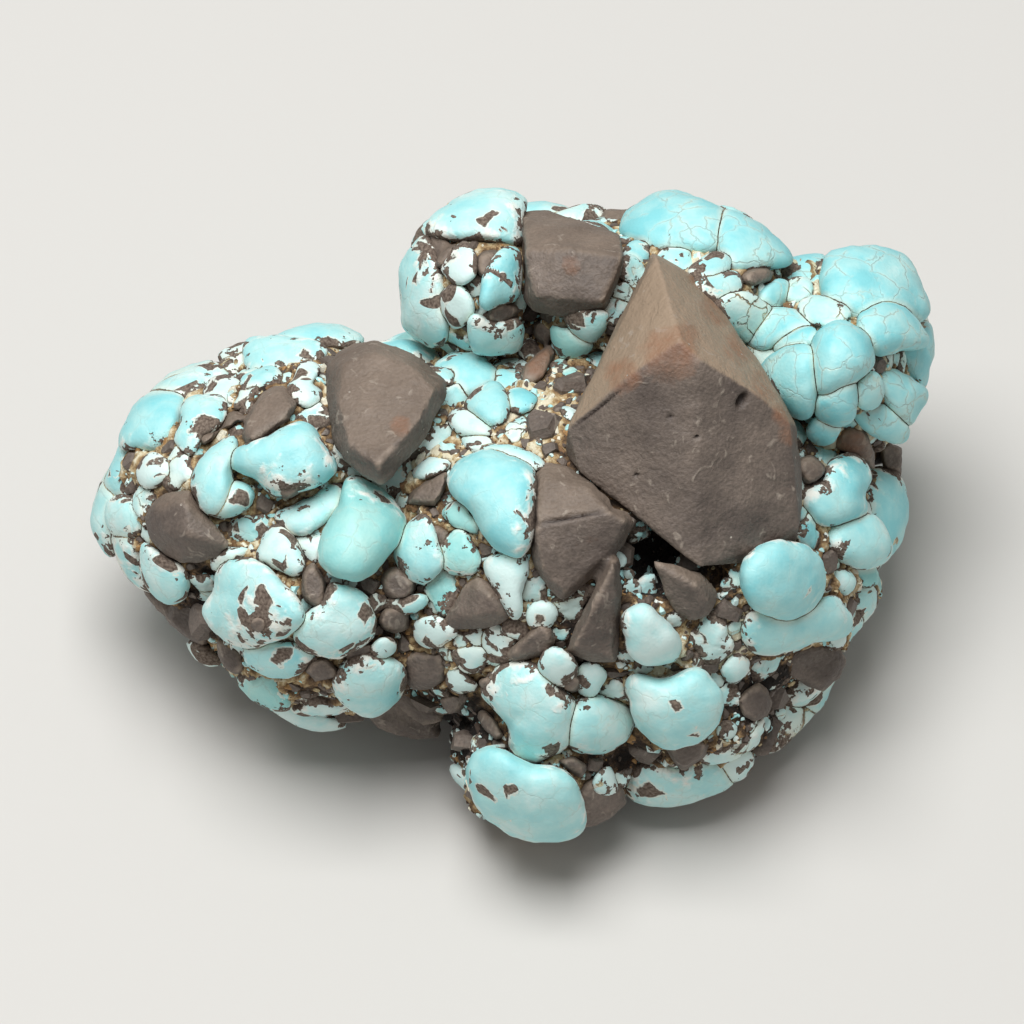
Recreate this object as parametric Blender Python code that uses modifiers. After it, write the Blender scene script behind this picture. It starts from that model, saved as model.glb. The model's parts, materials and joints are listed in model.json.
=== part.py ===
"""A raw turquoise nugget: pale botryoidal turquoise grown round angular clasts of grey-brown host rock.

The stone is one solid, resting on the broken flat face of a large clast. Its forms are drawn on its show
face, a plane that leans back from the horizontal: x runs across the stone, y up the face and z out of it.
Every size and place below is in millimetres, in that face frame unless it says otherwise.
"""

import math

import bmesh
import bpy
import numpy as np
from mathutils import Matrix, Vector, noise
from mathutils.bvhtree import BVHTree

MM = 0.001

# ---------------------------------------------------------------- driving dimensions
FACE_LEAN = math.radians(35.0)  # the show face leans back this far from lying flat
FACE_CENTRE = (-0.05, -2.4, 24.0)  # the face frame's origin above the floor, in the row frame
SOFFIT = 1.6  # nothing but the base clast reaches lower than this over the floor
TUCK = 7.0  # what lies under this height is drawn up towards the soffit
NODULE_FULLNESS = 0.52  # a nodule's crown over its outline, as a share of its mean radius
NODULE_SIT = 0.5  # a nodule's outline stands this far over the groundmass
NODULE_ROOT = 3.0  # and its root goes this far deeper than its crown is high
DOME_POWER = 2.3  # 2 is an ellipsoid; more has a flatter crown and fuller shoulders
CLAST_TABLE = 0.74  # a plain clast's broken table, as a share of its outline
CLAST_ROOT = 6.0
LUMP_HEIGHT = 1.1  # the groundmass is lumpy between its pieces
LUMP_SPACING = 3.4
SEAT_SPAN = 0.7  # a piece takes its lean from the groundmass this share of its reach to either side
STEEPEST_SEAT = 0.85  # a piece near the rim leans with the groundmass no more than this slope
FUSE_VOXEL = 0.62  # crystals and clasts are fused to one skin at this grain
MOST_TRIANGLES = 8600
STONE_COLOUR = (0.52, 0.66, 0.64, 1.0)

# ---------------------------------------------------------------- groundmass
# The groundmass under the nodules, as swellings: (centre), (radii along x, y and z).
SWELLINGS = [
    ((-27.0, 1.0, -5.0), (12.5, 12.5, 15.0)),  # left lobe
    ((-18.0, -6.5, -3.0), (14.2, 13.4, 16.0)),
    ((-21.0, 5.0, -5.0), (12.0, 11.0, 16.0)),
    ((-11.0, 8.0, -2.0), (10.0, 7.5, 13.0)),
    ((8.0, -3.0, -8.0), (29.0, 21.0, 26.0)),  # the stone's middle
    ((3.6, -23.6, -3.0), (9.4, 8.2, 11.0)),  # lower lip
    ((17.0, -17.6, -6.0), (10.6, 9.8, 15.0)),
    ((32.2, 14.6, -6.0), (8.4, 9.6, 15.0)),  # right shoulder
    ((-3.0, 22.5, -7.0), (6.8, 8.4, 15.0)),  # upper lobes
    ((9.0, 21.0, -8.0), (9.0, 7.5, 16.0)),
    ((19.0, 22.0, -8.0), (9.5, 7.5, 15.0)),
    ((8.0, 4.0, -16.0), (27.0, 17.0, 20.0)),  # back
]

# Pits that open between the pieces of the show face: (x, y, reach, depth).
PITS = [(14.2, -4.4, 4.6, 8.0), (19.4, -6.4, 2.6, 3.0), (14.8, -14.2, 1.6, 1.0)]

# ---------------------------------------------------------------- turquoise nodules
# Each is (crown height or None for the usual fullness, sit or None, outline points).
NODULES = [
    # left lobe
    (3.0, 0.0, [
        (-37.1, 11.5), (-35.6, 12.9), (-33.4, 14.4), (-31.0, 15.2), (-29.3, 15.9), (-30.9, 14.1),
        (-31.2, 12.2), (-32.4, 11.3), (-34.6, 11.7),
    ]),
    (4.5, 0.8, [
        (-39.7, 6.5), (-39.1, 8.2), (-38.2, 10.0), (-37.0, 11.6), (-35.4, 12.2), (-34.0, 12.1),
        (-33.0, 11.1), (-33.4, 9.2), (-34.4, 7.2), (-35.8, 6.3), (-37.7, 6.5),
    ]),
    (2.4, None, [
        (-33.0, 10.4), (-32.2, 11.4), (-30.8, 11.3), (-29.4, 11.4), (-28.8, 9.8), (-30.0, 8.2),
        (-31.2, 7.5), (-31.4, 5.7), (-33.0, 6.5), (-33.7, 7.8), (-32.8, 8.8),
    ]),
    (1.8, None, [
        (-30.8, 12.4), (-29.8, 13.4), (-27.8, 13.2), (-27.0, 12.1), (-27.0, 10.8), (-28.1, 10.2),
        (-29.2, 10.8), (-30.6, 11.4),
    ]),
    (1.6, None, [
        (-29.6, 16.0), (-27.4, 16.8), (-25.9, 17.3), (-26.0, 15.1), (-26.8, 13.8), (-28.0, 14.2),
    ]),
    (2.4, 0.8, [
        (-27.0, 17.1), (-25.0, 17.6), (-22.2, 17.4), (-20.0, 17.2), (-18.7, 16.2), (-19.2, 15.2),
        (-21.2, 14.8), (-23.4, 13.8), (-24.4, 12.4), (-25.6, 11.8), (-26.2, 13.1),
    ]),
    (3.0, 0.3, [
        (-25.4, 17.2), (-23.2, 18.0), (-20.8, 18.7), (-18.0, 19.0), (-16.0, 18.2), (-14.4, 17.2),
        (-15.4, 16.9), (-17.7, 16.6), (-20.7, 16.9), (-23.2, 16.6),
    ]),
    (1.8, 0.8, [
        (-21.0, 14.7), (-19.8, 14.8), (-19.2, 14.1), (-20.2, 12.8), (-19.1, 12.2), (-19.6, 11.1),
        (-21.0, 10.8), (-22.4, 12.1), (-21.6, 13.4),
    ]),
    (3.2, 0.6, [
        (-40.2, 5.0), (-39.6, 7.1), (-38.0, 6.7), (-37.8, 4.2), (-38.2, 2.0), (-39.0, 1.2),
        (-40.8, 2.2), (-41.1, 3.3),
    ]),
    (4.0, -0.5, [
        (-42.4, -1.6), (-42.2, 0.6), (-41.6, 2.8), (-40.2, 5.2), (-39.4, 3.9), (-40.0, 1.9),
        (-39.8, -0.6), (-40.1, -3.0), (-39.6, -5.9), (-40.6, -4.8),
    ]),
    (2.6, 0.6, [
        (-40.6, 0.7), (-39.6, 1.4), (-38.4, 1.2), (-36.8, 0.1), (-37.2, -1.8), (-38.4, -2.8),
        (-40.0, -2.1), (-40.8, -0.8),
    ]),
    (1.8, None, [
        (-37.4, 4.5), (-36.4, 5.5), (-35.0, 5.2), (-34.3, 4.2), (-35.4, 3.0), (-36.6, 2.6),
        (-37.5, 3.5),
    ]),
    (3.6, 0.8, [
        (-31.7, 3.2), (-31.2, 4.8), (-30.2, 6.0), (-28.8, 7.0), (-27.6, 7.7), (-27.2, 6.8),
        (-28.2, 4.8), (-28.2, 2.9), (-28.2, 1.2), (-29.0, -0.1), (-30.6, 0.1), (-31.5, 1.6),
    ]),
    (2.8, 0.8, [
        (-29.6, 1.2), (-28.2, 2.5), (-26.8, 2.5), (-25.9, 1.6), (-26.4, 0.7), (-27.8, -0.1),
        (-29.4, -0.4), (-30.2, 0.4),
    ]),
    (4.2, 1.4, [
        (-28.2, 4.7), (-27.8, 5.8), (-25.7, 6.8), (-23.6, 7.5), (-21.4, 8.8), (-19.8, 8.1),
        (-18.7, 6.0), (-17.5, 4.8), (-18.4, 3.5), (-20.2, 2.5), (-23.4, 1.9), (-25.4, 3.6),
    ]),
    (2.2, 0.3, [
        (-23.6, 0.2), (-21.7, 0.4), (-19.7, 1.4), (-18.2, 2.9), (-16.7, 2.2), (-17.4, 0.7),
        (-19.0, -1.1), (-20.6, -2.0), (-22.6, -1.4),
    ]),
    (5.2, 1.8, [
        (-17.2, 4.2), (-15.8, 3.4), (-13.6, 2.4), (-12.4, 1.4), (-11.2, 0.1), (-10.9, -1.4),
        (-11.6, -3.0), (-12.8, -4.2), (-13.8, -5.8), (-15.4, -6.7), (-17.4, -6.2), (-19.0, -4.5),
        (-18.8, -2.5), (-17.6, -0.6), (-16.6, 1.6),
    ]),
    (3.2, 0.6, [
        (-37.3, -2.0), (-36.4, -3.5), (-34.6, -4.7), (-33.2, -5.5), (-32.6, -6.8), (-33.2, -8.7),
        (-34.6, -9.1), (-35.6, -8.5), (-36.8, -6.6), (-37.2, -4.0),
    ]),
    (1.8, 0.6, [
        (-29.8, -5.3), (-29.4, -4.3), (-28.0, -3.8), (-26.3, -3.7), (-26.8, -4.5), (-28.6, -5.2),
        (-29.2, -6.0),
    ]),
    (4.0, 1.0, [
        (-29.4, -6.2), (-28.2, -5.3), (-25.6, -5.0), (-23.8, -6.3), (-22.4, -7.9), (-21.0, -9.3),
        (-21.1, -11.2), (-22.8, -12.2), (-25.4, -13.2), (-27.8, -12.9), (-29.8, -11.6), (-30.8, -9.8),
        (-29.6, -8.2),
    ]),
    (2.2, 0.4, [
        (-25.2, -4.5), (-24.2, -2.1), (-23.2, -1.6), (-21.8, -3.0), (-20.8, -5.3), (-21.8, -6.2),
        (-23.6, -5.2),
    ]),
    (3.4, 0.8, [
        (-18.4, -7.3), (-16.8, -7.4), (-15.0, -8.3), (-14.2, -9.8), (-13.9, -12.2), (-15.2, -13.2),
        (-17.4, -14.2), (-19.8, -13.8), (-21.4, -12.9), (-21.0, -10.9), (-19.6, -9.8), (-18.5, -8.9),
    ]),
    (2.2, 0.4, [
        (-26.7, -13.9), (-25.2, -13.4), (-22.2, -13.2), (-20.0, -13.9), (-20.8, -15.6), (-22.6, -16.4),
        (-24.8, -15.9), (-26.4, -14.9),
    ]),
    (2.4, 0.0, [
        (-27.6, -16.7), (-26.5, -16.2), (-24.8, -15.6), (-23.0, -16.6), (-22.5, -19.3), (-23.8, -19.8),
        (-25.6, -18.8), (-27.0, -17.8),
    ]),
    (2.6, -0.5, [
        (-24.4, -19.6), (-22.5, -19.3), (-20.4, -20.0), (-18.0, -20.8), (-16.4, -21.4), (-18.0, -22.0),
        (-20.6, -21.8), (-23.2, -20.6),
    ]),
    (3.8, 1.0, [
        (-17.4, -16.1), (-16.4, -14.9), (-14.4, -13.9), (-12.8, -14.8), (-11.4, -15.1), (-10.7, -16.4),
        (-11.2, -17.9), (-12.5, -19.6), (-14.4, -20.4), (-16.7, -19.1), (-17.7, -17.4),
    ]),
    (1.2, 0.8, [
        (-13.8, -13.6), (-13.0, -12.8), (-12.0, -12.9), (-11.9, -13.8), (-12.8, -14.4), (-13.6, -14.3),
    ]),
    (2.0, -0.6, [
        (-32.8, -13.4), (-31.4, -13.4), (-29.9, -14.6), (-29.6, -15.4), (-31.2, -15.0),
    ]),
    # middle
    (2.6, 0.8, [
        (-11.0, -2.8), (-9.8, -1.1), (-8.6, -0.6), (-7.8, -1.8), (-7.6, -3.3), (-7.0, -5.0),
        (-7.8, -6.0), (-9.2, -6.8), (-10.6, -6.0), (-11.4, -4.5),
    ]),
    (1.6, 0.4, [
        (-7.0, -3.5), (-5.8, -2.1), (-4.8, -2.0), (-3.8, -3.5), (-3.4, -5.2), (-4.8, -6.0),
        (-6.4, -5.5),
    ]),
    (4.8, 1.6, [
        (-6.1, 3.5), (-5.2, 4.8), (-3.8, 5.5), (-2.0, 5.8), (0.0, 5.3), (1.8, 4.2), (2.2, 2.9),
        (2.0, 0.4), (1.9, -2.0), (1.4, -4.0), (-0.2, -4.2), (-2.0, -3.0), (-3.2, -1.1), (-4.2, 0.7),
        (-5.8, 1.6),
    ]),
    (2.0, 0.8, [
        (-3.4, 5.7), (-2.6, 6.5), (-0.6, 6.5), (1.8, 5.8), (3.3, 4.8), (2.8, 3.9), (1.2, 4.5),
        (-1.0, 5.2),
    ]),
    (1.2, 0.4, [
        (-4.8, 7.2), (-3.8, 7.7), (-2.4, 7.2), (-1.8, 6.5), (-2.6, 6.2), (-4.0, 6.3),
    ]),
    (2.2, 0.8, [
        (-2.6, -5.0), (-1.2, -4.5), (0.0, -4.2), (1.2, -4.2), (1.3, -6.0), (0.7, -7.9), (0.8, -9.9),
        (0.2, -10.8), (-0.8, -8.9), (-1.8, -7.2),
    ]),
    (1.4, 0.5, [
        (-6.7, -0.2), (-6.2, 0.6), (-5.2, 0.8), (-4.4, -0.4), (-3.4, -1.4), (-3.6, -2.2), (-4.8, -1.5),
        (-6.0, -1.1),
    ]),
    (2.8, 0.8, [
        (-7.9, 14.6), (-6.4, 15.6), (-5.0, 15.8), (-3.4, 15.6), (-2.0, 14.4), (-1.4, 13.4),
        (-2.8, 12.2), (-4.6, 11.7), (-6.0, 12.2), (-7.0, 13.7),
    ]),
    (2.4, 0.8, [
        (-4.6, 10.8), (-3.6, 11.7), (-2.0, 12.7), (-1.0, 11.8), (-0.5, 10.4), (-1.0, 9.1), (-2.2, 8.8),
        (-3.6, 9.8),
    ]),
    (1.4, 0.4, [
        (-0.4, 11.2), (0.4, 12.1), (1.6, 11.9), (2.2, 11.2), (1.4, 10.2), (0.2, 10.2),
    ]),
    (1.8, 0.5, [
        (-6.3, 9.2), (-5.4, 10.1), (-4.0, 9.8), (-2.8, 8.8), (-1.9, 7.8), (-3.2, 7.7), (-5.4, 8.1),
    ]),
    (1.2, 0.6, [
        (-9.6, 4.0), (-8.4, 5.0), (-7.0, 5.0), (-6.2, 4.7), (-7.6, 3.9), (-9.0, 3.5),
    ]),
    (1.6, 0.4, [
        (-9.4, -11.2), (-8.2, -10.7), (-7.0, -10.8), (-5.6, -11.9), (-6.8, -12.9), (-8.4, -13.3),
        (-9.4, -12.6),
    ]),
    (1.4, 0.6, [
        (-12.7, -8.8), (-10.8, -8.7), (-9.0, -8.3), (-8.6, -9.3), (-10.2, -9.8), (-12.2, -9.8),
    ]),
    # upper left lobe
    (4.6, 0.6, [
        (-8.9, 28.3), (-7.4, 29.8), (-5.4, 31.2), (-3.4, 32.1), (-1.2, 32.4), (0.6, 31.9), (1.6, 31.1),
        (0.8, 29.6), (0.7, 26.9), (-1.0, 27.1), (-3.4, 27.4), (-5.8, 27.4),
    ]),
    (4.4, 0.4, [
        (-11.1, 22.6), (-11.0, 24.8), (-9.8, 26.8), (-8.5, 28.4), (-7.8, 26.4), (-7.2, 24.9),
        (-6.9, 22.6), (-6.6, 20.6), (-6.5, 17.9), (-7.4, 16.4), (-8.8, 17.2), (-11.0, 19.1),
        (-10.9, 20.0),
    ]),
    (1.8, 0.8, [
        (-6.6, 24.4), (-6.0, 25.9), (-4.8, 26.9), (-4.0, 25.9), (-3.8, 24.2), (-4.4, 23.1),
        (-5.6, 23.1),
    ]),
    (1.8, 0.8, [
        (-6.7, 21.6), (-5.6, 22.6), (-4.6, 21.9), (-4.0, 20.4), (-4.4, 19.4), (-5.8, 18.8),
        (-6.6, 20.1),
    ]),
    (2.6, 1.0, [
        (-2.4, 24.1), (-1.6, 25.4), (-0.6, 26.2), (0.5, 26.1), (0.7, 23.9), (0.5, 21.6), (-1.0, 21.1),
        (-2.4, 20.1), (-3.1, 20.6), (-2.8, 22.4),
    ]),
    (2.2, 0.8, [
        (-4.0, 19.6), (-2.8, 19.4), (-1.6, 18.8), (0.4, 19.2), (0.9, 17.9), (0.6, 16.2), (-1.2, 16.1),
        (-3.8, 16.4),
    ]),
    (1.2, 0.6, [
        (0.6, 17.2), (1.6, 17.8), (2.6, 16.4), (1.8, 15.6), (0.8, 15.9),
    ]),
    (1.8, 1.0, [
        (5.3, 19.4), (6.2, 20.6), (7.4, 20.1), (9.0, 19.9), (9.4, 19.1), (8.4, 17.4), (7.0, 17.6),
    ]),
    (1.6, 0.9, [
        (4.0, 18.6), (5.2, 18.1), (6.8, 17.9), (8.0, 16.6), (6.6, 15.7), (5.2, 15.8), (4.4, 17.1),
    ]),
    (3.2, -0.4, [
        (0.9, 31.3), (3.2, 31.5), (5.2, 30.9), (7.2, 30.3), (9.8, 30.3), (8.7, 29.4), (6.2, 29.2),
        (3.2, 29.9), (0.8, 30.1),
    ]),
    (1.8, 0.6, [
        (7.4, 28.9), (9.0, 29.6), (11.2, 29.4), (12.2, 28.6), (10.6, 28.1), (8.6, 28.1),
    ]),
    (5.4, 1.2, [
        (11.2, 29.6), (13.1, 31.3), (15.4, 32.1), (17.8, 31.9), (20.2, 30.9), (21.7, 29.7),
        (21.3, 28.4), (21.1, 26.6), (19.4, 25.8), (17.2, 26.2), (14.2, 26.1), (12.0, 27.2),
        (10.8, 28.4),
    ]),
    (4.0, 0.2, [
        (21.4, 30.2), (23.8, 29.5), (26.0, 27.9), (28.0, 26.0), (28.4, 25.3), (26.8, 24.8),
        (24.4, 24.4), (22.4, 24.2), (21.2, 25.6), (20.8, 28.1),
    ]),
    (1.4, 0.6, [
        (11.4, 26.2), (12.4, 26.9), (13.4, 26.6), (13.4, 25.4), (12.4, 24.8), (11.7, 25.4),
    ]),
    (1.6, 0.6, [
        (17.8, 24.2), (19.2, 25.2), (21.0, 25.8), (21.6, 24.6), (20.4, 23.6), (18.8, 23.4),
    ]),
    (2.0, 0.6, [
        (18.0, 23.1), (20.0, 23.4), (22.0, 23.9), (22.9, 23.2), (22.4, 21.9), (20.6, 20.9),
        (19.2, 21.4),
    ]),
    (2.2, 0.6, [
        (20.2, 20.6), (21.6, 21.4), (23.6, 21.6), (25.4, 20.6), (25.8, 19.6), (24.6, 18.2),
        (23.4, 17.4), (21.8, 18.6),
    ]),
    # right shoulder
    (2.8, 1.0, [
        (26.5, 24.9), (28.8, 25.7), (31.2, 26.1), (31.7, 25.8), (30.8, 23.2), (29.2, 23.1),
        (27.4, 23.2),
    ]),
    (2.2, 1.2, [
        (25.0, 21.4), (25.7, 22.6), (27.0, 23.2), (28.0, 22.4), (27.4, 21.1), (26.2, 20.2),
    ]),
    (1.8, 1.2, [
        (27.6, 21.6), (28.2, 23.1), (29.6, 23.2), (30.0, 22.1), (29.0, 21.2),
    ]),
    (6.4, 2.4, [
        (31.2, 23.6), (32.2, 25.8), (34.8, 26.5), (37.2, 26.6), (39.4, 25.8), (41.0, 23.6),
        (41.8, 21.2), (42.2, 19.6), (40.5, 19.2), (37.6, 19.6), (35.4, 18.9), (33.0, 19.6),
        (31.4, 21.4),
    ]),
    (4.6, 2.2, [
        (34.6, 18.9), (36.0, 20.1), (38.4, 20.6), (40.8, 19.0), (41.7, 16.8), (38.8, 16.4),
        (36.8, 15.8), (35.4, 16.9),
    ]),
    (4.6, 1.0, [
        (38.8, 17.6), (42.0, 19.2), (42.6, 17.8), (42.6, 16.2), (42.2, 14.4), (41.6, 12.4),
        (40.5, 12.7), (38.4, 15.1), (38.2, 16.4),
    ]),
    (3.2, 1.2, [
        (23.8, 17.9), (24.6, 19.2), (26.2, 20.2), (28.0, 20.1), (29.8, 19.2), (30.4, 18.2),
        (28.6, 17.9), (26.4, 16.9), (24.8, 16.4),
    ]),
    (2.0, 1.2, [
        (26.4, 16.6), (27.4, 17.6), (29.0, 18.4), (30.4, 18.1), (29.8, 16.9), (27.8, 16.1),
    ]),
    (2.0, 0.8, [
        (23.7, 17.1), (25.0, 17.1), (26.6, 16.2), (25.8, 14.7), (24.7, 13.8), (24.0, 15.2),
    ]),
    (4.4, 1.8, [
        (24.6, 12.8), (25.2, 14.2), (26.6, 15.7), (28.2, 16.4), (29.9, 16.2), (30.1, 14.2),
        (30.2, 11.7), (29.6, 9.8), (28.2, 9.7), (26.4, 10.8), (25.0, 11.7),
    ]),
    (4.6, 2.0, [
        (30.1, 16.6), (31.0, 18.2), (32.6, 18.9), (34.4, 18.1), (35.8, 16.2), (35.8, 14.8),
        (34.2, 13.2), (32.2, 12.1), (30.6, 11.7), (30.1, 14.1),
    ]),
    (3.0, 1.4, [
        (30.4, 11.2), (31.8, 12.2), (33.8, 13.2), (34.1, 11.4), (33.7, 9.4), (32.2, 8.9), (30.8, 9.8),
    ]),
    (1.8, 1.0, [
        (29.8, 8.1), (30.6, 9.2), (32.0, 9.1), (32.6, 8.1), (31.4, 7.0), (30.2, 7.2),
    ]),
    (2.2, 1.4, [
        (34.4, 12.1), (35.0, 13.2), (36.2, 13.8), (36.9, 12.7), (36.6, 10.8), (35.2, 10.4),
    ]),
    (3.0, 1.2, [
        (36.8, 13.2), (37.7, 14.3), (40.1, 13.1), (41.6, 12.0), (40.8, 10.0), (40.0, 8.8), (37.8, 10.9),
    ]),
    (2.2, 1.0, [
        (34.2, 10.1), (35.8, 10.6), (37.7, 10.2), (39.8, 8.4), (39.6, 7.2), (37.7, 7.4), (35.6, 8.4),
    ]),
    (1.8, 0.8, [
        (29.0, 20.6), (30.2, 21.4), (32.4, 20.9), (33.8, 19.9), (32.8, 18.9), (31.0, 18.6),
        (29.4, 19.4),
    ]),
    # right flank
    (4.0, 1.0, [
        (31.2, 3.0), (32.0, 4.8), (33.4, 5.5), (35.0, 5.2), (35.8, 3.5), (35.2, 1.6), (35.6, 0.2),
        (34.2, -0.6), (32.4, -1.1), (30.6, -1.0), (29.6, 0.2), (28.8, 1.9), (30.0, 2.9),
    ]),
    (4.6, 0.6, [
        (35.4, 2.6), (36.4, 4.2), (38.8, 4.0), (39.8, 2.4), (40.0, 0.2), (39.6, -2.2), (38.8, -3.8),
        (37.8, -4.6), (37.1, -4.3), (36.3, -2.1), (35.4, 0.2),
    ]),
    (4.0, 0.8, [
        (31.3, -2.8), (32.4, -1.1), (34.4, -0.6), (36.2, -0.6), (38.2, -3.4), (37.4, -5.0),
        (35.7, -5.5), (32.8, -4.5),
    ]),
    (5.0, 2.2, [
        (22.9, -6.8), (23.3, -4.8), (25.0, -3.5), (27.2, -3.0), (29.4, -3.7), (30.7, -5.2),
        (31.0, -6.8), (30.4, -8.6), (28.8, -10.2), (27.0, -10.3), (24.8, -9.8), (23.4, -8.6),
    ]),
    (4.0, 1.0, [
        (23.0, -12.2), (23.8, -9.8), (26.2, -9.9), (28.6, -10.3), (30.6, -8.9), (32.0, -8.3),
        (33.7, -10.5), (33.8, -12.4), (30.2, -12.8), (27.4, -13.9), (24.8, -14.2), (23.5, -13.2),
    ]),
    (1.4, 0.2, [
        (32.0, -6.5), (33.0, -6.0), (34.3, -6.9), (33.6, -8.1), (32.6, -7.6),
    ]),
    (1.6, 0.2, [
        (33.8, -5.0), (35.3, -4.8), (36.7, -5.6), (36.6, -7.0), (35.1, -7.0),
    ]),
    (2.0, -0.2, [
        (32.7, -10.9), (33.9, -10.0), (35.4, -10.8), (34.6, -12.2), (33.4, -13.4), (32.6, -12.1),
    ]),
    (2.4, -0.4, [
        (34.1, -7.6), (35.4, -7.0), (36.7, -8.2), (36.4, -9.8), (35.4, -11.0), (34.4, -9.7),
    ]),
    (2.6, -0.6, [
        (28.9, -18.1), (30.2, -16.4), (32.3, -14.7), (33.0, -15.8), (32.2, -18.0), (30.8, -20.4),
        (29.3, -20.1),
    ]),
    (1.6, 0.3, [
        (26.1, -19.9), (26.8, -18.9), (29.2, -19.8), (29.2, -21.6), (28.0, -22.9), (26.8, -22.4),
    ]),
    (2.6, -0.8, [
        (24.3, -22.6), (26.5, -21.1), (29.2, -19.8), (31.4, -18.8), (30.6, -20.6), (28.6, -22.8),
        (26.2, -24.6),
    ]),
    # lower lip
    (5.0, 2.4, [
        (-3.0, -18.1), (-1.8, -15.9), (-0.6, -15.2), (1.4, -14.9), (3.2, -15.6), (4.8, -17.6),
        (6.2, -18.9), (5.8, -21.4), (5.6, -23.4), (3.6, -24.4), (1.4, -25.1), (-0.2, -23.6),
        (0.0, -21.4), (-1.6, -19.6),
    ]),
    (2.4, 2.0, [
        (3.0, -15.4), (4.0, -13.8), (5.4, -14.2), (6.2, -15.4), (5.8, -16.9), (4.6, -17.1),
    ]),
    (4.2, 2.0, [
        (5.6, -21.1), (6.2, -19.4), (7.8, -18.6), (10.0, -18.9), (11.6, -20.1), (11.6, -21.9),
        (10.2, -23.4), (7.8, -23.9), (6.0, -23.6),
    ]),
    (1.4, 1.0, [
        (6.8, -15.9), (8.0, -15.1), (9.0, -15.9), (8.6, -17.1), (7.8, -18.1), (7.0, -17.6),
    ]),
    (5.0, 2.0, [
        (11.3, -17.1), (12.4, -16.1), (14.6, -16.9), (16.8, -16.2), (18.4, -15.6), (19.5, -16.8),
        (20.6, -18.4), (20.6, -20.4), (19.6, -21.9), (17.8, -22.8), (15.8, -23.4), (13.8, -22.4),
        (12.2, -20.6), (12.0, -18.8),
    ]),
    (3.4, 1.4, [
        (11.1, -10.8), (12.0, -9.6), (13.4, -9.4), (14.8, -10.8), (16.5, -12.8), (16.0, -14.6),
        (14.0, -15.1), (12.2, -14.3), (11.6, -12.8),
    ]),
    (1.6, 0.6, [
        (21.2, -15.9), (21.6, -14.9), (22.6, -14.3), (23.6, -15.4), (22.8, -16.6), (21.8, -16.9),
    ]),
    (6.0, 0.8, [
        (-4.4, -26.3), (-3.6, -24.1), (-1.4, -23.6), (0.6, -24.8), (2.4, -25.6), (4.4, -25.6),
        (6.0, -26.8), (6.9, -29.0), (7.2, -31.6), (5.2, -32.8), (2.8, -33.0), (0.2, -32.4),
        (-2.0, -30.8), (-3.4, -29.2),
    ]),
    (5.0, 0.4, [
        (12.2, -29.2), (11.6, -26.1), (14.0, -24.9), (16.8, -25.6), (19.2, -24.4), (21.5, -25.3),
        (22.4, -27.8), (20.4, -28.4), (18.0, -29.5), (15.0, -29.9), (12.8, -29.7),
    ]),
    (1.2, 0.4, [
        (8.3, -27.4), (9.0, -26.1), (9.8, -25.9), (10.3, -27.9), (9.5, -28.5),
    ]),
    (1.6, 0.0, [
        (20.6, -22.4), (21.4, -21.1), (22.2, -21.6), (22.0, -22.4),
    ]),
    (2.0, 0.0, [
        (20.7, -25.0), (21.7, -23.8), (24.0, -24.6), (23.6, -26.2), (22.2, -27.0),
    ]),
    (1.2, 0.3, [
        (-5.8, -13.9), (-4.2, -13.7), (-3.0, -13.9), (-3.0, -15.4), (-4.4, -15.8), (-5.2, -14.9),
    ]),
    (1.2, 0.3, [
        (-6.3, -16.6), (-5.6, -15.6), (-4.4, -16.6), (-3.6, -17.6), (-5.2, -17.9), (-6.1, -17.6),
    ]),
    (1.2, 0.6, [
        (1.8, -10.2), (2.6, -9.3), (3.8, -9.3), (4.3, -10.2), (3.4, -11.3), (2.2, -11.3),
    ]),
    (2.2, -0.8, [
        (-6.2, -26.0), (-5.2, -25.8), (-4.3, -26.6), (-4.0, -28.6), (-5.2, -27.4),
    ]),
]

# ---------------------------------------------------------------- clasts of host rock
# The great clast, a blunt three-sided point whose lowest side is the widest: its corners (x, y, z).
GREAT_CLAST = [
    # ridges: from the apex down, to the left and to the right
    (16.6, 16.8, 24.2), (18.4, 15.0, 24.2), (15.6, 20.6, 20.2), (14.3, 25.5, 13.5),
    (11.4, 13.2, 22.8), (5.4, 8.2, 18.6), (24.2, 11.6, 20.8), (27.6, 8.8, 17.8),
    # lower edge
    (28.4, -1.6, 14.8), (23.0, -4.2, 17.2), (18.6, -5.4, 18.6), (14.8, -2.2, 18.9), (11.8, 0.8, 18.9),
    (6.8, 3.9, 18.5),
    # where it meets the groundmass
    (14.0, 25.9, 8.0), (18.2, 23.6, 8.0), (24.4, 15.6, 11.0), (28.4, 8.6, 12.5), (29.0, 0.6, 11.5),
    (28.4, -3.0, 12.0), (23.4, -5.0, 14.0), (18.8, -5.2, 15.0), (10.6, 1.6, 15.5), (5.2, 5.8, 15.5),
    (6.8, 11.2, 14.0), (10.4, 18.2, 9.0),
    # root
    (15.2, 20.0, -2.0), (23.0, 10.5, 0.0), (24.0, 2.0, 3.0), (16.0, 2.6, 4.0), (10.4, 8.8, 4.0),
]

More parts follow.
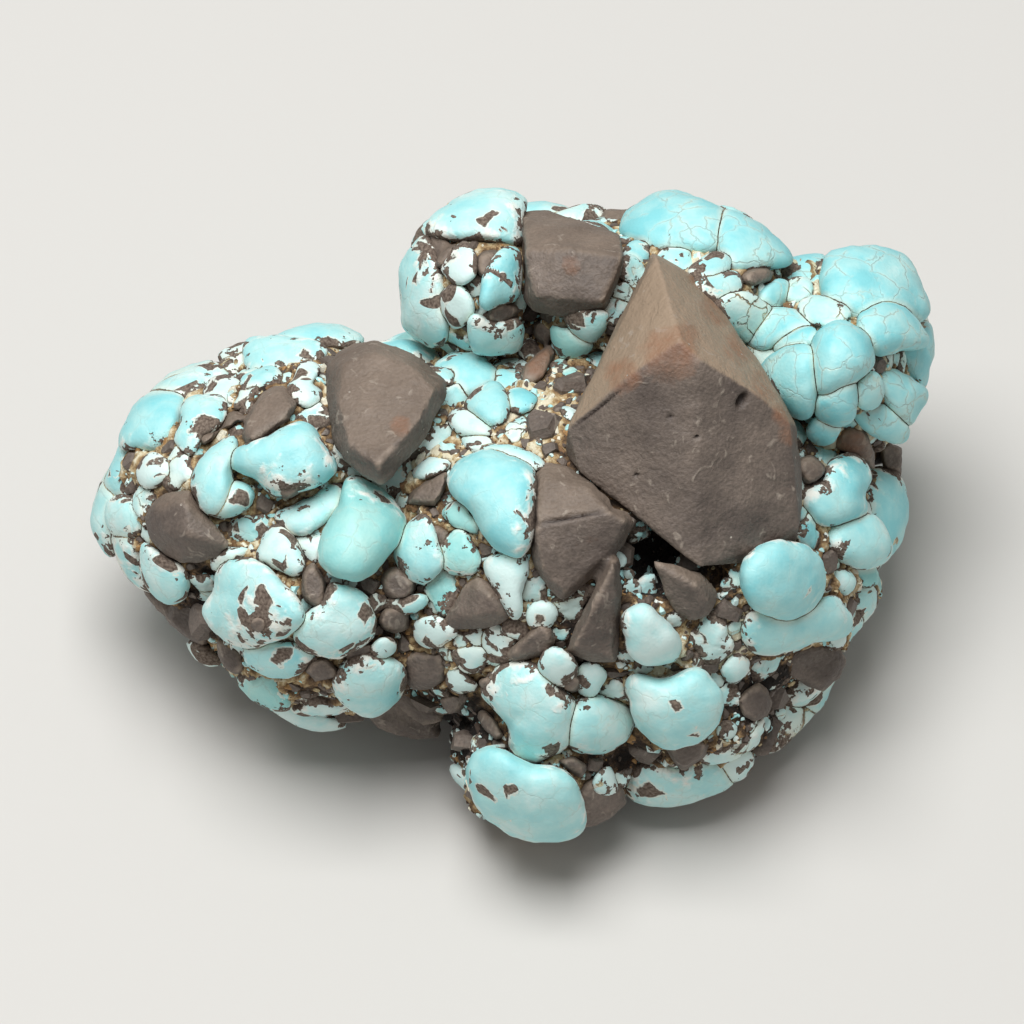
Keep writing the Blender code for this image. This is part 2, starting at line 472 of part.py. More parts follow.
# Each is (outline corners, peaks). A peak is (x, y, height over the groundmass); a plain clast gives one
# number instead, the height of its broken table.
CLASTS = [
    # upper block
    ([
        (0.7, 30.2), (3.4, 30.4), (7.3, 29.2), (11.0, 28.1), (11.4, 25.1), (10.6, 22.8), (9.4, 20.1),
        (4.8, 19.4), (2.3, 20.1), (1.2, 21.2), (1.0, 25.2),
    ], [
        (1.2, 29.4, 5.0), (6.8, 28.4, 5.8), (10.6, 27.4, 6.0), (1.4, 26.1, 8.4), (5.8, 26.2, 9.4),
        (11.0, 25.4, 8.0), (2.2, 21.4, 5.6), (9.0, 20.9, 5.2),
    ]),
    # left block, a broad flat table
    ([
        (-18.7, 14.8), (-17.7, 16.2), (-15.9, 17.0), (-13.7, 17.1), (-10.7, 16.2), (-8.7, 15.1),
        (-6.4, 13.1), (-6.3, 11.8), (-7.4, 9.8), (-8.7, 7.2), (-10.2, 5.5), (-11.7, 3.5), (-13.0, 2.5),
        (-14.7, 3.5), (-16.7, 5.0), (-17.9, 6.8), (-18.0, 9.2), (-18.6, 11.8),
    ], [
        (-16.8, 14.7, 4.6), (-13.8, 15.8, 5.0), (-9.8, 14.4, 5.2), (-7.6, 12.2, 4.8), (-9.2, 9.2, 5.2),
        (-13.2, 4.7, 5.0), (-16.2, 6.7, 4.8), (-17.2, 10.8, 4.8),
    ]),
    # middle wedge in two slabs
    ([
        (2.3, 3.8), (3.3, 4.8), (5.3, 4.5), (7.8, 3.0), (9.6, 1.2), (10.0, 0.1), (6.8, -0.6),
        (2.6, -1.0), (1.9, 0.8),
    ], [
        (3.4, 3.6, 3.0), (7.4, 2.0, 3.6), (3.8, 0.1, 4.6), (9.0, 0.4, 4.2),
    ]),
    ([
        (2.0, -1.0), (4.8, -0.6), (9.2, 0.1), (11.4, 0.2), (12.2, -1.1), (11.2, -3.3), (8.8, -5.8),
        (6.0, -8.2), (4.8, -8.8), (3.2, -7.3), (2.0, -4.8), (1.8, -2.8),
    ], [
        (2.8, -1.5, 4.8), (8.8, -0.6, 5.2), (11.0, -1.0, 4.2), (3.8, -5.5, 3.4), (5.2, -7.8, 2.2),
        (9.2, -4.3, 3.2),
    ]),
    # long spike
    ([
        (9.6, -4.3), (10.7, -4.5), (10.9, -8.8), (10.8, -11.8), (10.6, -15.2), (7.8, -14.9),
        (5.2, -13.9), (6.4, -11.2), (8.2, -7.3),
    ], [
        (10.0, -5.0, 4.0), (7.6, -10.2, 4.6), (6.0, -13.3, 3.6), (10.2, -9.2, 3.4), (10.0, -14.6, 2.6),
    ]),
    ([
        (13.8, -4.8), (15.3, -5.0), (18.8, -6.0), (20.4, -7.8), (20.4, -8.8), (19.6, -10.2),
        (17.8, -10.9), (16.2, -9.9), (15.2, -8.2),
    ], [
        (15.2, -6.0, 1.6), (18.2, -7.2, 3.0), (19.4, -8.6, 2.4),
    ]),
    # left lobe
    ([
        (-36.9, -0.6), (-36.2, 0.9), (-34.7, 1.9), (-32.2, 2.2), (-31.2, 0.8), (-30.0, -0.8),
        (-29.0, -2.2), (-28.0, -3.3), (-29.2, -4.3), (-31.2, -5.3), (-33.2, -5.3), (-35.0, -4.3),
        (-36.2, -3.0), (-36.7, -1.8),
    ], [
        (-35.4, -0.1, 2.8), (-32.6, 1.1, 3.0), (-32.0, -2.1, 4.2), (-34.4, -2.1, 3.8),
        (-32.6, -4.2, 2.8), (-29.8, -3.0, 2.2),
    ]),
    ([
        (-27.1, 7.2), (-27.0, 8.8), (-26.0, 10.8), (-25.0, 12.1), (-23.7, 12.8), (-22.7, 12.8),
        (-22.0, 11.2), (-21.2, 10.8), (-22.2, 9.1), (-24.0, 8.4), (-25.0, 7.5), (-26.2, 6.5),
    ], 2.6),
    ([
        (-39.6, -5.0), (-40.0, -2.5), (-38.7, -3.0), (-37.4, -2.8), (-37.1, -4.2), (-37.0, -5.9),
        (-37.2, -7.3), (-38.2, -6.8), (-39.2, -6.0),
    ], 2.4),
    ([
        (-34.9, -10.3), (-34.3, -8.8), (-32.7, -9.1), (-31.4, -8.9), (-31.0, -10.6), (-30.4, -12.4),
        (-30.9, -14.2), (-32.6, -12.6), (-35.0, -11.2),
    ], 2.2),
    ([
        (-37.4, -7.4), (-36.1, -7.7), (-35.3, -8.6), (-34.7, -9.2), (-34.8, -11.0), (-36.0, -10.0),
        (-37.2, -8.4),
    ], 1.2),
    ([
        (-29.7, -14.4), (-29.9, -12.6), (-28.8, -12.8), (-27.6, -13.6), (-27.0, -14.2), (-26.9, -15.9),
        (-27.6, -16.4), (-28.8, -15.8),
    ], 2.0),
    ([
        (-21.0, -6.2), (-20.4, -5.2), (-19.6, -4.8), (-19.0, -5.8), (-18.4, -6.8), (-18.4, -8.2),
        (-18.6, -9.8), (-19.6, -9.6), (-20.6, -8.9), (-21.0, -7.8),
    ], 2.4),
    ([
        (-23.6, 2.6), (-23.2, 3.5), (-22.2, 3.8), (-21.2, 3.5), (-20.6, 2.9), (-21.2, 1.9),
        (-22.2, 1.2), (-23.2, 1.6),
    ], 4.6),
    ([
        (-30.0, 13.8), (-29.7, 15.1), (-28.8, 15.7), (-27.4, 16.2), (-28.0, 15.1), (-29.0, 14.1),
    ], 1.8),
    ([
        (-31.7, 7.5), (-31.2, 8.2), (-30.2, 8.2), (-29.2, 8.2), (-29.8, 7.2), (-30.7, 6.5),
        (-31.2, 6.7),
    ], 2.0),
    ([
        (-29.2, 8.8), (-28.6, 9.7), (-27.6, 10.1), (-26.9, 9.9), (-27.2, 9.1), (-28.2, 8.2),
        (-29.0, 8.2),
    ], 1.8),
    ([
        (-21.0, -15.9), (-20.0, -14.8), (-18.7, -14.2), (-17.4, -15.6), (-17.0, -16.6), (-18.2, -16.9),
        (-19.8, -17.1),
    ], 2.0),
    ([
        (-17.0, -13.9), (-16.0, -13.2), (-14.4, -12.9), (-13.4, -13.2), (-13.8, -14.2), (-15.0, -14.6),
        (-16.4, -14.8),
    ], 2.2),
    ([
        (-26.2, -10.9), (-25.6, -10.3), (-24.6, -10.3), (-24.0, -10.9), (-24.4, -11.8), (-25.0, -12.2),
        (-25.8, -11.8),
    ], 5.4),
    # middle
    ([
        (-13.1, -6.8), (-12.4, -5.8), (-11.4, -5.5), (-10.2, -6.2), (-9.4, -6.9), (-9.6, -8.2),
        (-10.4, -8.8), (-11.8, -8.8), (-12.8, -8.2),
    ], 2.8),
    ([
        (-13.4, -10.9), (-12.8, -9.6), (-11.6, -9.3), (-10.2, -9.6), (-9.9, -10.6), (-10.2, -11.8),
        (-11.6, -12.2), (-12.8, -11.8),
    ], 2.0),
    ([
        (-6.9, -10.9), (-5.7, -8.8), (-4.7, -7.2), (-3.4, -6.5), (-2.0, -7.3), (-0.8, -8.6),
        (-0.1, -9.9), (-0.4, -10.9), (-2.0, -11.6), (-4.4, -11.8), (-6.2, -11.6),
    ], [
        (-5.8, -10.3, 2.0), (-3.6, -7.6, 2.2), (-2.2, -8.3, 3.0), (-1.0, -10.2, 2.4),
        (-3.6, -10.2, 3.2),
    ]),
    ([
        (-10.7, 0.8), (-10.2, 2.0), (-8.8, 3.2), (-7.2, 4.0), (-6.3, 4.2), (-6.3, 3.0), (-6.8, 1.6),
        (-7.6, 0.4), (-9.2, 0.6),
    ], 2.4),
    ([
        (-11.0, -14.2), (-9.7, -13.9), (-8.2, -14.2), (-6.8, -13.9), (-6.4, -15.6), (-6.8, -17.1),
        (-8.2, -17.8), (-10.0, -17.8), (-10.8, -16.8),
    ], 1.8),
    ([
        (-14.8, -20.8), (-13.5, -19.0), (-11.2, -18.4), (-8.2, -18.4), (-7.0, -19.2), (-7.2, -20.8),
        (-7.2, -23.0), (-9.5, -23.3), (-12.0, -22.6), (-13.8, -21.8),
    ], 1.8),
    ([
        (-7.6, -18.8), (-6.4, -18.1), (-4.6, -18.4), (-4.2, -19.1), (-5.2, -20.1), (-6.6, -20.4),
    ], 1.6),
    ([
        (-0.6, -14.2), (0.6, -12.8), (1.8, -11.8), (3.0, -10.9), (4.0, -11.6), (4.4, -12.8),
        (3.8, -14.2), (1.8, -14.6), (0.2, -14.8),
    ], 2.0),
    ([
        (-8.6, -2.8), (-8.6, -1.4), (-7.6, -1.1), (-6.2, -2.0), (-6.6, -3.2), (-7.2, -3.5),
    ], 1.4),
    ([
        (-3.6, -19.9), (-2.8, -19.6), (-1.8, -20.6), (-1.2, -21.4), (-0.6, -22.6), (-1.6, -22.9),
        (-2.8, -21.9), (-3.4, -20.9),
    ], 1.8),
    # upper lobes
    ([
        (-8.6, 26.9), (-8.0, 28.2), (-6.8, 28.1), (-6.2, 27.2), (-7.0, 26.2), (-8.2, 25.8),
    ], 4.0),
    ([
        (-7.6, 25.4), (-6.6, 26.6), (-5.4, 27.1), (-5.8, 25.9), (-6.8, 24.4), (-7.8, 24.4),
    ], 3.4),
    ([
        (-3.5, 24.2), (-3.4, 25.6), (-2.6, 26.1), (-1.4, 26.1), (-1.8, 24.9), (-2.4, 23.2),
        (-3.2, 23.6),
    ], 2.8),
    ([
        (-2.8, 19.2), (-2.2, 20.4), (-1.0, 21.1), (0.2, 20.9), (0.9, 20.2), (0.0, 19.2), (-1.2, 18.6),
        (-2.4, 18.8),
    ], 3.0),
    ([
        (2.1, 17.8), (2.3, 19.1), (3.3, 19.2), (4.3, 18.4), (4.0, 17.2), (2.8, 16.8),
    ], 2.0),
    ([
        (0.9, 13.4), (1.4, 14.8), (2.6, 16.1), (3.8, 16.9), (4.4, 16.1), (4.0, 14.8), (3.2, 13.4),
        (2.0, 12.7), (1.2, 12.8),
    ], 2.2),
    ([
        (8.9, 29.6), (9.4, 30.7), (11.2, 30.9), (12.5, 30.9), (12.9, 29.6), (11.6, 28.9), (9.8, 28.9),
    ], 2.6),
    ([
        (22.9, 23.6), (23.8, 24.4), (25.6, 24.6), (26.4, 24.1), (26.0, 23.1), (24.4, 22.6),
        (23.2, 22.9),
    ], 2.6),
    # right flank
    ([
        (28.4, 4.5), (28.8, 5.5), (30.0, 5.8), (31.2, 5.0), (31.8, 4.2), (30.8, 3.2), (29.4, 2.6),
        (28.8, 3.5),
    ], 4.0),
    ([
        (32.2, 6.8), (32.6, 8.2), (33.8, 8.7), (35.2, 8.4), (36.0, 7.2), (36.6, 5.8), (36.6, 4.2),
        (35.4, 4.7), (34.0, 5.7),
    ], 2.8),
    ([
        (37.0, 6.7), (38.1, 7.3), (39.6, 6.6), (39.8, 5.0), (39.7, 3.6), (37.6, 4.2),
    ], 2.0),
    ([
        (25.3, -14.2), (27.8, -13.8), (30.4, -13.1), (33.0, -13.6), (33.8, -15.0), (33.2, -16.8),
        (31.5, -18.2), (28.3, -16.8), (26.4, -15.6),
    ], 1.6),
    ([
        (22.3, -18.9), (23.3, -17.8), (24.6, -17.1), (25.8, -17.8), (26.3, -19.2), (25.8, -20.6),
        (24.3, -21.1), (23.0, -20.4),
    ], 1.4),
    ([
        (23.0, -22.6), (24.3, -21.4), (26.5, -21.6), (28.5, -23.0), (27.6, -24.4), (25.8, -24.8),
    ], 1.4),
    # lower lip
    ([
        (15.2, -23.4), (16.8, -22.9), (18.8, -22.6), (20.0, -23.1), (19.4, -24.6), (18.3, -25.1),
        (17.2, -25.9), (16.2, -24.9),
    ], 2.6),
    ([
        (7.0, -31.6), (6.4, -28.4), (7.4, -26.9), (9.0, -26.4), (11.4, -27.9), (11.6, -29.4),
        (10.0, -30.6), (8.4, -31.5),
    ], 1.8),
    ([
        (4.4, -24.8), (6.0, -24.4), (7.4, -25.4), (7.0, -26.4), (5.8, -25.9),
    ], 2.0),
    ([
        (4.8, -16.9), (5.4, -16.1), (6.4, -16.1), (6.9, -16.9), (6.4, -17.9), (5.2, -17.8),
    ], 3.6),
    ([
        (-3.6, -16.9), (-3.0, -16.4), (-2.0, -16.4), (-1.7, -17.1), (-2.2, -17.9), (-3.2, -17.8),
    ], 2.6),
]

# ---------------------------------------------------------------- the hidden sides
# The back and the flanks carry pieces like the show face's, spread evenly over the groundmass.
SEED = 7
SPREADS = [  # (points over the whole sphere, radius range, share that are clasts)
    (76, (4.6, 7.0), 0.34),
    (170, (2.4, 4.0), 0.42),
]
HIDDEN_SIDE = 0.06  # a spot is hidden where its normal's z in the face frame is under this
GOLDEN_ANGLE = math.pi * (3.0 - math.sqrt(5.0))

# The stone's outline as its show face is met square on: the hidden pieces keep inside it.
SHOW_OUTLINE = [
    (-42.5, -0.8), (-42.0, 2.2), (-40.4, 5.7), (-39.2, 9.2), (-36.7, 12.7), (-33.2, 15.0),
    (-29.7, 16.2), (-26.2, 17.7), (-22.2, 18.7), (-17.7, 19.0), (-16.0, 18.2), (-14.2, 17.4),
    (-12.7, 18.4), (-11.2, 19.2), (-11.0, 22.2), (-11.2, 25.0), (-9.7, 27.4), (-7.7, 30.2),
    (-4.7, 31.9), (-1.2, 32.4), (1.3, 31.7), (3.8, 31.4), (6.3, 30.4), (8.8, 30.4), (11.3, 30.9),
    (12.8, 31.7), (15.3, 32.2), (18.8, 31.4), (22.8, 30.0), (25.8, 28.0), (28.3, 25.7), (31.8, 26.2),
    (35.8, 26.7), (38.8, 26.2), (40.8, 24.0), (41.8, 21.2), (42.6, 18.2), (42.3, 14.7), (41.3, 11.2),
    (39.8, 8.2), (39.6, 6.2), (39.8, 3.2), (40.0, 0.2), (39.3, -2.8), (37.8, -4.6), (36.8, -5.8),
    (36.6, -8.8), (35.6, -10.8), (33.3, -13.8), (32.6, -16.8), (31.8, -18.8), (28.8, -22.8),
    (24.8, -25.8), (20.8, -28.3), (17.8, -29.6), (13.8, -29.8), (11.3, -29.3), (8.8, -31.3),
    (5.8, -32.6), (2.8, -33.0), (-0.2, -32.3), (-2.7, -30.3), (-4.7, -27.8), (-6.7, -24.8),
    (-8.2, -22.3), (-11.2, -21.8), (-16.2, -21.0), (-19.2, -20.6), (-22.7, -20.0), (-26.2, -17.8),
    (-29.7, -15.3), (-32.7, -12.3), (-35.2, -10.8), (-36.2, -8.8), (-38.2, -6.8), (-40.7, -5.3),
    (-42.2, -2.8),
]
SINK_STEP = 1.0  # a hidden piece that would pass the outline is sunk by this much, up to MOST_SINKS times
MOST_SINKS = 5

# The base clast's outline on the floor and its height, in the row frame.
BASE_OUTLINE = [(-20, -8), (-9, -11), (10, -12), (20, -5), (20, 9), (6, 16), (-12, 14), (-22, 4)]
BASE_HEIGHT = 12.0
BASE_SHOULDER = 1.12  # the base clast widens this much above its resting face

FACE = Matrix.Translation(Vector(FACE_CENTRE)) @ Matrix.Rotation(FACE_LEAN, 4, "X")
FACE_INVERSE = FACE.inverted()


def clear_scene():
    for obj in list(bpy.data.objects):
        bpy.data.objects.remove(obj)


def groundmass_height(x, y):
    """How far the groundmass stands out of the face at (x, y)."""
    best = None
    for (cx, cy, cz), (rx, ry, rz) in SWELLINGS:
        inside = 1.0 - ((x - cx) / rx) ** 2 - ((y - cy) / ry) ** 2
        height = cz + rz * math.sqrt(inside) if inside > 0 else cz + 4.0 * inside
        best = height if best is None else max(best, height)
    return best


def seat(x, y, reach):
    """The groundmass's height at (x, y) and its slopes there, as a piece of this reach sits on it."""
    step = SEAT_SPAN * reach
    slopes = []
    for dx, dy in ((step, 0.0), (0.0, step)):
        rise = groundmass_height(x + dx, y + dy) - groundmass_height(x - dx, y - dy)
        slopes.append(rise / (2 * step))
    steep = math.hypot(*slopes)
    ease = min(1.0, STEEPEST_SEAT / steep) if steep > 0 else 1.0
    return groundmass_height(x, y), slopes[0] * ease, slopes[1] * ease


def smooth_outline(points, per_side=8):
    """Points on the closed Catmull-Rom curve through an outline."""
    corners = np.array(points, float)
    before, after, beyond = (np.roll(corners, shift, 0) for shift in (1, -1, -2))
    curve = []
    for t in np.linspace(0.0, 1.0, per_side, endpoint=False):
        curve.append(
            corners
            + 0.5 * t * (after - before)
            + t * t * (before - 2.5 * corners + 2.0 * after - 0.5 * beyond)
            + t**3 * (1.5 * (corners - after) + 0.5 * (beyond - before))
        )
    return np.stack(curve, 1).reshape(-1, 2)


def polar_outline(curve):
    """The curve's centre, and its radius as a function of the angle round that centre."""
    closed = np.vstack([curve, curve[:1]])
    cross = closed[:-1, 0] * closed[1:, 1] - closed[1:, 0] * closed[:-1, 1]
    centre = ((closed[:-1] + closed[1:]) * cross[:, None]).sum(0) / (3.0 * cross.sum())
    arms = curve - centre
    angles = np.arctan2(arms[:, 1], arms[:, 0])
    order = np.argsort(angles)
    radii = np.hypot(arms[:, 0], arms[:, 1])[order]
    return centre, lambda angle: np.interp(angle, angles[order], radii, period=2 * math.pi)


def add_nodule(bm, place, radius_at, crown, root, fineness):
    """A closed dome over the outline radius_at(angle). place turns (x, y, height) in the outline's own
    frame into a point."""
    made = bmesh.ops.create_icosphere(bm, subdivisions=fineness, radius=1.0)
    for vert in made["verts"]:
        x, y, z = vert.co
        reach = min(1.0, math.hypot(x, y))
        angle = math.atan2(y, x)
        radius = float(radius_at(angle)) * reach
        dome = (1.0 - reach**DOME_POWER) ** (1.0 / DOME_POWER)
        height = crown * dome if z > 0 else -root * dome
        vert.co = place(radius * math.cos(angle), radius * math.sin(angle), height)


def add_hull(bm, points):
    """The convex hull of the points, as one closed shell."""
    verts = [bm.verts.new(point) for point in points]
    made = bmesh.ops.convex_hull(bm, input=verts)
    spare = [g for g in made["geom_interior"] + made["geom_unused"] if isinstance(g, bmesh.types.BMVert)]
    bmesh.ops.delete(bm, geom=list(set(spare)), context="VERTS")


def on_face(x, y, sit, reach):
    """Places (dx, dy, height) about the spot (x, y) of the show face, leaning as the groundmass does."""
    level, slope_x, slope_y = seat(x, y, reach)

    def place(dx, dy, height):
        point = Vector((x + dx, y + dy, level + slope_x * dx + slope_y * dy + sit + height))
        return FACE @ point

    return place


def on_spot(spot, normal):
    """Places (dx, dy, height) about a spot of the hidden sides, in its tangent plane."""
    turn = normal.to_track_quat("Z", "Y").to_matrix()

    def place(dx, dy, height):
        return spot + turn @ Vector((dx, dy, height))

    return place


def face_nodules(bm):
    for crown, sit, outline in NODULES:
        centre, radius_at = polar_outline(smooth_outline(outline))
        mean = float(np.mean(radius_at(np.linspace(-math.pi, math.pi, 24))))
        crown = NODULE_FULLNESS * mean if crown is None else crown
        sit = NODULE_SIT if sit is None else sit
        place = on_face(centre[0], centre[1], sit, mean)
        add_nodule(bm, place, radius_at, crown, crown + NODULE_ROOT, 3 if mean > 2.2 else 2)


def clast_points(place, centre, outline, peaks):
    """A clast's corners: its outline, its broken top, and its root, which narrows into the groundmass."""
    arms = [Vector(corner) - centre for corner in outline]
    if isinstance(peaks, (int, float)):
        top = [(arm.x * CLAST_TABLE, arm.y * CLAST_TABLE, peaks) for arm in arms]
        rim = 0.35 * peaks
    else:
        top = [(x - centre.x, y - centre.y, height) for x, y, height in peaks]
        rim = 0.8
    rim_points = [(arm.x, arm.y, rim) for arm in arms]
    root_points = [(arm.x * 0.7, arm.y * 0.7, -CLAST_ROOT) for arm in arms]
    return [place(*point) for point in top + rim_points + root_points]


def face_clasts(bm):
    add_hull(bm, [FACE @ Vector(corner) for corner in GREAT_CLAST])
    for outline, peaks in CLASTS:
        centre = sum((Vector(corner) for corner in outline), Vector((0.0, 0.0))) / len(outline)
        reach = sum((Vector(corner) - centre).length for corner in outline) / len(outline)
        place = on_face(centre.x, centre.y, 0.0, reach)
        add_hull(bm, clast_points(place, centre, outline, peaks))


def hidden_spots(tree, middle, count):
    """Evenly spread spots on the groundmass that the show face doesn't cover."""
    out = (FACE.to_3x3() @ Vector((0.0, 0.0, 1.0))).normalized()
    for i in range(count):
        z = 1.0 - (2.0 * i + 1.0) / count
        ring = math.sqrt(1.0 - z * z)
        angle = i * GOLDEN_ANGLE
        ray = Vector((ring * math.cos(angle), ring * math.sin(angle), z))
        spot, normal, _, _ = tree.ray_cast(middle + ray * 120.0, -ray)
        if spot is not None and normal.dot(out) < HIDDEN_SIDE and spot.z > TUCK:
            yield spot, normal


def inside_outline(point):
    """Whether a point of the row frame lies within the show face's outline."""
    x, y, _ = FACE_INVERSE @ point
    inside = False
    for (ax, ay), (bx, by) in zip(SHOW_OUTLINE, SHOW_OUTLINE[1:] + SHOW_OUTLINE[:1]):
        if (ay > y) != (by > y) and x < ax + (bx - ax) * (y - ay) / (by - ay):
            inside = not inside
    return inside


def sunk_spot(spot, normal, radius, height):
    """The spot moved into the stone until a piece of this size keeps inside the outline, or None."""
    for _ in range(MOST_SINKS):
        place = on_spot(spot, normal)
        turns = [k * math.pi / 4 for k in range(8)]
        ring = [place(radius * math.cos(a), radius * math.sin(a), 0.3 * height) for a in turns]
        if all(inside_outline(point) for point in ring + [place(0.0, 0.0, height)]):
            return spot
        spot = spot - normal * SINK_STEP
    return None


def hidden_pieces(bm, tree, middle):
    rng = np.random.default_rng(SEED)
    for count, (least, most), clast_share in SPREADS:
        for spot, normal in hidden_spots(tree, middle, count):
            radius = rng.uniform(least, most)
            waves = rng.uniform(-0.16, 0.16, (3, 2))
            is_clast = rng.random() < clast_share
            spot = sunk_spot(spot, normal, radius, 0.6 * radius)
            if spot is None:
                continue
            place = on_spot(spot, normal)
            if is_clast:
                turns = np.sort(rng.uniform(0.0, 2 * math.pi, 7))
                arms = [Vector((math.cos(a), math.sin(a))) * radius * rng.uniform(0.75, 1.0) for a in turns]
                add_hull(bm, clast_points(place, Vector((0.0, 0.0)), arms, 0.42 * radius))
            else:

                def radius_at(angle, radius=radius, waves=waves):
                    wobble = sum(
                        waves[k, 0] * math.cos((k + 2) * angle) + waves[k, 1] * math.sin((k + 2) * angle)
                        for k in range(len(waves))
                    )
                    return radius * (1.0 + wobble)

                crown = 0.6 * radius
                add_nodule(bm, place, radius_at, crown, crown + NODULE_ROOT, 3 if radius > 4 else 2)


def groundmass_tree():
    """The groundmass alone, for laying pieces on it, and its middle."""
    bm = bmesh.new()
    add_swellings(bm, 4, 0.0)
    tree = BVHTree.FromBMesh(bm)
    bm.free()
    return tree, FACE @ Vector((4.0, 0.0, -6.0))


def pitted(point):
    """A point of the groundmass, lowered where the show face has a pit."""
    place = FACE_INVERSE @ point
    for x, y, reach, depth in PITS:
        away = math.hypot(place.x - x, place.y - y) / reach
        if away < 1.0 and place.z > 0.0:
            place.z -= depth * min(1.0, 2.0 * (1.0 - away))
    return FACE @ place


def add_swellings(bm, fineness, lump):
    for centre, radii in SWELLINGS:
        shape = Matrix.Translation(Vector(centre)) @ Matrix.Diagonal((*radii, 1.0))
        made = bmesh.ops.create_icosphere(bm, subdivisions=fineness, radius=1.0, matrix=FACE @ shape)
        hub = FACE @ Vector(centre)
        for vert in made["verts"]:
            height = lump * noise.fractal(vert.co / LUMP_SPACING, 0.8, 2.1, 3)
            vert.co = pitted(vert.co + (vert.co - hub).normalized() * height)


def tuck_underside(bm):
    """Draws the underside up, so that the stone rests on its base clast alone."""
    room = TUCK - SOFFIT
    for vert in bm.verts:
        if vert.co.z < TUCK:
            vert.co.z = SOFFIT + room * math.exp((vert.co.z - TUCK) / room)


def add_base_clast(bm):
    low = [Vector((x, y, -2.0)) for x, y in BASE_OUTLINE]
    high = [Vector((x * BASE_SHOULDER, y * BASE_SHOULDER, 0.35 * BASE_HEIGHT)) for x, y in BASE_OUTLINE]
    top = [Vector((x * 0.7, y * 0.7, BASE_HEIGHT)) for x, y in BASE_OUTLINE]
    add_hull(bm, low + high + top)


def stone_material():
    material = bpy.data.materials.new("turquoise_and_host_rock")
    material.use_nodes = True
    shader = material.node_tree.nodes["Principled BSDF"]
    shader.inputs["Base Color"].default_value = STONE_COLOUR
    shader.inputs["Roughness"].default_value = 0.6
    shader.inputs["Metallic"].default_value = 0.0
    return material


def floor_cutter(collection):
    """A slab under the floor, which leaves the resting face flat."""
    bpy.ops.mesh.primitive_cube_add(size=1.0, location=(0.0, 0.0, -10 * MM), scale=(0.2, 0.2, 20 * MM))
    cutter = bpy.context.object
    cutter.name = "floor_cutter"
    cutter.hide_render = True
    cutter.display_type = "WIRE"
    for home in list(cutter.users_collection):
        home.objects.unlink(cutter)
    collection.objects.link(cutter)
    return cutter


def build():
    clear_scene()
    parts = bpy.data.collections.new("turquoise_nugget")
    cutters = bpy.data.collections.new("cutters")
    for collection in (parts, cutters):
        bpy.context.scene.collection.children.link(collection)

    tree, middle = groundmass_tree()
    bm = bmesh.new()
    add_swellings(bm, 5, LUMP_HEIGHT)
    face_nodules(bm)
    face_clasts(bm)
    hidden_pieces(bm, tree, middle)
    tuck_underside(bm)
    add_base_clast(bm)
    bmesh.ops.scale(bm, vec=(MM, MM, MM), verts=bm.verts)
    mesh = bpy.data.meshes.new("nugget")
    bm.to_mesh(mesh)
    bm.free()
    nugget = bpy.data.objects.new("turquoise_nugget", mesh)
    nugget.data.materials.append(stone_material())
    parts.objects.link(nugget)

    fuse = nugget.modifiers.new("fuse", "REMESH")
    fuse.mode = "VOXEL"
    fuse.voxel_size = FUSE_VOXEL * MM
    graph = bpy.context.evaluated_depsgraph_get()
    fused = nugget.evaluated_get(graph).to_mesh()
    triangles = sum(len(polygon.vertices) - 2 for polygon in fused.polygons)
    facet = nugget.modifiers.new("facet", "DECIMATE")
    facet.ratio = MOST_TRIANGLES / triangles
    rest = nugget.modifiers.new("rest", "BOOLEAN")
    rest.operation = "DIFFERENCE"
    rest.solver = "EXACT"
    rest.object = floor_cutter(cutters)


build()
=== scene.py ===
# %% [markdown]
# # A raw turquoise nugget
#
# Turquoise grows as botryoidal crusts: smooth rounded lumps, like a bunch of grapes pressed together. Here
# they grew in a breccia, a rock of broken angular pieces called clasts, and a crumbly, iron-stained cement
# fills the gaps. The lesson dresses one solid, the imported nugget, with the four things that a hand lens tells
# apart: the cement, the turquoise nodules, the clasts, and the grains caught between them.

import json
import math

import bmesh
import bpy
import numpy as np
from mathutils import Matrix, Vector, noise
from mathutils.bvhtree import BVHTree

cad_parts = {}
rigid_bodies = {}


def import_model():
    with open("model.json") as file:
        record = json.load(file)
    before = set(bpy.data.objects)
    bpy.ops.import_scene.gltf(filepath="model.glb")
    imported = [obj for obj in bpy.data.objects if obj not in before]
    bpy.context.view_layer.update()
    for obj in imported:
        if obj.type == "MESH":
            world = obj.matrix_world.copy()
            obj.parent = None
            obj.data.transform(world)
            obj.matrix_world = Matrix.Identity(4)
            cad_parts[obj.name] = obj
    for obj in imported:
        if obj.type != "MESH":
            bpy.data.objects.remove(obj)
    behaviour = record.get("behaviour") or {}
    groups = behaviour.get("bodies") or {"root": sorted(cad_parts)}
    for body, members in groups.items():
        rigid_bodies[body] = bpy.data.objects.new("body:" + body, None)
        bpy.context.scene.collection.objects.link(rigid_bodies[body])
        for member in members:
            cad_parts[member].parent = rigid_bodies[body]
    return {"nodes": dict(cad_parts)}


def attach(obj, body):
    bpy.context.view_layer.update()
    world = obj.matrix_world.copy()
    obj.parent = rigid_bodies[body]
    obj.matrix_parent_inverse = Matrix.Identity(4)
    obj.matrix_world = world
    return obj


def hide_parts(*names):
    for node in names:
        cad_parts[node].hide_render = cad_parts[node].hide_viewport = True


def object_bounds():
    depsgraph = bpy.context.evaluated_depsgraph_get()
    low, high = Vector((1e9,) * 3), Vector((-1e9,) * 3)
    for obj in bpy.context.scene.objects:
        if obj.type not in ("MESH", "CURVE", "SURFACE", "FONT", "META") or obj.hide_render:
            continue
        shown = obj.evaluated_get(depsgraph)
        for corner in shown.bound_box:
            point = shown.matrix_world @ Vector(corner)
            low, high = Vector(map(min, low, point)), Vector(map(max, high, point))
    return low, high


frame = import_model()
CAD_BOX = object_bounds()
SOLID = "turquoise_nugget"
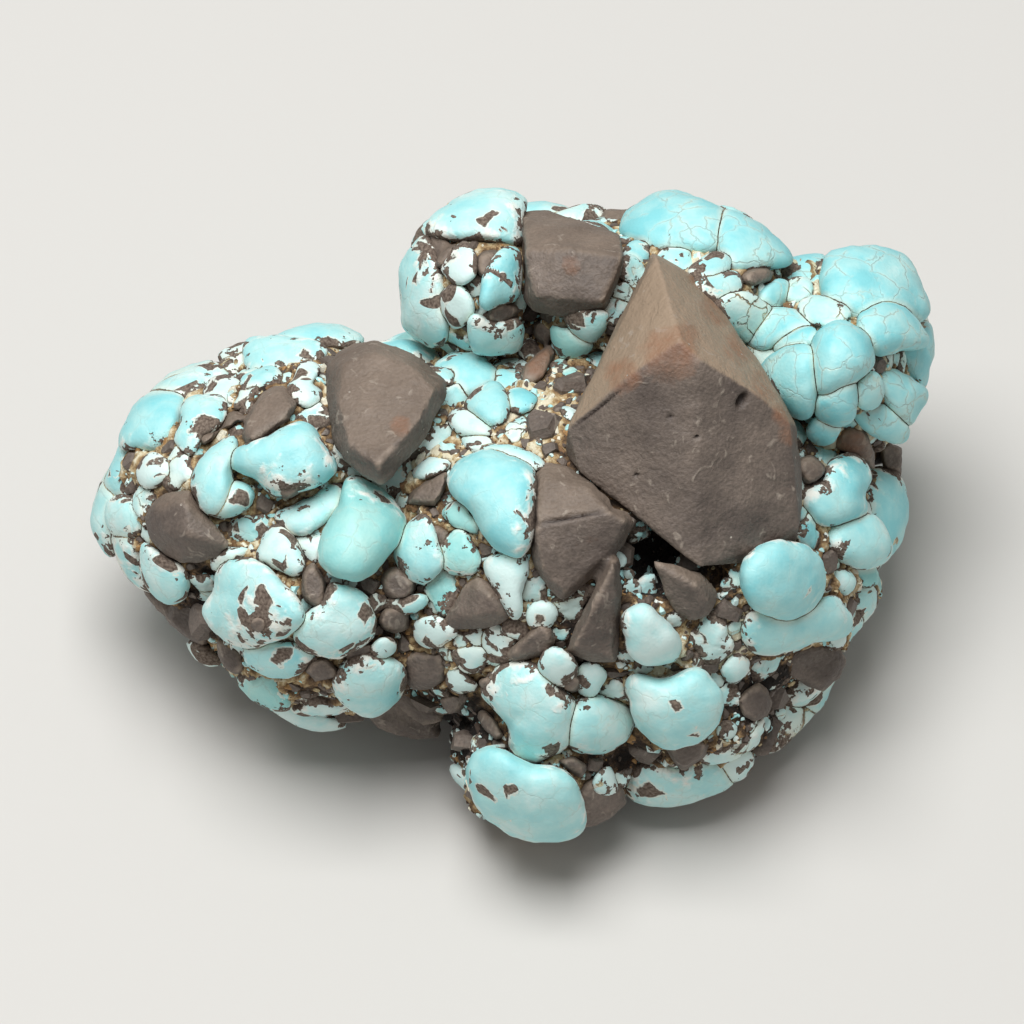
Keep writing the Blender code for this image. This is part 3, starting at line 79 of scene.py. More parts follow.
box_mm = [round(1000 * (high - low), 1) for low, high in zip(*CAD_BOX)]
print(len(frame["nodes"]), "packed solid:", box_mm, "mm")

# %% [markdown]
# ## The drawing plane
#
# The stone's show face leans back from the horizontal, so its forms are drawn on a leaning plane: x runs
# across the stone, y up the face and z out of it. Sizes are in millimetres until a mesh is made, because the
# forms are a few millimetres across. Points are moved with 4 x 4 matrices, and one helper does it for arrays.

# %% Frame of the show face
MM = 0.001
FACE_LEAN = math.radians(35.0)
FACE_CENTRE = (-0.05, -2.4, 24.0)  # over the middle of the resting face
FACE = Matrix.Translation(Vector(FACE_CENTRE)) @ Matrix.Rotation(FACE_LEAN, 4, "X")
FACE_INVERSE = FACE.inverted()
FACE_OUT = (FACE.to_3x3() @ Vector((0.0, 0.0, 1.0))).normalized()
FACE_UP = (FACE.to_3x3() @ Vector((0.0, 1.0, 0.0))).normalized()
NOISE_FADE, NOISE_STEP = 0.8, 2.1  # how fast the finer lumps fade, and how much finer each octave is


def moved(matrix, points):
    """An array of points, moved by a 4 x 4 matrix."""
    rows = np.array(matrix)
    return points @ rows[:3, :3].T + rows[:3, 3]


def lumps(points, spacing, shift, octaves):
    """Smooth noise, about -1 to 1, at each point. spacing is the lumps' size in mm, shift picks the field."""
    places = (points / spacing + shift).tolist()
    return np.array([noise.fractal(place, NOISE_FADE, NOISE_STEP, octaves) for place in places])


def eased(values, low, high):
    """0 at low, 1 at high, with a smooth turn at both ends."""
    share = np.clip((values - low) / (high - low), 0.0, 1.0)
    return share * share * (3.0 - 2.0 * share)


print("show face looks along", [round(part, 2) for part in FACE_OUT])

# %% [markdown]
# ## Camera, light and floor
#
# The stone is looked at square to its show face from a metre away, with a long lens that flattens
# perspective, as is usual for a specimen. A broad soft lamp overhead lights every upper slope and leaves the
# lower ones in shade, and a pale surround fills the crevices a little. The camera comes first, because every
# later choice is judged through it.

# %% Camera
VIEW_DISTANCE = 1.0
PICTURE_PLANE = 0.008  # the plane of the face frame that the framing is measured on
PICTURE_WIDTH = 0.1024
SENSOR = 36.0

camera_data = bpy.data.cameras.new("camera")
camera_data.sensor_width = SENSOR
camera_data.lens = SENSOR * VIEW_DISTANCE / PICTURE_WIDTH
camera_data.clip_end = 10.0
camera = bpy.data.objects.new("camera", camera_data)
face_in_metres = Matrix.Translation(Vector(FACE_CENTRE) * MM) @ Matrix.Rotation(FACE_LEAN, 4, "X")
camera.matrix_world = face_in_metres @ Matrix.Translation((0.0, 0.0, VIEW_DISTANCE + PICTURE_PLANE))
bpy.context.scene.collection.objects.link(camera)
bpy.context.scene.camera = camera
print("lens", round(camera_data.lens), "mm")

# %% Soft overhead lamp
LAMP_SIZE = 0.36
LAMP_POWER = 4.6
LAMP_PLACE = Vector((-0.08, 0.0, 0.64))  # it shines at the stone from here

lamp_data = bpy.data.lights.new("overhead_softbox", "AREA")
lamp_data.size = LAMP_SIZE
lamp_data.energy = LAMP_POWER
lamp = bpy.data.objects.new("overhead_softbox", lamp_data)
lamp.matrix_world = Matrix.Translation(LAMP_PLACE) @ LAMP_PLACE.to_track_quat("Z", "Y").to_matrix().to_4x4()
bpy.context.scene.collection.objects.link(lamp)
print("lamp", LAMP_POWER, "W")

# %% [markdown]
# ## Colours and nodes
#
# Colours are written as sRGB hex values, as a paint chart gives them, and turned linear for the shader. One
# function adds a node to a tree with its settings and links, for materials and geometry alike.

# %% Colour and node helpers


def linear(hex_colour):
    """An sRGB hex colour as the linear RGBA that shaders take."""
    channels = [int(hex_colour[i : i + 2], 16) / 255.0 for i in (1, 3, 5)]
    return (*[c / 12.92 if c <= 0.04045 else ((c + 0.055) / 1.055) ** 2.4 for c in channels], 1.0)


def feed(node, inputs):
    """Gives sockets a value or links them to an output. A node stands for the first output it has in use."""
    for key, value in inputs.items():
        if isinstance(value, bpy.types.Node):
            value = next(output for output in value.outputs if output.enabled)
        if isinstance(value, bpy.types.NodeSocket):
            node.id_data.links.new(value, node.inputs[key])
        else:
            node.inputs[key].default_value = value


def add(tree, kind, inputs=None, stops=None, **settings):
    """Adds a node with its settings and links. stops are the (place, hex colour) pairs of a colour ramp."""
    made = tree.nodes.new(kind)
    for key, value in settings.items():
        setattr(made, key, value)
    feed(made, inputs or {})
    if stops:
        while len(made.color_ramp.elements) < len(stops):
            made.color_ramp.elements.new(1.0)
        for element, (place, hex_colour) in zip(made.color_ramp.elements, stops):
            element.position = place
            element.color = linear(hex_colour)
    return made


def new_material(name):
    """A material with an empty Principled shader: (material, tree, shader)."""
    material = bpy.data.materials.new(name)
    material.use_nodes = True
    return material, material.node_tree, material.node_tree.nodes["Principled BSDF"]


print("node helpers ready")

# %% Pale surround, and a floor of matt pale paper, which gives the eye soft shadows and no shine
SURROUND_STRENGTH = 0.32
FLOOR_HALF = 1.5
FLOOR_LEVEL = -0.0002  # a hair below the resting face

world = bpy.data.worlds.new("pale_surround")
world.use_nodes = True
feed(world.node_tree.nodes["Background"], {"Color": linear("#F4F4F2"), "Strength": SURROUND_STRENGTH})
bpy.context.scene.world = world
bpy.context.scene.view_settings.view_transform = "Standard"

paper, tree, shader = new_material("matt_pale_paper")
feed(shader, {"Base Color": linear("#CFCDC9"), "Roughness": 0.9})
floor_mesh = bpy.data.meshes.new("floor")
signs = ((-1, -1), (1, -1), (1, 1), (-1, 1))
floor_mesh.from_pydata([(x * FLOOR_HALF, y * FLOOR_HALF, FLOOR_LEVEL) for x, y in signs], [], [(0, 1, 2, 3)])
floor_mesh.materials.append(paper)
floor = bpy.data.objects.new("floor", floor_mesh)
bpy.context.scene.collection.objects.link(floor)
print("floor and surround made")

# %% [markdown]
# ## The groundmass
#
# The groundmass is the rock mass that everything sits in. Overlapping swellings give its bulk, as clay balls
# pressed together would, and every nodule and clast is seated on their height and lean. Ellipsoids are chosen
# because their height at any point is one formula.

# %% Swellings of the groundmass, as (centre), (radii along x, y and z)
SWELLINGS = [
    ((-27.0, 1.0, -5.0), (12.5, 12.5, 15.0)),  # left lobe
    ((-18.0, -6.5, -3.0), (14.2, 13.4, 16.0)),
    ((-21.0, 5.0, -5.0), (12.0, 11.0, 16.0)),
    ((-11.0, 8.0, -2.0), (10.0, 7.5, 13.0)),
    ((8.0, -3.0, -8.0), (29.0, 21.0, 26.0)),  # the stone's middle
    ((3.6, -23.6, -3.0), (9.4, 8.2, 11.0)),  # lower lip
    ((17.0, -17.6, -6.0), (10.6, 9.8, 15.0)),
    ((32.2, 14.6, -6.0), (8.4, 9.6, 15.0)),  # right shoulder
    ((-3.0, 22.5, -7.0), (6.8, 8.4, 15.0)),  # upper lobes
    ((9.0, 21.0, -8.0), (9.0, 7.5, 16.0)),
    ((19.0, 22.0, -8.0), (9.5, 7.5, 15.0)),
    ((8.0, 4.0, -16.0), (27.0, 17.0, 20.0)),  # back
]


GROUND_FALL = 4.0  # how steeply a swelling's height goes on falling outside its own outline


def groundmass_height(x, y):
    """How far the groundmass stands out of the face at (x, y)."""
    heights = []
    for (cx, cy, cz), (rx, ry, rz) in SWELLINGS:
        inside = 1.0 - ((x - cx) / rx) ** 2 - ((y - cy) / ry) ** 2
        heights.append(cz + rz * math.sqrt(inside) if inside > 0 else cz + GROUND_FALL * inside)
    return max(heights)


print(len(SWELLINGS), "swellings, the middle stands", round(groundmass_height(8.0, -3.0), 1), "mm out")

# %% Seats on the groundmass
SEAT_SPAN = 0.7  # a piece takes its lean from this share of its reach to either side
STEEPEST_SEAT = 0.85


def face_seat(x, y, sit, reach):
    """A matrix that sets a piece down at (x, y) of the show face, leaning as the groundmass does there."""
    step = SEAT_SPAN * reach
    slopes = []
    for dx, dy in ((step, 0.0), (0.0, step)):
        rise = groundmass_height(x + dx, y + dy) - groundmass_height(x - dx, y - dy)
        slopes.append(rise / (2 * step))
    steep = math.hypot(*slopes)
    ease = min(1.0, STEEPEST_SEAT / steep) if steep > 0 else 1.0
    slope_x, slope_y = slopes[0] * ease, slopes[1] * ease
    level = groundmass_height(x, y) + sit
    return FACE @ Matrix(((1, 0, 0, x), (0, 1, 0, y), (slope_x, slope_y, 1, level), (0, 0, 0, 1)))


def spot_seat(spot, normal):
    """A matrix that sets a piece down on a spot of the stone, square to the surface there."""
    return Matrix.Translation(spot) @ normal.to_track_quat("Z", "Y").to_matrix().to_4x4()


shoulder = face_seat(37.0, 22.0, 0.0, 4.0).translation
print("a seat near the right shoulder:", [round(part, 1) for part in shoulder], "mm")

# %% [markdown]
# ## The turquoise nodules
#
# Each nodule is a dome over a drawn outline: rings of points climb from the outline to the crown, and a root
# goes down into the groundmass, so that the shell is closed. The outline is roughened with noise, because real
# rims are torn where they meet the cement. The kind says how the nodule is coloured.
# %% Nodules of the show face, as (kind, crown height or None, sit or None, outline)
NODULES = [
    # left lobe
    ("pale", 3.0, 0.0, [(-37.1, 11.5), (-35.6, 12.9), (-33.4, 14.4), (-31.0, 15.2), (-29.3, 15.9),
        (-30.9, 14.1), (-31.2, 12.2), (-32.4, 11.3), (-34.6, 11.7)]),
    ("blue", 4.5, 0.8, [(-39.7, 6.5), (-39.1, 8.2), (-38.2, 10.0), (-37.0, 11.6), (-35.4, 12.2),
        (-34.0, 12.1), (-33.0, 11.1), (-33.4, 9.2), (-34.4, 7.2), (-35.8, 6.3), (-37.7, 6.5)]),
    ("pale", 2.4, None, [(-33.0, 10.4), (-32.2, 11.4), (-30.8, 11.3), (-29.4, 11.4), (-28.8, 9.8),
        (-30.0, 8.2), (-31.2, 7.5), (-31.4, 5.7), (-33.0, 6.5), (-33.7, 7.8), (-32.8, 8.8)]),
    ("white", 1.8, None, [(-30.8, 12.4), (-29.8, 13.4), (-27.8, 13.2), (-27.0, 12.1), (-27.0, 10.8),
        (-28.1, 10.2), (-29.2, 10.8), (-30.6, 11.4)]),
    ("white", 1.6, None, [(-29.6, 16.0), (-27.4, 16.8), (-25.9, 17.3), (-26.0, 15.1), (-26.8, 13.8),
        (-28.0, 14.2)]),
    ("pale", 2.4, 0.8, [(-27.0, 17.1), (-25.0, 17.6), (-22.2, 17.4), (-20.0, 17.2), (-18.7, 16.2),
        (-19.2, 15.2), (-21.2, 14.8), (-23.4, 13.8), (-24.4, 12.4), (-25.6, 11.8), (-26.2, 13.1)]),
    ("pale", 3.0, 0.3, [(-25.4, 17.2), (-23.2, 18.0), (-20.8, 18.7), (-18.0, 19.0), (-16.0, 18.2),
        (-14.4, 17.2), (-15.4, 16.9), (-17.7, 16.6), (-20.7, 16.9), (-23.2, 16.6)]),
    ("white", 1.8, 0.8, [(-21.0, 14.7), (-19.8, 14.8), (-19.2, 14.1), (-20.2, 12.8), (-19.1, 12.2),
        (-19.6, 11.1), (-21.0, 10.8), (-22.4, 12.1), (-21.6, 13.4)]),
    ("blue", 3.2, 1.2, [(-40.2, 5.0), (-39.6, 7.1), (-38.0, 6.7), (-37.8, 4.2), (-38.2, 2.0), (-39.0, 1.2),
        (-40.8, 2.2), (-41.1, 3.3)]),
    ("pale", 4.0, -0.5, [(-42.4, -1.6), (-42.2, 0.6), (-41.6, 2.8), (-40.2, 5.2), (-39.4, 3.9), (-40.0, 1.9),
        (-39.8, -0.6), (-40.1, -3.0), (-39.6, -5.9), (-40.6, -4.8)]),
    ("pale", 2.6, 0.6, [(-40.6, 0.7), (-39.6, 1.4), (-38.4, 1.2), (-36.8, 0.1), (-37.2, -1.8), (-38.4, -2.8),
        (-40.0, -2.1), (-40.8, -0.8)]),
    ("white", 1.8, None, [(-37.4, 4.5), (-36.4, 5.5), (-35.0, 5.2), (-34.3, 4.2), (-35.4, 3.0), (-36.6, 2.6),
        (-37.5, 3.5)]),
    ("pale", 3.6, 0.8, [(-31.7, 3.2), (-31.2, 4.8), (-30.2, 6.0), (-28.8, 7.0), (-27.6, 7.7), (-27.2, 6.8),
        (-28.2, 4.8), (-28.2, 2.9), (-28.2, 1.2), (-29.0, -0.1), (-30.6, 0.1), (-31.5, 1.6)]),
    ("pale", 2.8, 0.8, [(-29.6, 1.2), (-28.2, 2.5), (-26.8, 2.5), (-25.9, 1.6), (-26.4, 0.7), (-27.8, -0.1),
        (-29.4, -0.4), (-30.2, 0.4)]),
    ("blue", 4.2, 1.4, [(-28.2, 4.7), (-27.8, 5.8), (-25.7, 6.8), (-23.6, 7.5), (-21.4, 8.8), (-19.8, 8.1),
        (-18.7, 6.0), (-17.5, 4.8), (-18.4, 3.5), (-20.2, 2.5), (-23.4, 1.9), (-25.4, 3.6)]),
    ("pale", 2.2, 0.3, [(-23.6, 0.2), (-21.7, 0.4), (-19.7, 1.4), (-18.2, 2.9), (-16.7, 2.2), (-17.4, 0.7),
        (-19.0, -1.1), (-20.6, -2.0), (-22.6, -1.4)]),
    ("green", 5.2, 1.8, [(-17.2, 4.2), (-15.8, 3.4), (-13.6, 2.4), (-12.4, 1.4), (-11.2, 0.1), (-10.9, -1.4),
        (-11.6, -3.0), (-12.8, -4.2), (-13.8, -5.8), (-15.4, -6.7), (-17.4, -6.2), (-19.0, -4.5),
        (-18.8, -2.5), (-17.6, -0.6), (-16.6, 1.6)]),
    ("pale", 3.2, 0.6, [(-37.3, -2.0), (-36.4, -3.5), (-34.6, -4.7), (-33.2, -5.5), (-32.6, -6.8),
        (-33.2, -8.7), (-34.6, -9.1), (-35.6, -8.5), (-36.8, -6.6), (-37.2, -4.0)]),
    ("white", 1.8, 0.6, [(-29.8, -5.3), (-29.4, -4.3), (-28.0, -3.8), (-26.3, -3.7), (-26.8, -4.5),
        (-28.6, -5.2), (-29.2, -6.0)]),
    ("pale", 4.0, 1.0, [(-29.4, -6.2), (-28.2, -5.3), (-25.6, -5.0), (-23.8, -6.3), (-22.4, -7.9),
        (-21.0, -9.3), (-21.1, -11.2), (-22.8, -12.2), (-25.4, -13.2), (-27.8, -12.9), (-29.8, -11.6),
        (-30.8, -9.8), (-29.6, -8.2)]),
    ("white", 2.2, 0.4, [(-25.2, -4.5), (-24.2, -2.1), (-23.2, -1.6), (-21.8, -3.0), (-20.8, -5.3),
        (-21.8, -6.2), (-23.6, -5.2)]),
    ("pale", 3.4, 0.8, [(-18.4, -7.3), (-16.8, -7.4), (-15.0, -8.3), (-14.2, -9.8), (-13.9, -12.2),
        (-15.2, -13.2), (-17.4, -14.2), (-19.8, -13.8), (-21.4, -12.9), (-21.0, -10.9), (-19.6, -9.8),
        (-18.5, -8.9)]),
    ("blue", 2.2, 0.4, [(-26.7, -13.9), (-25.2, -13.4), (-22.2, -13.2), (-20.0, -13.9), (-20.8, -15.6),
        (-22.6, -16.4), (-24.8, -15.9), (-26.4, -14.9)]),
    ("green", 2.4, 0.0, [(-27.6, -16.7), (-26.5, -16.2), (-24.8, -15.6), (-23.0, -16.6), (-22.5, -19.3),
        (-23.8, -19.8), (-25.6, -18.8), (-27.0, -17.8)]),
    ("white", 2.6, -0.5, [(-24.4, -19.6), (-22.5, -19.3), (-20.4, -20.0), (-18.0, -20.8), (-16.4, -21.4),
        (-18.0, -22.0), (-20.6, -21.8), (-23.2, -20.6)]),
    ("pale", 3.8, 1.0, [(-17.4, -16.1), (-16.4, -14.9), (-14.4, -13.9), (-12.8, -14.8), (-11.4, -15.1),
        (-10.7, -16.4), (-11.2, -17.9), (-12.5, -19.6), (-14.4, -20.4), (-16.7, -19.1), (-17.7, -17.4)]),
    ("white", 1.2, 1.6, [(-13.8, -13.6), (-13.0, -12.8), (-12.0, -12.9), (-11.9, -13.8), (-12.8, -14.4),
        (-13.6, -14.3)]),
    ("white", 2.0, -0.6, [(-32.8, -13.4), (-31.4, -13.4), (-29.9, -14.6), (-29.6, -15.4), (-31.2, -15.0)]),
    # middle
    ("pale", 2.6, 0.8, [(-11.0, -2.8), (-9.8, -1.1), (-8.6, -0.6), (-7.8, -1.8), (-7.6, -3.3), (-7.0, -5.0),
        (-7.8, -6.0), (-9.2, -6.8), (-10.6, -6.0), (-11.4, -4.5)]),
    ("green", 1.6, 0.4, [(-7.0, -3.5), (-5.8, -2.1), (-4.8, -2.0), (-3.8, -3.5), (-3.4, -5.2), (-4.8, -6.0),
        (-6.4, -5.5)]),
    ("blue", 4.8, 1.6, [(-6.1, 3.5), (-5.2, 4.8), (-3.8, 5.5), (-2.0, 5.8), (0.0, 5.3), (1.8, 4.2),
        (2.2, 2.9), (2.0, 0.4), (1.9, -2.0), (1.4, -4.0), (-0.2, -4.2), (-2.0, -3.0), (-3.2, -1.1),
        (-4.2, 0.7), (-5.8, 1.6)]),
    ("pale", 2.0, 0.8, [(-3.4, 5.7), (-2.6, 6.5), (-0.6, 6.5), (1.8, 5.8), (3.3, 4.8), (2.8, 3.9),
        (1.2, 4.5), (-1.0, 5.2)]),
    ("white", 1.2, 0.4, [(-4.8, 7.2), (-3.8, 7.7), (-2.4, 7.2), (-1.8, 6.5), (-2.6, 6.2), (-4.0, 6.3)]),
    ("white", 2.2, 0.8, [(-2.6, -5.0), (-1.2, -4.5), (0.0, -4.2), (1.2, -4.2), (1.3, -6.0), (0.7, -7.9),
        (0.8, -9.9), (0.2, -10.8), (-0.8, -8.9), (-1.8, -7.2)]),
    ("green", 1.4, 0.5, [(-6.7, -0.2), (-6.2, 0.6), (-5.2, 0.8), (-4.4, -0.4), (-3.4, -1.4), (-3.6, -2.2),
        (-4.8, -1.5), (-6.0, -1.1)]),
    ("blue", 2.8, 0.8, [(-7.9, 14.6), (-6.4, 15.6), (-5.0, 15.8), (-3.4, 15.6), (-2.0, 14.4), (-1.4, 13.4),
        (-2.8, 12.2), (-4.6, 11.7), (-6.0, 12.2), (-7.0, 13.7)]),
    ("blue", 2.4, 0.8, [(-4.6, 10.8), (-3.6, 11.7), (-2.0, 12.7), (-1.0, 11.8), (-0.5, 10.4), (-1.0, 9.1),
        (-2.2, 8.8), (-3.6, 9.8)]),
    ("blue", 1.4, 0.4, [(-0.4, 11.2), (0.4, 12.1), (1.6, 11.9), (2.2, 11.2), (1.4, 10.2), (0.2, 10.2)]),
    ("white", 1.8, 0.5, [(-6.3, 9.2), (-5.4, 10.1), (-4.0, 9.8), (-2.8, 8.8), (-1.9, 7.8), (-3.2, 7.7),
        (-5.4, 8.1)]),
    ("white", 1.2, 0.6, [(-9.6, 4.0), (-8.4, 5.0), (-7.0, 5.0), (-6.2, 4.7), (-7.6, 3.9), (-9.0, 3.5)]),
    ("white", 1.6, 0.4, [(-9.4, -11.2), (-8.2, -10.7), (-7.0, -10.8), (-5.6, -11.9), (-6.8, -12.9),
        (-8.4, -13.3), (-9.4, -12.6)]),
    ("pale", 1.4, 1.5, [(-12.7, -8.8), (-10.8, -8.7), (-9.0, -8.3), (-8.6, -9.3), (-10.2, -9.8),
        (-12.2, -9.8)]),
    # upper left lobe
    ("pale", 4.6, 0.6, [(-8.9, 28.3), (-7.4, 29.8), (-5.4, 31.2), (-3.4, 32.1), (-1.2, 32.4), (0.6, 31.9),
        (1.6, 31.1), (0.8, 29.6), (0.7, 26.9), (-1.0, 27.1), (-3.4, 27.4), (-5.8, 27.4)]),
    ("pale", 4.4, 0.4, [(-11.1, 22.6), (-11.0, 24.8), (-9.8, 26.8), (-8.5, 28.4), (-7.8, 26.4), (-7.2, 24.9),
        (-6.9, 22.6), (-6.6, 20.6), (-6.5, 17.9), (-7.4, 16.4), (-8.8, 17.2), (-11.0, 19.1), (-10.9, 20.0)]),
    ("white", 1.8, 1.5, [(-6.6, 24.4), (-6.0, 25.9), (-4.8, 26.9), (-4.0, 25.9), (-3.8, 24.2), (-4.4, 23.1),
        (-5.6, 23.1)]),
    ("white", 1.8, 0.8, [(-6.7, 21.6), (-5.6, 22.6), (-4.6, 21.9), (-4.0, 20.4), (-4.4, 19.4), (-5.8, 18.8),
        (-6.6, 20.1)]),
    ("blue", 2.6, 2.0, [(-2.4, 24.1), (-1.6, 25.4), (-0.6, 26.2), (0.5, 26.1), (0.7, 23.9), (0.5, 21.6),
        (-1.0, 21.1), (-2.4, 20.1), (-3.1, 20.6), (-2.8, 22.4)]),
    ("pale", 2.2, 2.0, [(-4.0, 19.6), (-2.8, 19.4), (-1.6, 18.8), (0.4, 19.2), (0.9, 17.9), (0.6, 16.2),
        (-1.2, 16.1), (-3.8, 16.4)]),
    ("pale", 1.2, 1.8, [(0.6, 17.2), (1.6, 17.8), (2.6, 16.4), (1.8, 15.6), (0.8, 15.9)]),
    ("pale", 1.8, 2.1, [(5.3, 19.4), (6.2, 20.6), (7.4, 20.1), (9.0, 19.9), (9.4, 19.1), (8.4, 17.4),
        (7.0, 17.6)]),
    ("green", 1.6, 1.9, [(4.0, 18.6), (5.2, 18.1), (6.8, 17.9), (8.0, 16.6), (6.6, 15.7), (5.2, 15.8),
        (4.4, 17.1)]),
    ("pale", 3.2, -0.4, [(0.9, 31.3), (3.2, 31.5), (5.2, 30.9), (7.2, 30.3), (9.8, 30.3), (8.7, 29.4),
        (6.2, 29.2), (3.2, 29.9), (0.8, 30.1)]),
    ("pale", 1.8, 1.4, [(7.4, 28.9), (9.0, 29.6), (11.2, 29.4), (12.2, 28.6), (10.6, 28.1), (8.6, 28.1)]),
    ("lobe", 5.4, 1.2, [(11.2, 29.6), (13.1, 31.3), (15.4, 32.1), (17.8, 31.9), (20.2, 30.9), (21.7, 29.7),
        (21.3, 28.4), (21.1, 26.6), (19.4, 25.8), (17.2, 26.2), (14.2, 26.1), (12.0, 27.2), (10.8, 28.4)]),
    ("lobe", 4.0, 0.2, [(21.4, 30.2), (23.8, 29.5), (26.0, 27.9), (28.0, 26.0), (28.4, 25.3), (26.8, 24.8),
        (24.4, 24.4), (22.4, 24.2), (21.2, 25.6), (20.8, 28.1)]),
    ("blue", 1.4, 0.6, [(11.4, 26.2), (12.4, 26.9), (13.4, 26.6), (13.4, 25.4), (12.4, 24.8), (11.7, 25.4)]),
    ("pale", 1.6, 0.6, [(17.8, 24.2), (19.2, 25.2), (21.0, 25.8), (21.6, 24.6), (20.4, 23.6), (18.8, 23.4)]),
    ("pale", 2.0, 0.6, [(18.0, 23.1), (20.0, 23.4), (22.0, 23.9), (22.9, 23.2), (22.4, 21.9), (20.6, 20.9),
        (19.2, 21.4)]),
    ("cream", 2.2, 1.4, [(20.2, 20.6), (21.6, 21.4), (23.6, 21.6), (25.4, 20.6), (25.8, 19.6), (24.6, 18.2),
        (23.4, 17.4), (21.8, 18.6)]),
    # right shoulder
    ("lobe", 2.8, 1.8, [(26.5, 24.9), (28.8, 25.7), (31.2, 26.1), (31.7, 25.8), (30.8, 23.2), (29.2, 23.1),
        (27.4, 23.2)]),
    ("lobe", 2.2, 1.2, [(25.0, 21.4), (25.7, 22.6), (27.0, 23.2), (28.0, 22.4), (27.4, 21.1), (26.2, 20.2)]),
    ("cream", 1.8, 1.2, [(27.6, 21.6), (28.2, 23.1), (29.6, 23.2), (30.0, 22.1), (29.0, 21.2)]),
    ("lobe", 6.4, 2.4, [(31.2, 23.6), (32.2, 25.8), (34.8, 26.5), (37.2, 26.6), (39.4, 25.8), (41.0, 23.6),
        (41.8, 21.2), (42.2, 19.6), (40.5, 19.2), (37.6, 19.6), (35.4, 18.9), (33.0, 19.6), (31.4, 21.4)]),
    ("lobe", 4.6, 2.2, [(34.6, 18.9), (36.0, 20.1), (38.4, 20.6), (40.8, 19.0), (41.7, 16.8), (38.8, 16.4),
        (36.8, 15.8), (35.4, 16.9)]),
    ("lobe", 4.6, 1.0, [(38.8, 17.6), (42.0, 19.2), (42.6, 17.8), (42.6, 16.2), (42.2, 14.4), (41.6, 12.4),
        (40.5, 12.7), (38.4, 15.1), (38.2, 16.4)]),
    ("lobe", 3.2, 1.2, [(23.8, 17.9), (24.6, 19.2), (26.2, 20.2), (28.0, 20.1), (29.8, 19.2), (30.4, 18.2),
        (28.6, 17.9), (26.4, 16.9), (24.8, 16.4)]),
    ("lobe", 2.0, 1.2, [(26.4, 16.6), (27.4, 17.6), (29.0, 18.4), (30.4, 18.1), (29.8, 16.9), (27.8, 16.1)]),
    ("cream", 2.0, 2.1, [(23.7, 17.1), (25.0, 17.1), (26.6, 16.2), (25.8, 14.7), (24.7, 13.8),
        (24.0, 15.2)]),
    ("lobe", 4.4, 2.4, [(24.6, 12.8), (25.2, 14.2), (26.6, 15.7), (28.2, 16.4), (29.9, 16.2), (30.1, 14.2),
        (30.2, 11.7), (29.6, 9.8), (28.2, 9.7), (26.4, 10.8), (25.0, 11.7)]),
    ("lobe", 4.6, 2.0, [(30.1, 16.6), (31.0, 18.2), (32.6, 18.9), (34.4, 18.1), (35.8, 16.2), (35.8, 14.8),
        (34.2, 13.2), (32.2, 12.1), (30.6, 11.7), (30.1, 14.1)]),
    ("lobe", 3.0, 2.4, [(30.4, 11.2), (31.8, 12.2), (33.8, 13.2), (34.1, 11.4), (33.7, 9.4), (32.2, 8.9),
        (30.8, 9.8)]),
    ("lobe", 1.8, 2.3, [(29.8, 8.1), (30.6, 9.2), (32.0, 9.1), (32.6, 8.1), (31.4, 7.0), (30.2, 7.2)]),
    ("lobe", 2.2, 1.9, [(34.4, 12.1), (35.0, 13.2), (36.2, 13.8), (36.9, 12.7), (36.6, 10.8), (35.2, 10.4)]),
    ("lobe", 3.0, 1.2, [(36.8, 13.2), (37.7, 14.3), (40.1, 13.1), (41.6, 12.0), (40.8, 10.0), (40.0, 8.8),
        (37.8, 10.9)]),
    ("lobe", 2.2, 1.0, [(34.2, 10.1), (35.8, 10.6), (37.7, 10.2), (39.8, 8.4), (39.6, 7.2), (37.7, 7.4),
        (35.6, 8.4)]),
    ("cream", 1.8, 0.8, [(29.0, 20.6), (30.2, 21.4), (32.4, 20.9), (33.8, 19.9), (32.8, 18.9), (31.0, 18.6),
        (29.4, 19.4)]),
    # right flank
    ("blue", 4.0, 1.0, [(31.2, 3.0), (32.0, 4.8), (33.4, 5.5), (35.0, 5.2), (35.8, 3.5), (35.2, 1.6),
        (35.6, 0.2), (34.2, -0.6), (32.4, -1.1), (30.6, -1.0), (29.6, 0.2), (28.8, 1.9), (30.0, 2.9)]),
    ("blue", 4.6, 0.6, [(35.4, 2.6), (36.4, 4.2), (38.8, 4.0), (39.8, 2.4), (40.0, 0.2), (39.6, -2.2),
        (38.8, -3.8), (37.8, -4.6), (37.1, -4.3), (36.3, -2.1), (35.4, 0.2)]),
    ("pale", 4.0, 0.8, [(31.3, -2.8), (32.4, -1.1), (34.4, -0.6), (36.2, -0.6), (38.2, -3.4), (37.4, -5.0),
        (35.7, -5.5), (32.8, -4.5)]),
    ("blue", 5.0, 2.7, [(22.9, -6.8), (23.3, -4.8), (25.0, -3.5), (27.2, -3.0), (29.4, -3.7), (30.7, -5.2),
        (31.0, -6.8), (30.4, -8.6), (28.8, -10.2), (27.0, -10.3), (24.8, -9.8), (23.4, -8.6)]),
    ("pale", 4.0, 1.0, [(23.0, -12.2), (23.8, -9.8), (26.2, -9.9), (28.6, -10.3), (30.6, -8.9), (32.0, -8.3),
        (33.7, -10.5), (33.8, -12.4), (30.2, -12.8), (27.4, -13.9), (24.8, -14.2), (23.5, -13.2)]),
    ("pale", 1.4, 0.2, [(32.0, -6.5), (33.0, -6.0), (34.3, -6.9), (33.6, -8.1), (32.6, -7.6)]),
    ("green", 1.6, 0.2, [(33.8, -5.0), (35.3, -4.8), (36.7, -5.6), (36.6, -7.0), (35.1, -7.0)]),
    ("pale", 2.0, -0.2, [(32.7, -10.9), (33.9, -10.0), (35.4, -10.8), (34.6, -12.2), (33.4, -13.4),
        (32.6, -12.1)]),
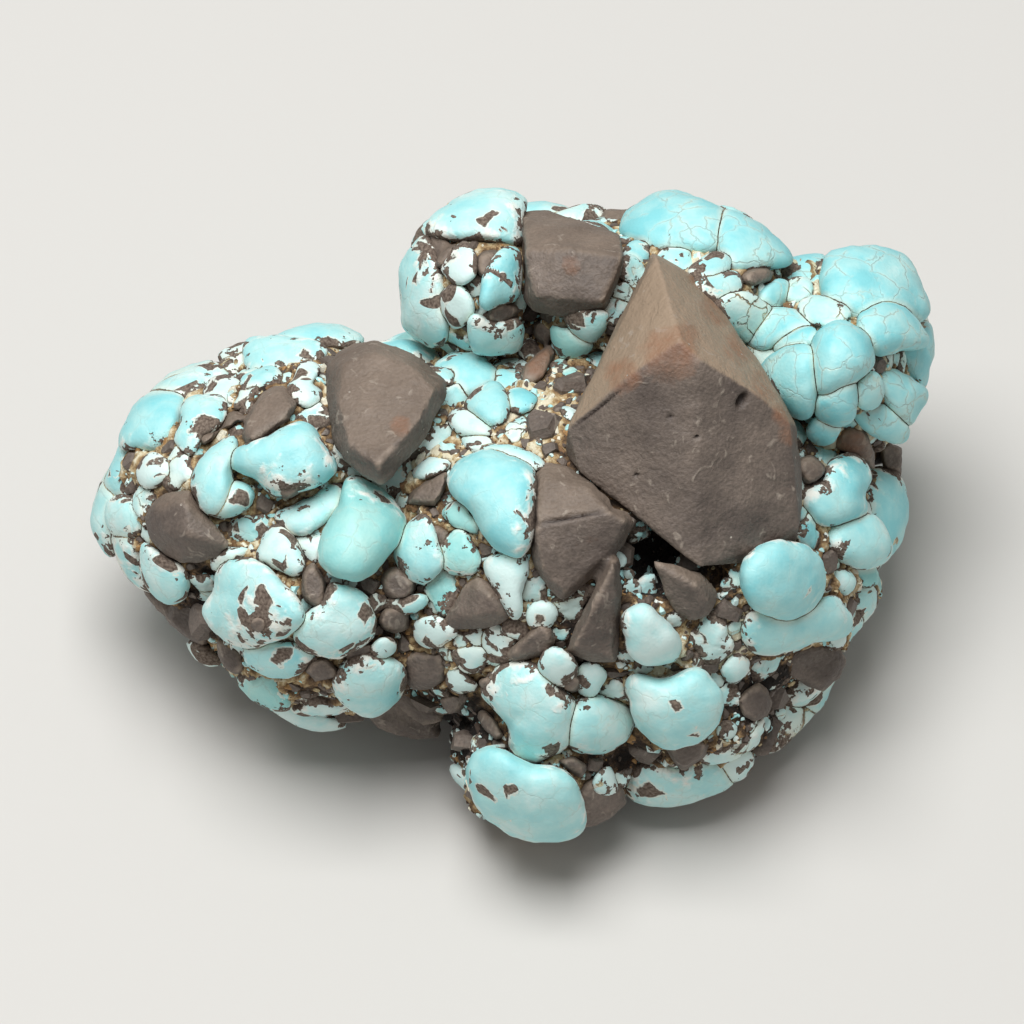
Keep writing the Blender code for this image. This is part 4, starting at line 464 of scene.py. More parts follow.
    ("pale", 2.4, -0.4, [(34.1, -7.6), (35.4, -7.0), (36.7, -8.2), (36.4, -9.8), (35.4, -11.0),
        (34.4, -9.7)]),
    ("pale", 2.6, -0.6, [(28.9, -18.1), (30.2, -16.4), (32.3, -14.7), (33.0, -15.8), (32.2, -18.0),
        (30.8, -20.4), (29.3, -20.1)]),
    ("white", 1.6, 0.3, [(26.1, -19.9), (26.8, -18.9), (29.2, -19.8), (29.2, -21.6), (28.0, -22.9),
        (26.8, -22.4)]),
    ("pale", 2.6, -0.8, [(24.3, -22.6), (26.5, -21.1), (29.2, -19.8), (31.4, -18.8), (30.6, -20.6),
        (28.6, -22.8), (26.2, -24.6)]),
    # lower lip
    ("pale", 5.0, 2.4, [(-3.0, -18.1), (-1.8, -15.9), (-0.6, -15.2), (1.4, -14.9), (3.2, -15.6),
        (4.8, -17.6), (6.2, -18.9), (5.8, -21.4), (5.6, -23.4), (3.6, -24.4), (1.4, -25.1), (-0.2, -23.6),
        (0.0, -21.4), (-1.6, -19.6)]),
    ("white", 2.4, 2.0, [(3.0, -15.4), (4.0, -13.8), (5.4, -14.2), (6.2, -15.4), (5.8, -16.9),
        (4.6, -17.1)]),
    ("pale", 4.2, 2.0, [(5.6, -21.1), (6.2, -19.4), (7.8, -18.6), (10.0, -18.9), (11.6, -20.1),
        (11.6, -21.9), (10.2, -23.4), (7.8, -23.9), (6.0, -23.6)]),
    ("white", 1.4, 1.0, [(6.8, -15.9), (8.0, -15.1), (9.0, -15.9), (8.6, -17.1), (7.8, -18.1),
        (7.0, -17.6)]),
    ("pale", 5.0, 2.0, [(11.3, -17.1), (12.4, -16.1), (14.6, -16.9), (16.8, -16.2), (18.4, -15.6),
        (19.5, -16.8), (20.6, -18.4), (20.6, -20.4), (19.6, -21.9), (17.8, -22.8), (15.8, -23.4),
        (13.8, -22.4), (12.2, -20.6), (12.0, -18.8)]),
    ("white", 3.4, 1.8, [(11.1, -10.8), (12.0, -9.6), (13.4, -9.4), (14.8, -10.8), (16.5, -12.8),
        (16.0, -14.6), (14.0, -15.1), (12.2, -14.3), (11.6, -12.8)]),
    ("white", 1.6, 0.6, [(21.2, -15.9), (21.6, -14.9), (22.6, -14.3), (23.6, -15.4), (22.8, -16.6),
        (21.8, -16.9)]),
    ("pale", 6.0, 0.8, [(-4.4, -26.3), (-3.6, -24.1), (-1.4, -23.6), (0.6, -24.8), (2.4, -25.6),
        (4.4, -25.6), (6.0, -26.8), (6.9, -29.0), (7.2, -31.6), (5.2, -32.8), (2.8, -33.0), (0.2, -32.4),
        (-2.0, -30.8), (-3.4, -29.2)]),
    ("pale", 5.0, 0.4, [(12.2, -29.2), (11.6, -26.1), (14.0, -24.9), (16.8, -25.6), (19.2, -24.4),
        (21.5, -25.3), (22.4, -27.8), (20.4, -28.4), (18.0, -29.5), (15.0, -29.9), (12.8, -29.7)]),
    ("white", 1.2, 0.4, [(8.3, -27.4), (9.0, -26.1), (9.8, -25.9), (10.3, -27.9), (9.5, -28.5)]),
    ("white", 1.6, 0.0, [(20.6, -22.4), (21.4, -21.1), (22.2, -21.6), (22.0, -22.4)]),
    ("white", 2.0, 0.0, [(20.7, -25.0), (21.7, -23.8), (24.0, -24.6), (23.6, -26.2), (22.2, -27.0)]),
    ("white", 1.2, 0.3, [(-5.8, -13.9), (-4.2, -13.7), (-3.0, -13.9), (-3.0, -15.4), (-4.4, -15.8),
        (-5.2, -14.9)]),
    ("white", 1.2, 0.3, [(-6.3, -16.6), (-5.6, -15.6), (-4.4, -16.6), (-3.6, -17.6), (-5.2, -17.9),
        (-6.1, -17.6)]),
    ("white", 1.2, 0.6, [(1.8, -10.2), (2.6, -9.3), (3.8, -9.3), (4.3, -10.2), (3.4, -11.3), (2.2, -11.3)]),
    ("white", 2.2, -0.8, [(-6.2, -26.0), (-5.2, -25.8), (-4.3, -26.6), (-4.0, -28.6), (-5.2, -27.4)]),
]
print(len(NODULES), "nodules on the show face")

# %% Outlines as curves
PER_SIDE = 8  # points of the curve between two drawn ones


def smooth_outline(points):
    """Points on the closed Catmull-Rom curve through an outline."""
    corners = np.array(points, float)
    before, after, beyond = (np.roll(corners, shift, 0) for shift in (1, -1, -2))
    curve = []
    for t in np.linspace(0.0, 1.0, PER_SIDE, endpoint=False):
        curve.append(
            corners
            + 0.5 * t * (after - before)
            + t * t * (before - 2.5 * corners + 2.0 * after - 0.5 * beyond)
            + t**3 * (1.5 * (corners - after) + 0.5 * (beyond - before))
        )
    return np.stack(curve, 1).reshape(-1, 2)


def polar_outline(curve):
    """The curve's centre, and its radius as a function of the angle round that centre."""
    closed = np.vstack([curve, curve[:1]])
    cross = closed[:-1, 0] * closed[1:, 1] - closed[1:, 0] * closed[:-1, 1]
    centre = ((closed[:-1] + closed[1:]) * cross[:, None]).sum(0) / (3.0 * cross.sum())
    arms = curve - centre
    angles = np.arctan2(arms[:, 1], arms[:, 0])
    order = np.argsort(angles)
    radii = np.hypot(arms[:, 0], arms[:, 1])[order]
    return centre, lambda angle: np.interp(angle, angles[order], radii, period=2 * math.pi)


def mean_radius(radius_at):
    return float(np.mean(radius_at(np.linspace(-math.pi, math.pi, 24))))


def slow_waves(radii, most):
    """An outline's radii with its quick waves faded out. A sharp cut would leave ripples at the corners."""
    waves = np.fft.rfft(radii)
    waves *= np.exp(-((np.arange(len(waves)) / most) ** 2))
    return np.fft.irfft(waves, len(radii))


drawn = sum(len(outline) for *_, outline in NODULES)
print(drawn, "drawn points give", drawn * PER_SIDE, "on the curves")

# %% Dome builder
NODULE_ROOT = 3.0  # the root goes this far deeper than the crown is high
DOME_POWER = 2.3  # 2 is an ellipsoid; more has a flatter crown and fuller shoulders
SPREAD = 0.35  # a skin creeps this far past its drawn outline, up to its neighbours
ROOT_RINGS = ((0.52, -1.0), (0.78, -0.6), (0.95, -0.22))  # (share of the outline, share of the root's depth)
RING_SHARE = 1.2  # rings from rim to crown, for each grain of the mean radius
FEWEST_SPOKES, FEWEST_RINGS = 16, 4
RIM_WAVES, CROWN_WAVES = 10, 4  # about how many of an outline's waves are kept at the rim and at the crown
RAGGED, RAGGED_MM = 0.16, 1.9  # how far the rim's tears reach, and how wide they are
SWELL, SWELL_MM = 0.28, 4.6  # height and length of the slow waves of a nodule's skin
RIPPLE, RIPPLE_MM = 0.045, 1.3  # and of its quick ones


def dome_faces(rings, spokes):
    """The faces over a bottom point, rings of points and a top point, numbered in that order."""
    lower = 1 + np.arange(rings - 1)[:, None] * spokes + np.arange(spokes)
    beside = np.roll(lower, -1, 1)
    walls = np.stack([lower, beside, beside + spokes, lower + spokes], 2).reshape(-1, 4)
    first = 1 + np.arange(spokes)
    last = first + (rings - 1) * spokes
    under = np.stack([np.zeros(spokes, int), np.roll(first, -1), first], 1)
    over = np.stack([np.full(spokes, 1 + rings * spokes), last, np.roll(last, -1)], 1)
    return walls.tolist() + under.tolist() + over.tolist()


def nodule_shell(seat, radius_at, crown, root, grain, ripple=RIPPLE):
    """One closed dome: points, faces, each point's way in from the rim ("edge"), and its mean radius."""
    mean = mean_radius(radius_at)
    spokes = max(FEWEST_SPOKES, round(2 * math.pi * mean / grain))
    rings = max(FEWEST_RINGS, round(RING_SHARE * mean / grain))
    angles = np.arange(spokes) * 2 * math.pi / spokes
    around = np.stack([np.cos(angles), np.sin(angles)], 1)
    # The outline, at its full detail at the rim and simpler towards the crown.
    radii = slow_waves(radius_at(angles) + SPREAD, RIM_WAVES)
    rim = moved(seat, np.column_stack([around * radii[:, None], np.zeros(spokes)]))
    torn = RAGGED * lumps(rim, RAGGED_MM, 3.1, 2)
    reach = np.cos(np.linspace(0.0, math.pi / 2, rings, endpoint=False))
    up = crown * (1.0 - reach**DOME_POWER) ** (1.0 / DOME_POWER)
    shares = np.concatenate([[ring[0] for ring in ROOT_RINGS], reach])
    heights = np.concatenate([[ring[1] * root for ring in ROOT_RINGS], up])
    own = (shares**2)[:, None]
    shape = own * radii + (1.0 - own) * slow_waves(radii, CROWN_WAVES)
    out = shares[:, None] * shape + (shares**6)[:, None] * torn
    level = np.broadcast_to(heights[:, None, None], (*out.shape, 1))
    grid = np.concatenate([out[:, :, None] * around, level], 2).reshape(-1, 3)
    points = moved(seat, np.vstack([[[0.0, 0.0, -root]], grid, [[0.0, 0.0, crown]]]))
    # The way in from the rim, along the skin; it is below zero on the root.
    steps = np.hypot(np.diff(shares)[:, None] * radii, np.diff(heights)[:, None])
    way = np.vstack([np.zeros(spokes), np.cumsum(steps, 0)])
    way = way - way[len(ROOT_RINGS)]
    edge = np.concatenate([[-root], way.reshape(-1), [way[-1].mean() + 0.1]])
    # Waves of the skin, outwards from a hub inside.
    hub = moved(seat, np.array([[0.0, 0.0, -0.5 * root]]))[0]
    outward = points - hub
    outward /= np.linalg.norm(outward, axis=1, keepdims=True)
    wave = SWELL * lumps(points, SWELL_MM, 1.3, 2) + ripple * lumps(points, RIPPLE_MM, 5.9, 2)
    points = points + outward * wave[:, None]
    return {"points": points, "faces": dome_faces(len(shares), spokes), "edge": edge, "reach": mean}


print("a dome of 12 spokes and 8 rings has", len(dome_faces(8, 12)), "faces")

# %% Show-face nodules
NODULE_FULLNESS = 0.52  # a crown's height, as a share of the nodule's mean radius
NODULE_SIT = 0.5  # the outline stands this far over the groundmass
SHOW_GRAIN = 0.24  # the points of a dome are this far apart, about a fifth of its smallest ripple


def face_nodules():
    """The shells of the drawn nodules."""
    shells = []
    for kind, crown, sit, outline in NODULES:
        centre, radius_at = polar_outline(smooth_outline(outline))
        mean = mean_radius(radius_at)
        crown = NODULE_FULLNESS * mean if crown is None else crown
        sit = NODULE_SIT if sit is None else sit
        seat = face_seat(centre[0], centre[1], sit, mean)
        shells.append(nodule_shell(seat, radius_at, crown, crown + NODULE_ROOT, SHOW_GRAIN))
        shells[-1].update(kind=kind, at=centre)
    return shells


shown_nodules = face_nodules()
print(len(shown_nodules), "domes,", sum(len(shell["faces"]) for shell in shown_nodules), "faces")

# %% [markdown]
# ## The clasts
#
# Clasts are broken, not grown: flat faces that meet at worn edges. Each is the convex hull of a few corners,
# the simplest closed shape with flat faces. A root under each one goes into the groundmass. The great clast
# has corners of its own, because its long ridges are what the eye goes to first.
# %% The great clast: its corners (x, y, z), ridges first, then its lower edge, its foot and its root
GREAT_CLAST = [
    # ridges: from the apex down, to the left and to the right
    (16.6, 16.8, 24.2), (18.4, 15.0, 24.2), (15.6, 20.6, 20.2), (14.3, 25.5, 13.5),
    (11.4, 13.2, 22.8), (5.4, 8.2, 18.6), (24.2, 11.6, 20.8), (27.6, 8.8, 17.8),
    # lower edge
    (28.4, -1.6, 14.8), (23.0, -4.2, 17.2), (18.6, -5.4, 18.6), (14.8, -2.2, 18.9), (11.8, 0.8, 18.9),
    (6.8, 3.9, 18.5),
    # where it meets the groundmass
    (14.0, 25.9, 8.0), (18.2, 23.6, 8.0), (24.4, 15.6, 11.0), (28.4, 8.6, 12.5), (29.0, 0.6, 11.5),
    (28.4, -3.0, 12.0), (23.4, -5.0, 14.0), (18.8, -5.2, 15.0), (10.6, 1.6, 15.5), (5.2, 5.8, 15.5),
    (6.8, 11.2, 14.0), (10.4, 18.2, 9.0),
    # root
    (15.2, 20.0, -2.0), (23.0, 10.5, 0.0), (24.0, 2.0, 3.0), (16.0, 2.6, 4.0), (10.4, 8.8, 4.0),
]

# %% Other clasts, as (outline, peaks): a peak is (x, y, height), one number is a broken table's height
CLASTS = [
    # upper block
    ([(0.7, 30.2), (3.4, 30.4), (7.3, 29.2), (11.0, 28.1), (11.4, 25.1), (10.6, 22.8), (9.4, 20.1),
        (4.8, 19.4), (2.3, 20.1), (1.2, 21.2), (1.0, 25.2)], [(1.2, 29.4, 5.0), (6.8, 28.4, 5.8),
        (10.6, 27.4, 6.0), (1.4, 26.1, 8.4), (5.8, 26.2, 9.4), (11.0, 25.4, 8.0), (2.2, 21.4, 5.6),
        (9.0, 20.9, 5.2)]),
    # left block, a broad flat table
    ([(-18.7, 14.8), (-17.7, 16.2), (-15.9, 17.0), (-13.7, 17.1), (-10.7, 16.2), (-8.7, 15.1), (-6.4, 13.1),
        (-6.3, 11.8), (-7.4, 9.8), (-8.7, 7.2), (-10.2, 5.5), (-11.7, 3.5), (-13.0, 2.5), (-14.7, 3.5),
        (-16.7, 5.0), (-17.9, 6.8), (-18.0, 9.2), (-18.6, 11.8)], [(-16.8, 14.7, 4.6), (-13.8, 15.8, 5.0),
        (-9.8, 14.4, 5.2), (-7.6, 12.2, 4.8), (-9.2, 9.2, 5.2), (-13.2, 4.7, 5.0), (-16.2, 6.7, 4.8),
        (-17.2, 10.8, 4.8)]),
    # middle wedge in two slabs
    ([(2.3, 3.8), (3.3, 4.8), (5.3, 4.5), (7.8, 3.0), (9.6, 1.2), (10.0, 0.1), (6.8, -0.6), (2.6, -1.0),
        (1.9, 0.8)], [(2.8, 3.2, 3.2), (7.6, 2.2, 3.8), (2.4, -0.9, 4.8), (9.4, 0.25, 4.9)]),
    ([(2.0, -1.0), (4.8, -0.6), (9.2, 0.1), (11.4, 0.2), (12.2, -1.1), (11.2, -3.3), (8.8, -5.8),
        (6.0, -8.2), (4.8, -8.8), (3.2, -7.3), (2.0, -4.8), (1.8, -2.8)], [(2.3, -1.5, 4.7), (9.4, 0.0, 4.8),
        (11.2, -0.8, 4.2), (3.0, -5.5, 3.6), (5.2, -8.0, 2.4), (9.2, -4.3, 3.2)]),
    # long spike
    ([(9.6, -4.3), (10.7, -4.5), (10.9, -8.8), (10.8, -11.8), (10.6, -15.2), (7.8, -14.9), (5.2, -13.9),
        (6.4, -11.2), (8.2, -7.3)], [(10.0, -5.0, 4.0), (7.6, -10.2, 4.6), (6.0, -13.3, 3.6),
        (10.2, -9.2, 3.4), (10.0, -14.6, 2.6)]),
    ([(13.8, -4.8), (15.3, -5.0), (18.8, -6.0), (20.4, -7.8), (20.4, -8.8), (19.6, -10.2), (17.8, -10.9),
        (16.2, -9.9), (15.2, -8.2)], [(15.2, -6.0, 1.6), (18.2, -7.2, 3.0), (19.4, -8.6, 2.4)]),
    # left lobe
    ([(-36.9, -0.6), (-36.2, 0.9), (-34.7, 1.9), (-32.2, 2.2), (-31.2, 0.8), (-30.0, -0.8), (-29.0, -2.2),
        (-28.0, -3.3), (-29.2, -4.3), (-31.2, -5.3), (-33.2, -5.3), (-35.0, -4.3), (-36.2, -3.0),
        (-36.7, -1.8)], [(-35.4, -0.1, 2.8), (-32.6, 1.1, 3.0), (-32.0, -2.1, 4.2), (-34.4, -2.1, 3.8),
        (-32.6, -4.2, 2.8), (-29.8, -3.0, 2.2)]),
    ([(-27.1, 7.2), (-27.0, 8.8), (-26.0, 10.8), (-25.0, 12.1), (-23.7, 12.8), (-22.7, 12.8), (-22.0, 11.2),
        (-21.2, 10.8), (-22.2, 9.1), (-24.0, 8.4), (-25.0, 7.5), (-26.2, 6.5)], 2.6),
    ([(-39.6, -5.0), (-40.0, -2.5), (-38.7, -3.0), (-37.4, -2.8), (-37.1, -4.2), (-37.0, -5.9),
        (-37.2, -7.3), (-38.2, -6.8), (-39.2, -6.0)], 2.4),
    ([(-34.9, -10.3), (-34.3, -8.8), (-32.7, -9.1), (-31.4, -8.9), (-31.0, -10.6), (-30.4, -12.4),
        (-30.9, -14.2), (-32.6, -12.6), (-35.0, -11.2)], 2.2),
    ([(-37.4, -7.4), (-36.1, -7.7), (-35.3, -8.6), (-34.7, -9.2), (-34.8, -11.0), (-36.0, -10.0),
        (-37.2, -8.4)], 1.2),
    ([(-29.7, -14.4), (-29.9, -12.6), (-28.8, -12.8), (-27.6, -13.6), (-27.0, -14.2), (-26.9, -15.9),
        (-27.6, -16.4), (-28.8, -15.8)], 2.0),
    ([(-21.0, -6.2), (-20.4, -5.2), (-19.6, -4.8), (-19.0, -5.8), (-18.4, -6.8), (-18.4, -8.2),
        (-18.6, -9.8), (-19.6, -9.6), (-20.6, -8.9), (-21.0, -7.8)], 2.4),
    ([(-23.6, 2.6), (-23.2, 3.5), (-22.2, 3.8), (-21.2, 3.5), (-20.6, 2.9), (-21.2, 1.9), (-22.2, 1.2),
        (-23.2, 1.6)], 4.6),
    ([(-30.0, 13.8), (-29.7, 15.1), (-28.8, 15.7), (-27.4, 16.2), (-28.0, 15.1), (-29.0, 14.1)], 1.8),
    ([(-31.7, 7.5), (-31.2, 8.2), (-30.2, 8.2), (-29.2, 8.2), (-29.8, 7.2), (-30.7, 6.5),
        (-31.2, 6.7)], 2.0),
    ([(-29.2, 8.8), (-28.6, 9.7), (-27.6, 10.1), (-26.9, 9.9), (-27.2, 9.1), (-28.2, 8.2),
        (-29.0, 8.2)], 1.8),
    ([(-21.0, -15.9), (-20.0, -14.8), (-18.7, -14.2), (-17.4, -15.6), (-17.0, -16.6), (-18.2, -16.9),
        (-19.8, -17.1)], 2.0),
    ([(-17.0, -13.9), (-16.0, -13.2), (-14.4, -12.9), (-13.4, -13.2), (-13.8, -14.2), (-15.0, -14.6),
        (-16.4, -14.8)], 2.2),
    ([(-26.2, -10.9), (-25.6, -10.3), (-24.6, -10.3), (-24.0, -10.9), (-24.4, -11.8), (-25.0, -12.2),
        (-25.8, -11.8)], 5.4),
    # middle
    ([(-13.1, -6.8), (-12.4, -5.8), (-11.4, -5.5), (-10.2, -6.2), (-9.4, -6.9), (-9.6, -8.2), (-10.4, -8.8),
        (-11.8, -8.8), (-12.8, -8.2)], 2.8),
    ([(-13.4, -10.9), (-12.8, -9.6), (-11.6, -9.3), (-10.2, -9.6), (-9.9, -10.6), (-10.2, -11.8),
        (-11.6, -12.2), (-12.8, -11.8)], 2.0),
    ([(-6.9, -10.9), (-5.7, -8.8), (-4.7, -7.2), (-3.4, -6.5), (-2.0, -7.3), (-0.8, -8.6), (-0.1, -9.9),
        (-0.4, -10.9), (-2.0, -11.6), (-4.4, -11.8), (-6.2, -11.6)], [(-5.8, -10.3, 2.0), (-3.6, -7.6, 2.2),
        (-2.2, -8.3, 3.0), (-1.0, -10.2, 2.4), (-3.6, -10.2, 3.2)]),
    ([(-10.7, 0.8), (-10.2, 2.0), (-8.8, 3.2), (-7.2, 4.0), (-6.3, 4.2), (-6.3, 3.0), (-6.8, 1.6),
        (-7.6, 0.4), (-9.2, 0.6)], 2.4),
    ([(-11.0, -14.2), (-9.7, -13.9), (-8.2, -14.2), (-6.8, -13.9), (-6.4, -15.6), (-6.8, -17.1),
        (-8.2, -17.8), (-10.0, -17.8), (-10.8, -16.8)], 1.8),
    ([(-14.8, -20.8), (-13.5, -19.0), (-11.2, -18.4), (-8.2, -18.4), (-7.0, -19.2), (-7.2, -20.8),
        (-7.2, -23.0), (-9.5, -23.3), (-12.0, -22.6), (-13.8, -21.8)], 1.8),
    ([(-7.6, -18.8), (-6.4, -18.1), (-4.6, -18.4), (-4.2, -19.1), (-5.2, -20.1), (-6.6, -20.4)], 1.6),
    ([(-0.6, -14.2), (0.6, -12.8), (1.8, -11.8), (3.0, -10.9), (4.0, -11.6), (4.4, -12.8), (3.8, -14.2),
        (1.8, -14.6), (0.2, -14.8)], 2.0),
    ([(-8.6, -2.8), (-8.6, -1.4), (-7.6, -1.1), (-6.2, -2.0), (-6.6, -3.2), (-7.2, -3.5)], 1.4),
    ([(-3.6, -19.9), (-2.8, -19.6), (-1.8, -20.6), (-1.2, -21.4), (-0.6, -22.6), (-1.6, -22.9),
        (-2.8, -21.9), (-3.4, -20.9)], 1.8),
    # upper lobes
    ([(-8.6, 26.9), (-8.0, 28.2), (-6.8, 28.1), (-6.2, 27.2), (-7.0, 26.2), (-8.2, 25.8)], 4.0),
    ([(-7.6, 25.4), (-6.6, 26.6), (-5.4, 27.1), (-5.8, 25.9), (-6.8, 24.4), (-7.8, 24.4)], 3.4),
    ([(-3.5, 24.2), (-3.4, 25.6), (-2.6, 26.1), (-1.4, 26.1), (-1.8, 24.9), (-2.4, 23.2),
        (-3.2, 23.6)], 2.8),
    ([(-2.8, 19.2), (-2.2, 20.4), (-1.0, 21.1), (0.2, 20.9), (0.9, 20.2), (0.0, 19.2), (-1.2, 18.6),
        (-2.4, 18.8)], 3.0),
    ([(2.1, 17.8), (2.3, 19.1), (3.3, 19.2), (4.3, 18.4), (4.0, 17.2), (2.8, 16.8)], 2.0),
    ([(0.9, 13.4), (1.4, 14.8), (2.6, 16.1), (3.8, 16.9), (4.4, 16.1), (4.0, 14.8), (3.2, 13.4), (2.0, 12.7),
        (1.2, 12.8)], 2.2),
    ([(8.9, 29.6), (9.4, 30.7), (11.2, 30.9), (12.5, 30.9), (12.9, 29.6), (11.6, 28.9), (9.8, 28.9)], 2.6),
    ([(22.9, 23.6), (23.8, 24.4), (25.6, 24.6), (26.4, 24.1), (26.0, 23.1), (24.4, 22.6),
        (23.2, 22.9)], 2.6),
    # right flank
    ([(28.4, 4.5), (28.8, 5.5), (30.0, 5.8), (31.2, 5.0), (31.8, 4.2), (30.8, 3.2), (29.4, 2.6),
        (28.8, 3.5)], 4.0),
    ([(32.2, 6.8), (32.6, 8.2), (33.8, 8.7), (35.2, 8.4), (36.0, 7.2), (36.6, 5.8), (36.6, 4.2), (35.4, 4.7),
        (34.0, 5.7)], 2.8),
    ([(37.0, 6.7), (38.1, 7.3), (39.6, 6.6), (39.8, 5.0), (39.7, 3.6), (37.6, 4.2)], 2.0),
    ([(25.3, -14.2), (27.8, -13.8), (30.4, -13.1), (33.0, -13.6), (33.8, -15.0), (33.2, -16.8),
        (31.5, -18.2), (28.3, -16.8), (26.4, -15.6)], 1.6),
    ([(22.3, -18.9), (23.3, -17.8), (24.6, -17.1), (25.8, -17.8), (26.3, -19.2), (25.8, -20.6),
        (24.3, -21.1), (23.0, -20.4)], 1.4),
    ([(23.0, -22.6), (24.3, -21.4), (26.5, -21.6), (28.5, -23.0), (27.6, -24.4), (25.8, -24.8)], 1.4),
    # lower lip
    ([(15.2, -23.4), (16.8, -22.9), (18.8, -22.6), (20.0, -23.1), (19.4, -24.6), (18.3, -25.1),
        (17.2, -25.9), (16.2, -24.9)], 2.6),
    ([(7.0, -31.6), (6.4, -28.4), (7.4, -26.9), (9.0, -26.4), (11.4, -27.9), (11.6, -29.4), (10.0, -30.6),
        (8.4, -31.5)], 1.8),
    ([(4.4, -24.8), (6.0, -24.4), (7.4, -25.4), (7.0, -26.4), (5.8, -25.9)], 2.0),
    ([(4.8, -16.9), (5.4, -16.1), (6.4, -16.1), (6.9, -16.9), (6.4, -17.9), (5.2, -17.8)], 3.6),
    ([(-3.6, -16.9), (-3.0, -16.4), (-2.0, -16.4), (-1.7, -17.1), (-2.2, -17.9), (-3.2, -17.8)], 2.6),
]
print(len(CLASTS) + 1, "clasts on the show face")

# %% Hull builder
CLAST_TABLE = 0.74  # a plain clast's broken table, as a share of its outline
TABLE_RIM = 0.35  # its outline stands at this share of the table's height
PEAKED_RIM = 0.8  # and a peaked clast's this far up
CLAST_ROOT, ROOT_SHARE = 4.0, 0.7  # a root's depth, and its width as a share of the outline


def hull_shell(points):
    """The convex hull of the points, as a dictionary of points and faces."""
    bm = bmesh.new()
    verts = [bm.verts.new(point) for point in points]
    made = bmesh.ops.convex_hull(bm, input=verts)
    spare = [g for g in made["geom_interior"] + made["geom_unused"] if isinstance(g, bmesh.types.BMVert)]
    bmesh.ops.delete(bm, geom=list(set(spare)), context="VERTS")
    bmesh.ops.recalc_face_normals(bm, faces=bm.faces)
    bm.verts.index_update()
    shell = {
        "points": np.array([vert.co[:] for vert in bm.verts]),
        "faces": [[vert.index for vert in face.verts] for face in bm.faces],
    }
    bm.free()
    return shell


def clast_points(seat, centre, outline, peaks):
    """A clast's corners: its broken top, its outline, and its root, which narrows into the groundmass."""
    arms = [Vector(corner) - centre for corner in outline]
    if isinstance(peaks, (int, float)):
        top = [(arm.x * CLAST_TABLE, arm.y * CLAST_TABLE, peaks) for arm in arms]
        rim = TABLE_RIM * peaks
    else:
        top = [(x - centre.x, y - centre.y, height) for x, y, height in peaks]
        rim = PEAKED_RIM
    rim_points = [(arm.x, arm.y, rim) for arm in arms]
    root_points = [(arm.x * ROOT_SHARE, arm.y * ROOT_SHARE, -CLAST_ROOT) for arm in arms]
    return [seat @ Vector(point) for point in top + rim_points + root_points]


def face_clasts():
    """The shells of the drawn clasts."""
    shells = []
    for outline, peaks in CLASTS:
        centre = sum((Vector(corner) for corner in outline), Vector((0.0, 0.0))) / len(outline)
        reach = sum((Vector(corner) - centre).length for corner in outline) / len(outline)
        seat = face_seat(centre.x, centre.y, 0.0, reach)
        shells.append(hull_shell(clast_points(seat, centre, outline, peaks)))
    return shells


great_clast = hull_shell([FACE @ Vector(corner) for corner in GREAT_CLAST])
shown_clasts = face_clasts()
print("great clast has", len(great_clast["faces"]), "flat facets")

# %% [markdown]
# ## The back and the flanks
#
# The sides that the camera doesn't see carry the same two kinds of piece, spread evenly: a spiral of rays is
# cast at the groundmass, and each ray that lands on a hidden side gets a nodule or a clast. A piece that
# would stick out past the show face's outline is sunk until it doesn't.
# %% Outline of the show face, met square on
SHOW_OUTLINE = [
    (-42.5, -0.8), (-42.0, 2.2), (-40.4, 5.7), (-39.2, 9.2), (-36.7, 12.7), (-33.2, 15.0),
    (-29.7, 16.2), (-26.2, 17.7), (-22.2, 18.7), (-17.7, 19.0), (-16.0, 18.2), (-14.2, 17.4),
    (-12.7, 18.4), (-11.2, 19.2), (-11.0, 22.2), (-11.2, 25.0), (-9.7, 27.4), (-7.7, 30.2),
    (-4.7, 31.9), (-1.2, 32.4), (1.3, 31.7), (3.8, 31.4), (6.3, 30.4), (8.8, 30.4), (11.3, 30.9),
    (12.8, 31.7), (15.3, 32.2), (18.8, 31.4), (22.8, 30.0), (25.8, 28.0), (28.3, 25.7), (31.8, 26.2),
    (35.8, 26.7), (38.8, 26.2), (40.8, 24.0), (41.8, 21.2), (42.6, 18.2), (42.3, 14.7), (41.3, 11.2),
    (39.8, 8.2), (39.6, 6.2), (39.8, 3.2), (40.0, 0.2), (39.3, -2.8), (37.8, -4.6), (36.8, -5.8),
    (36.6, -8.8), (35.6, -10.8), (33.3, -13.8), (32.6, -16.8), (31.8, -18.8), (28.8, -22.8),
    (24.8, -25.8), (20.8, -28.3), (17.8, -29.6), (13.8, -29.8), (11.3, -29.3), (8.8, -31.3),
    (5.8, -32.6), (2.8, -33.0), (-0.2, -32.3), (-2.7, -30.3), (-4.7, -27.8), (-6.7, -24.8),
    (-8.2, -22.3), (-11.2, -21.8), (-16.2, -21.0), (-19.2, -20.6), (-22.7, -20.0), (-26.2, -17.8),
    (-29.7, -15.3), (-32.7, -12.3), (-35.2, -10.8), (-36.2, -8.8), (-38.2, -6.8), (-40.7, -5.3),
    (-42.2, -2.8),
]

# %% The swellings as a mesh
LUMP_SPACING, LUMP_HEIGHT = 3.4, 1.1


def swelling_mesh(fineness, lump):
    """The swellings as one bmesh, with lumps of this height between the pieces."""
    bm = bmesh.new()
    for centre, radii in SWELLINGS:
        shape = Matrix.Translation(Vector(centre)) @ Matrix.Diagonal((*radii, 1.0))
        made = bmesh.ops.create_icosphere(bm, subdivisions=fineness, radius=1.0, matrix=FACE @ shape)
        hub = FACE @ Vector(centre)
        for vert in made["verts"] if lump else ():
            height = lump * noise.fractal(vert.co / LUMP_SPACING, NOISE_FADE, NOISE_STEP, 3)
            vert.co += (vert.co - hub).normalized() * height
    return bm


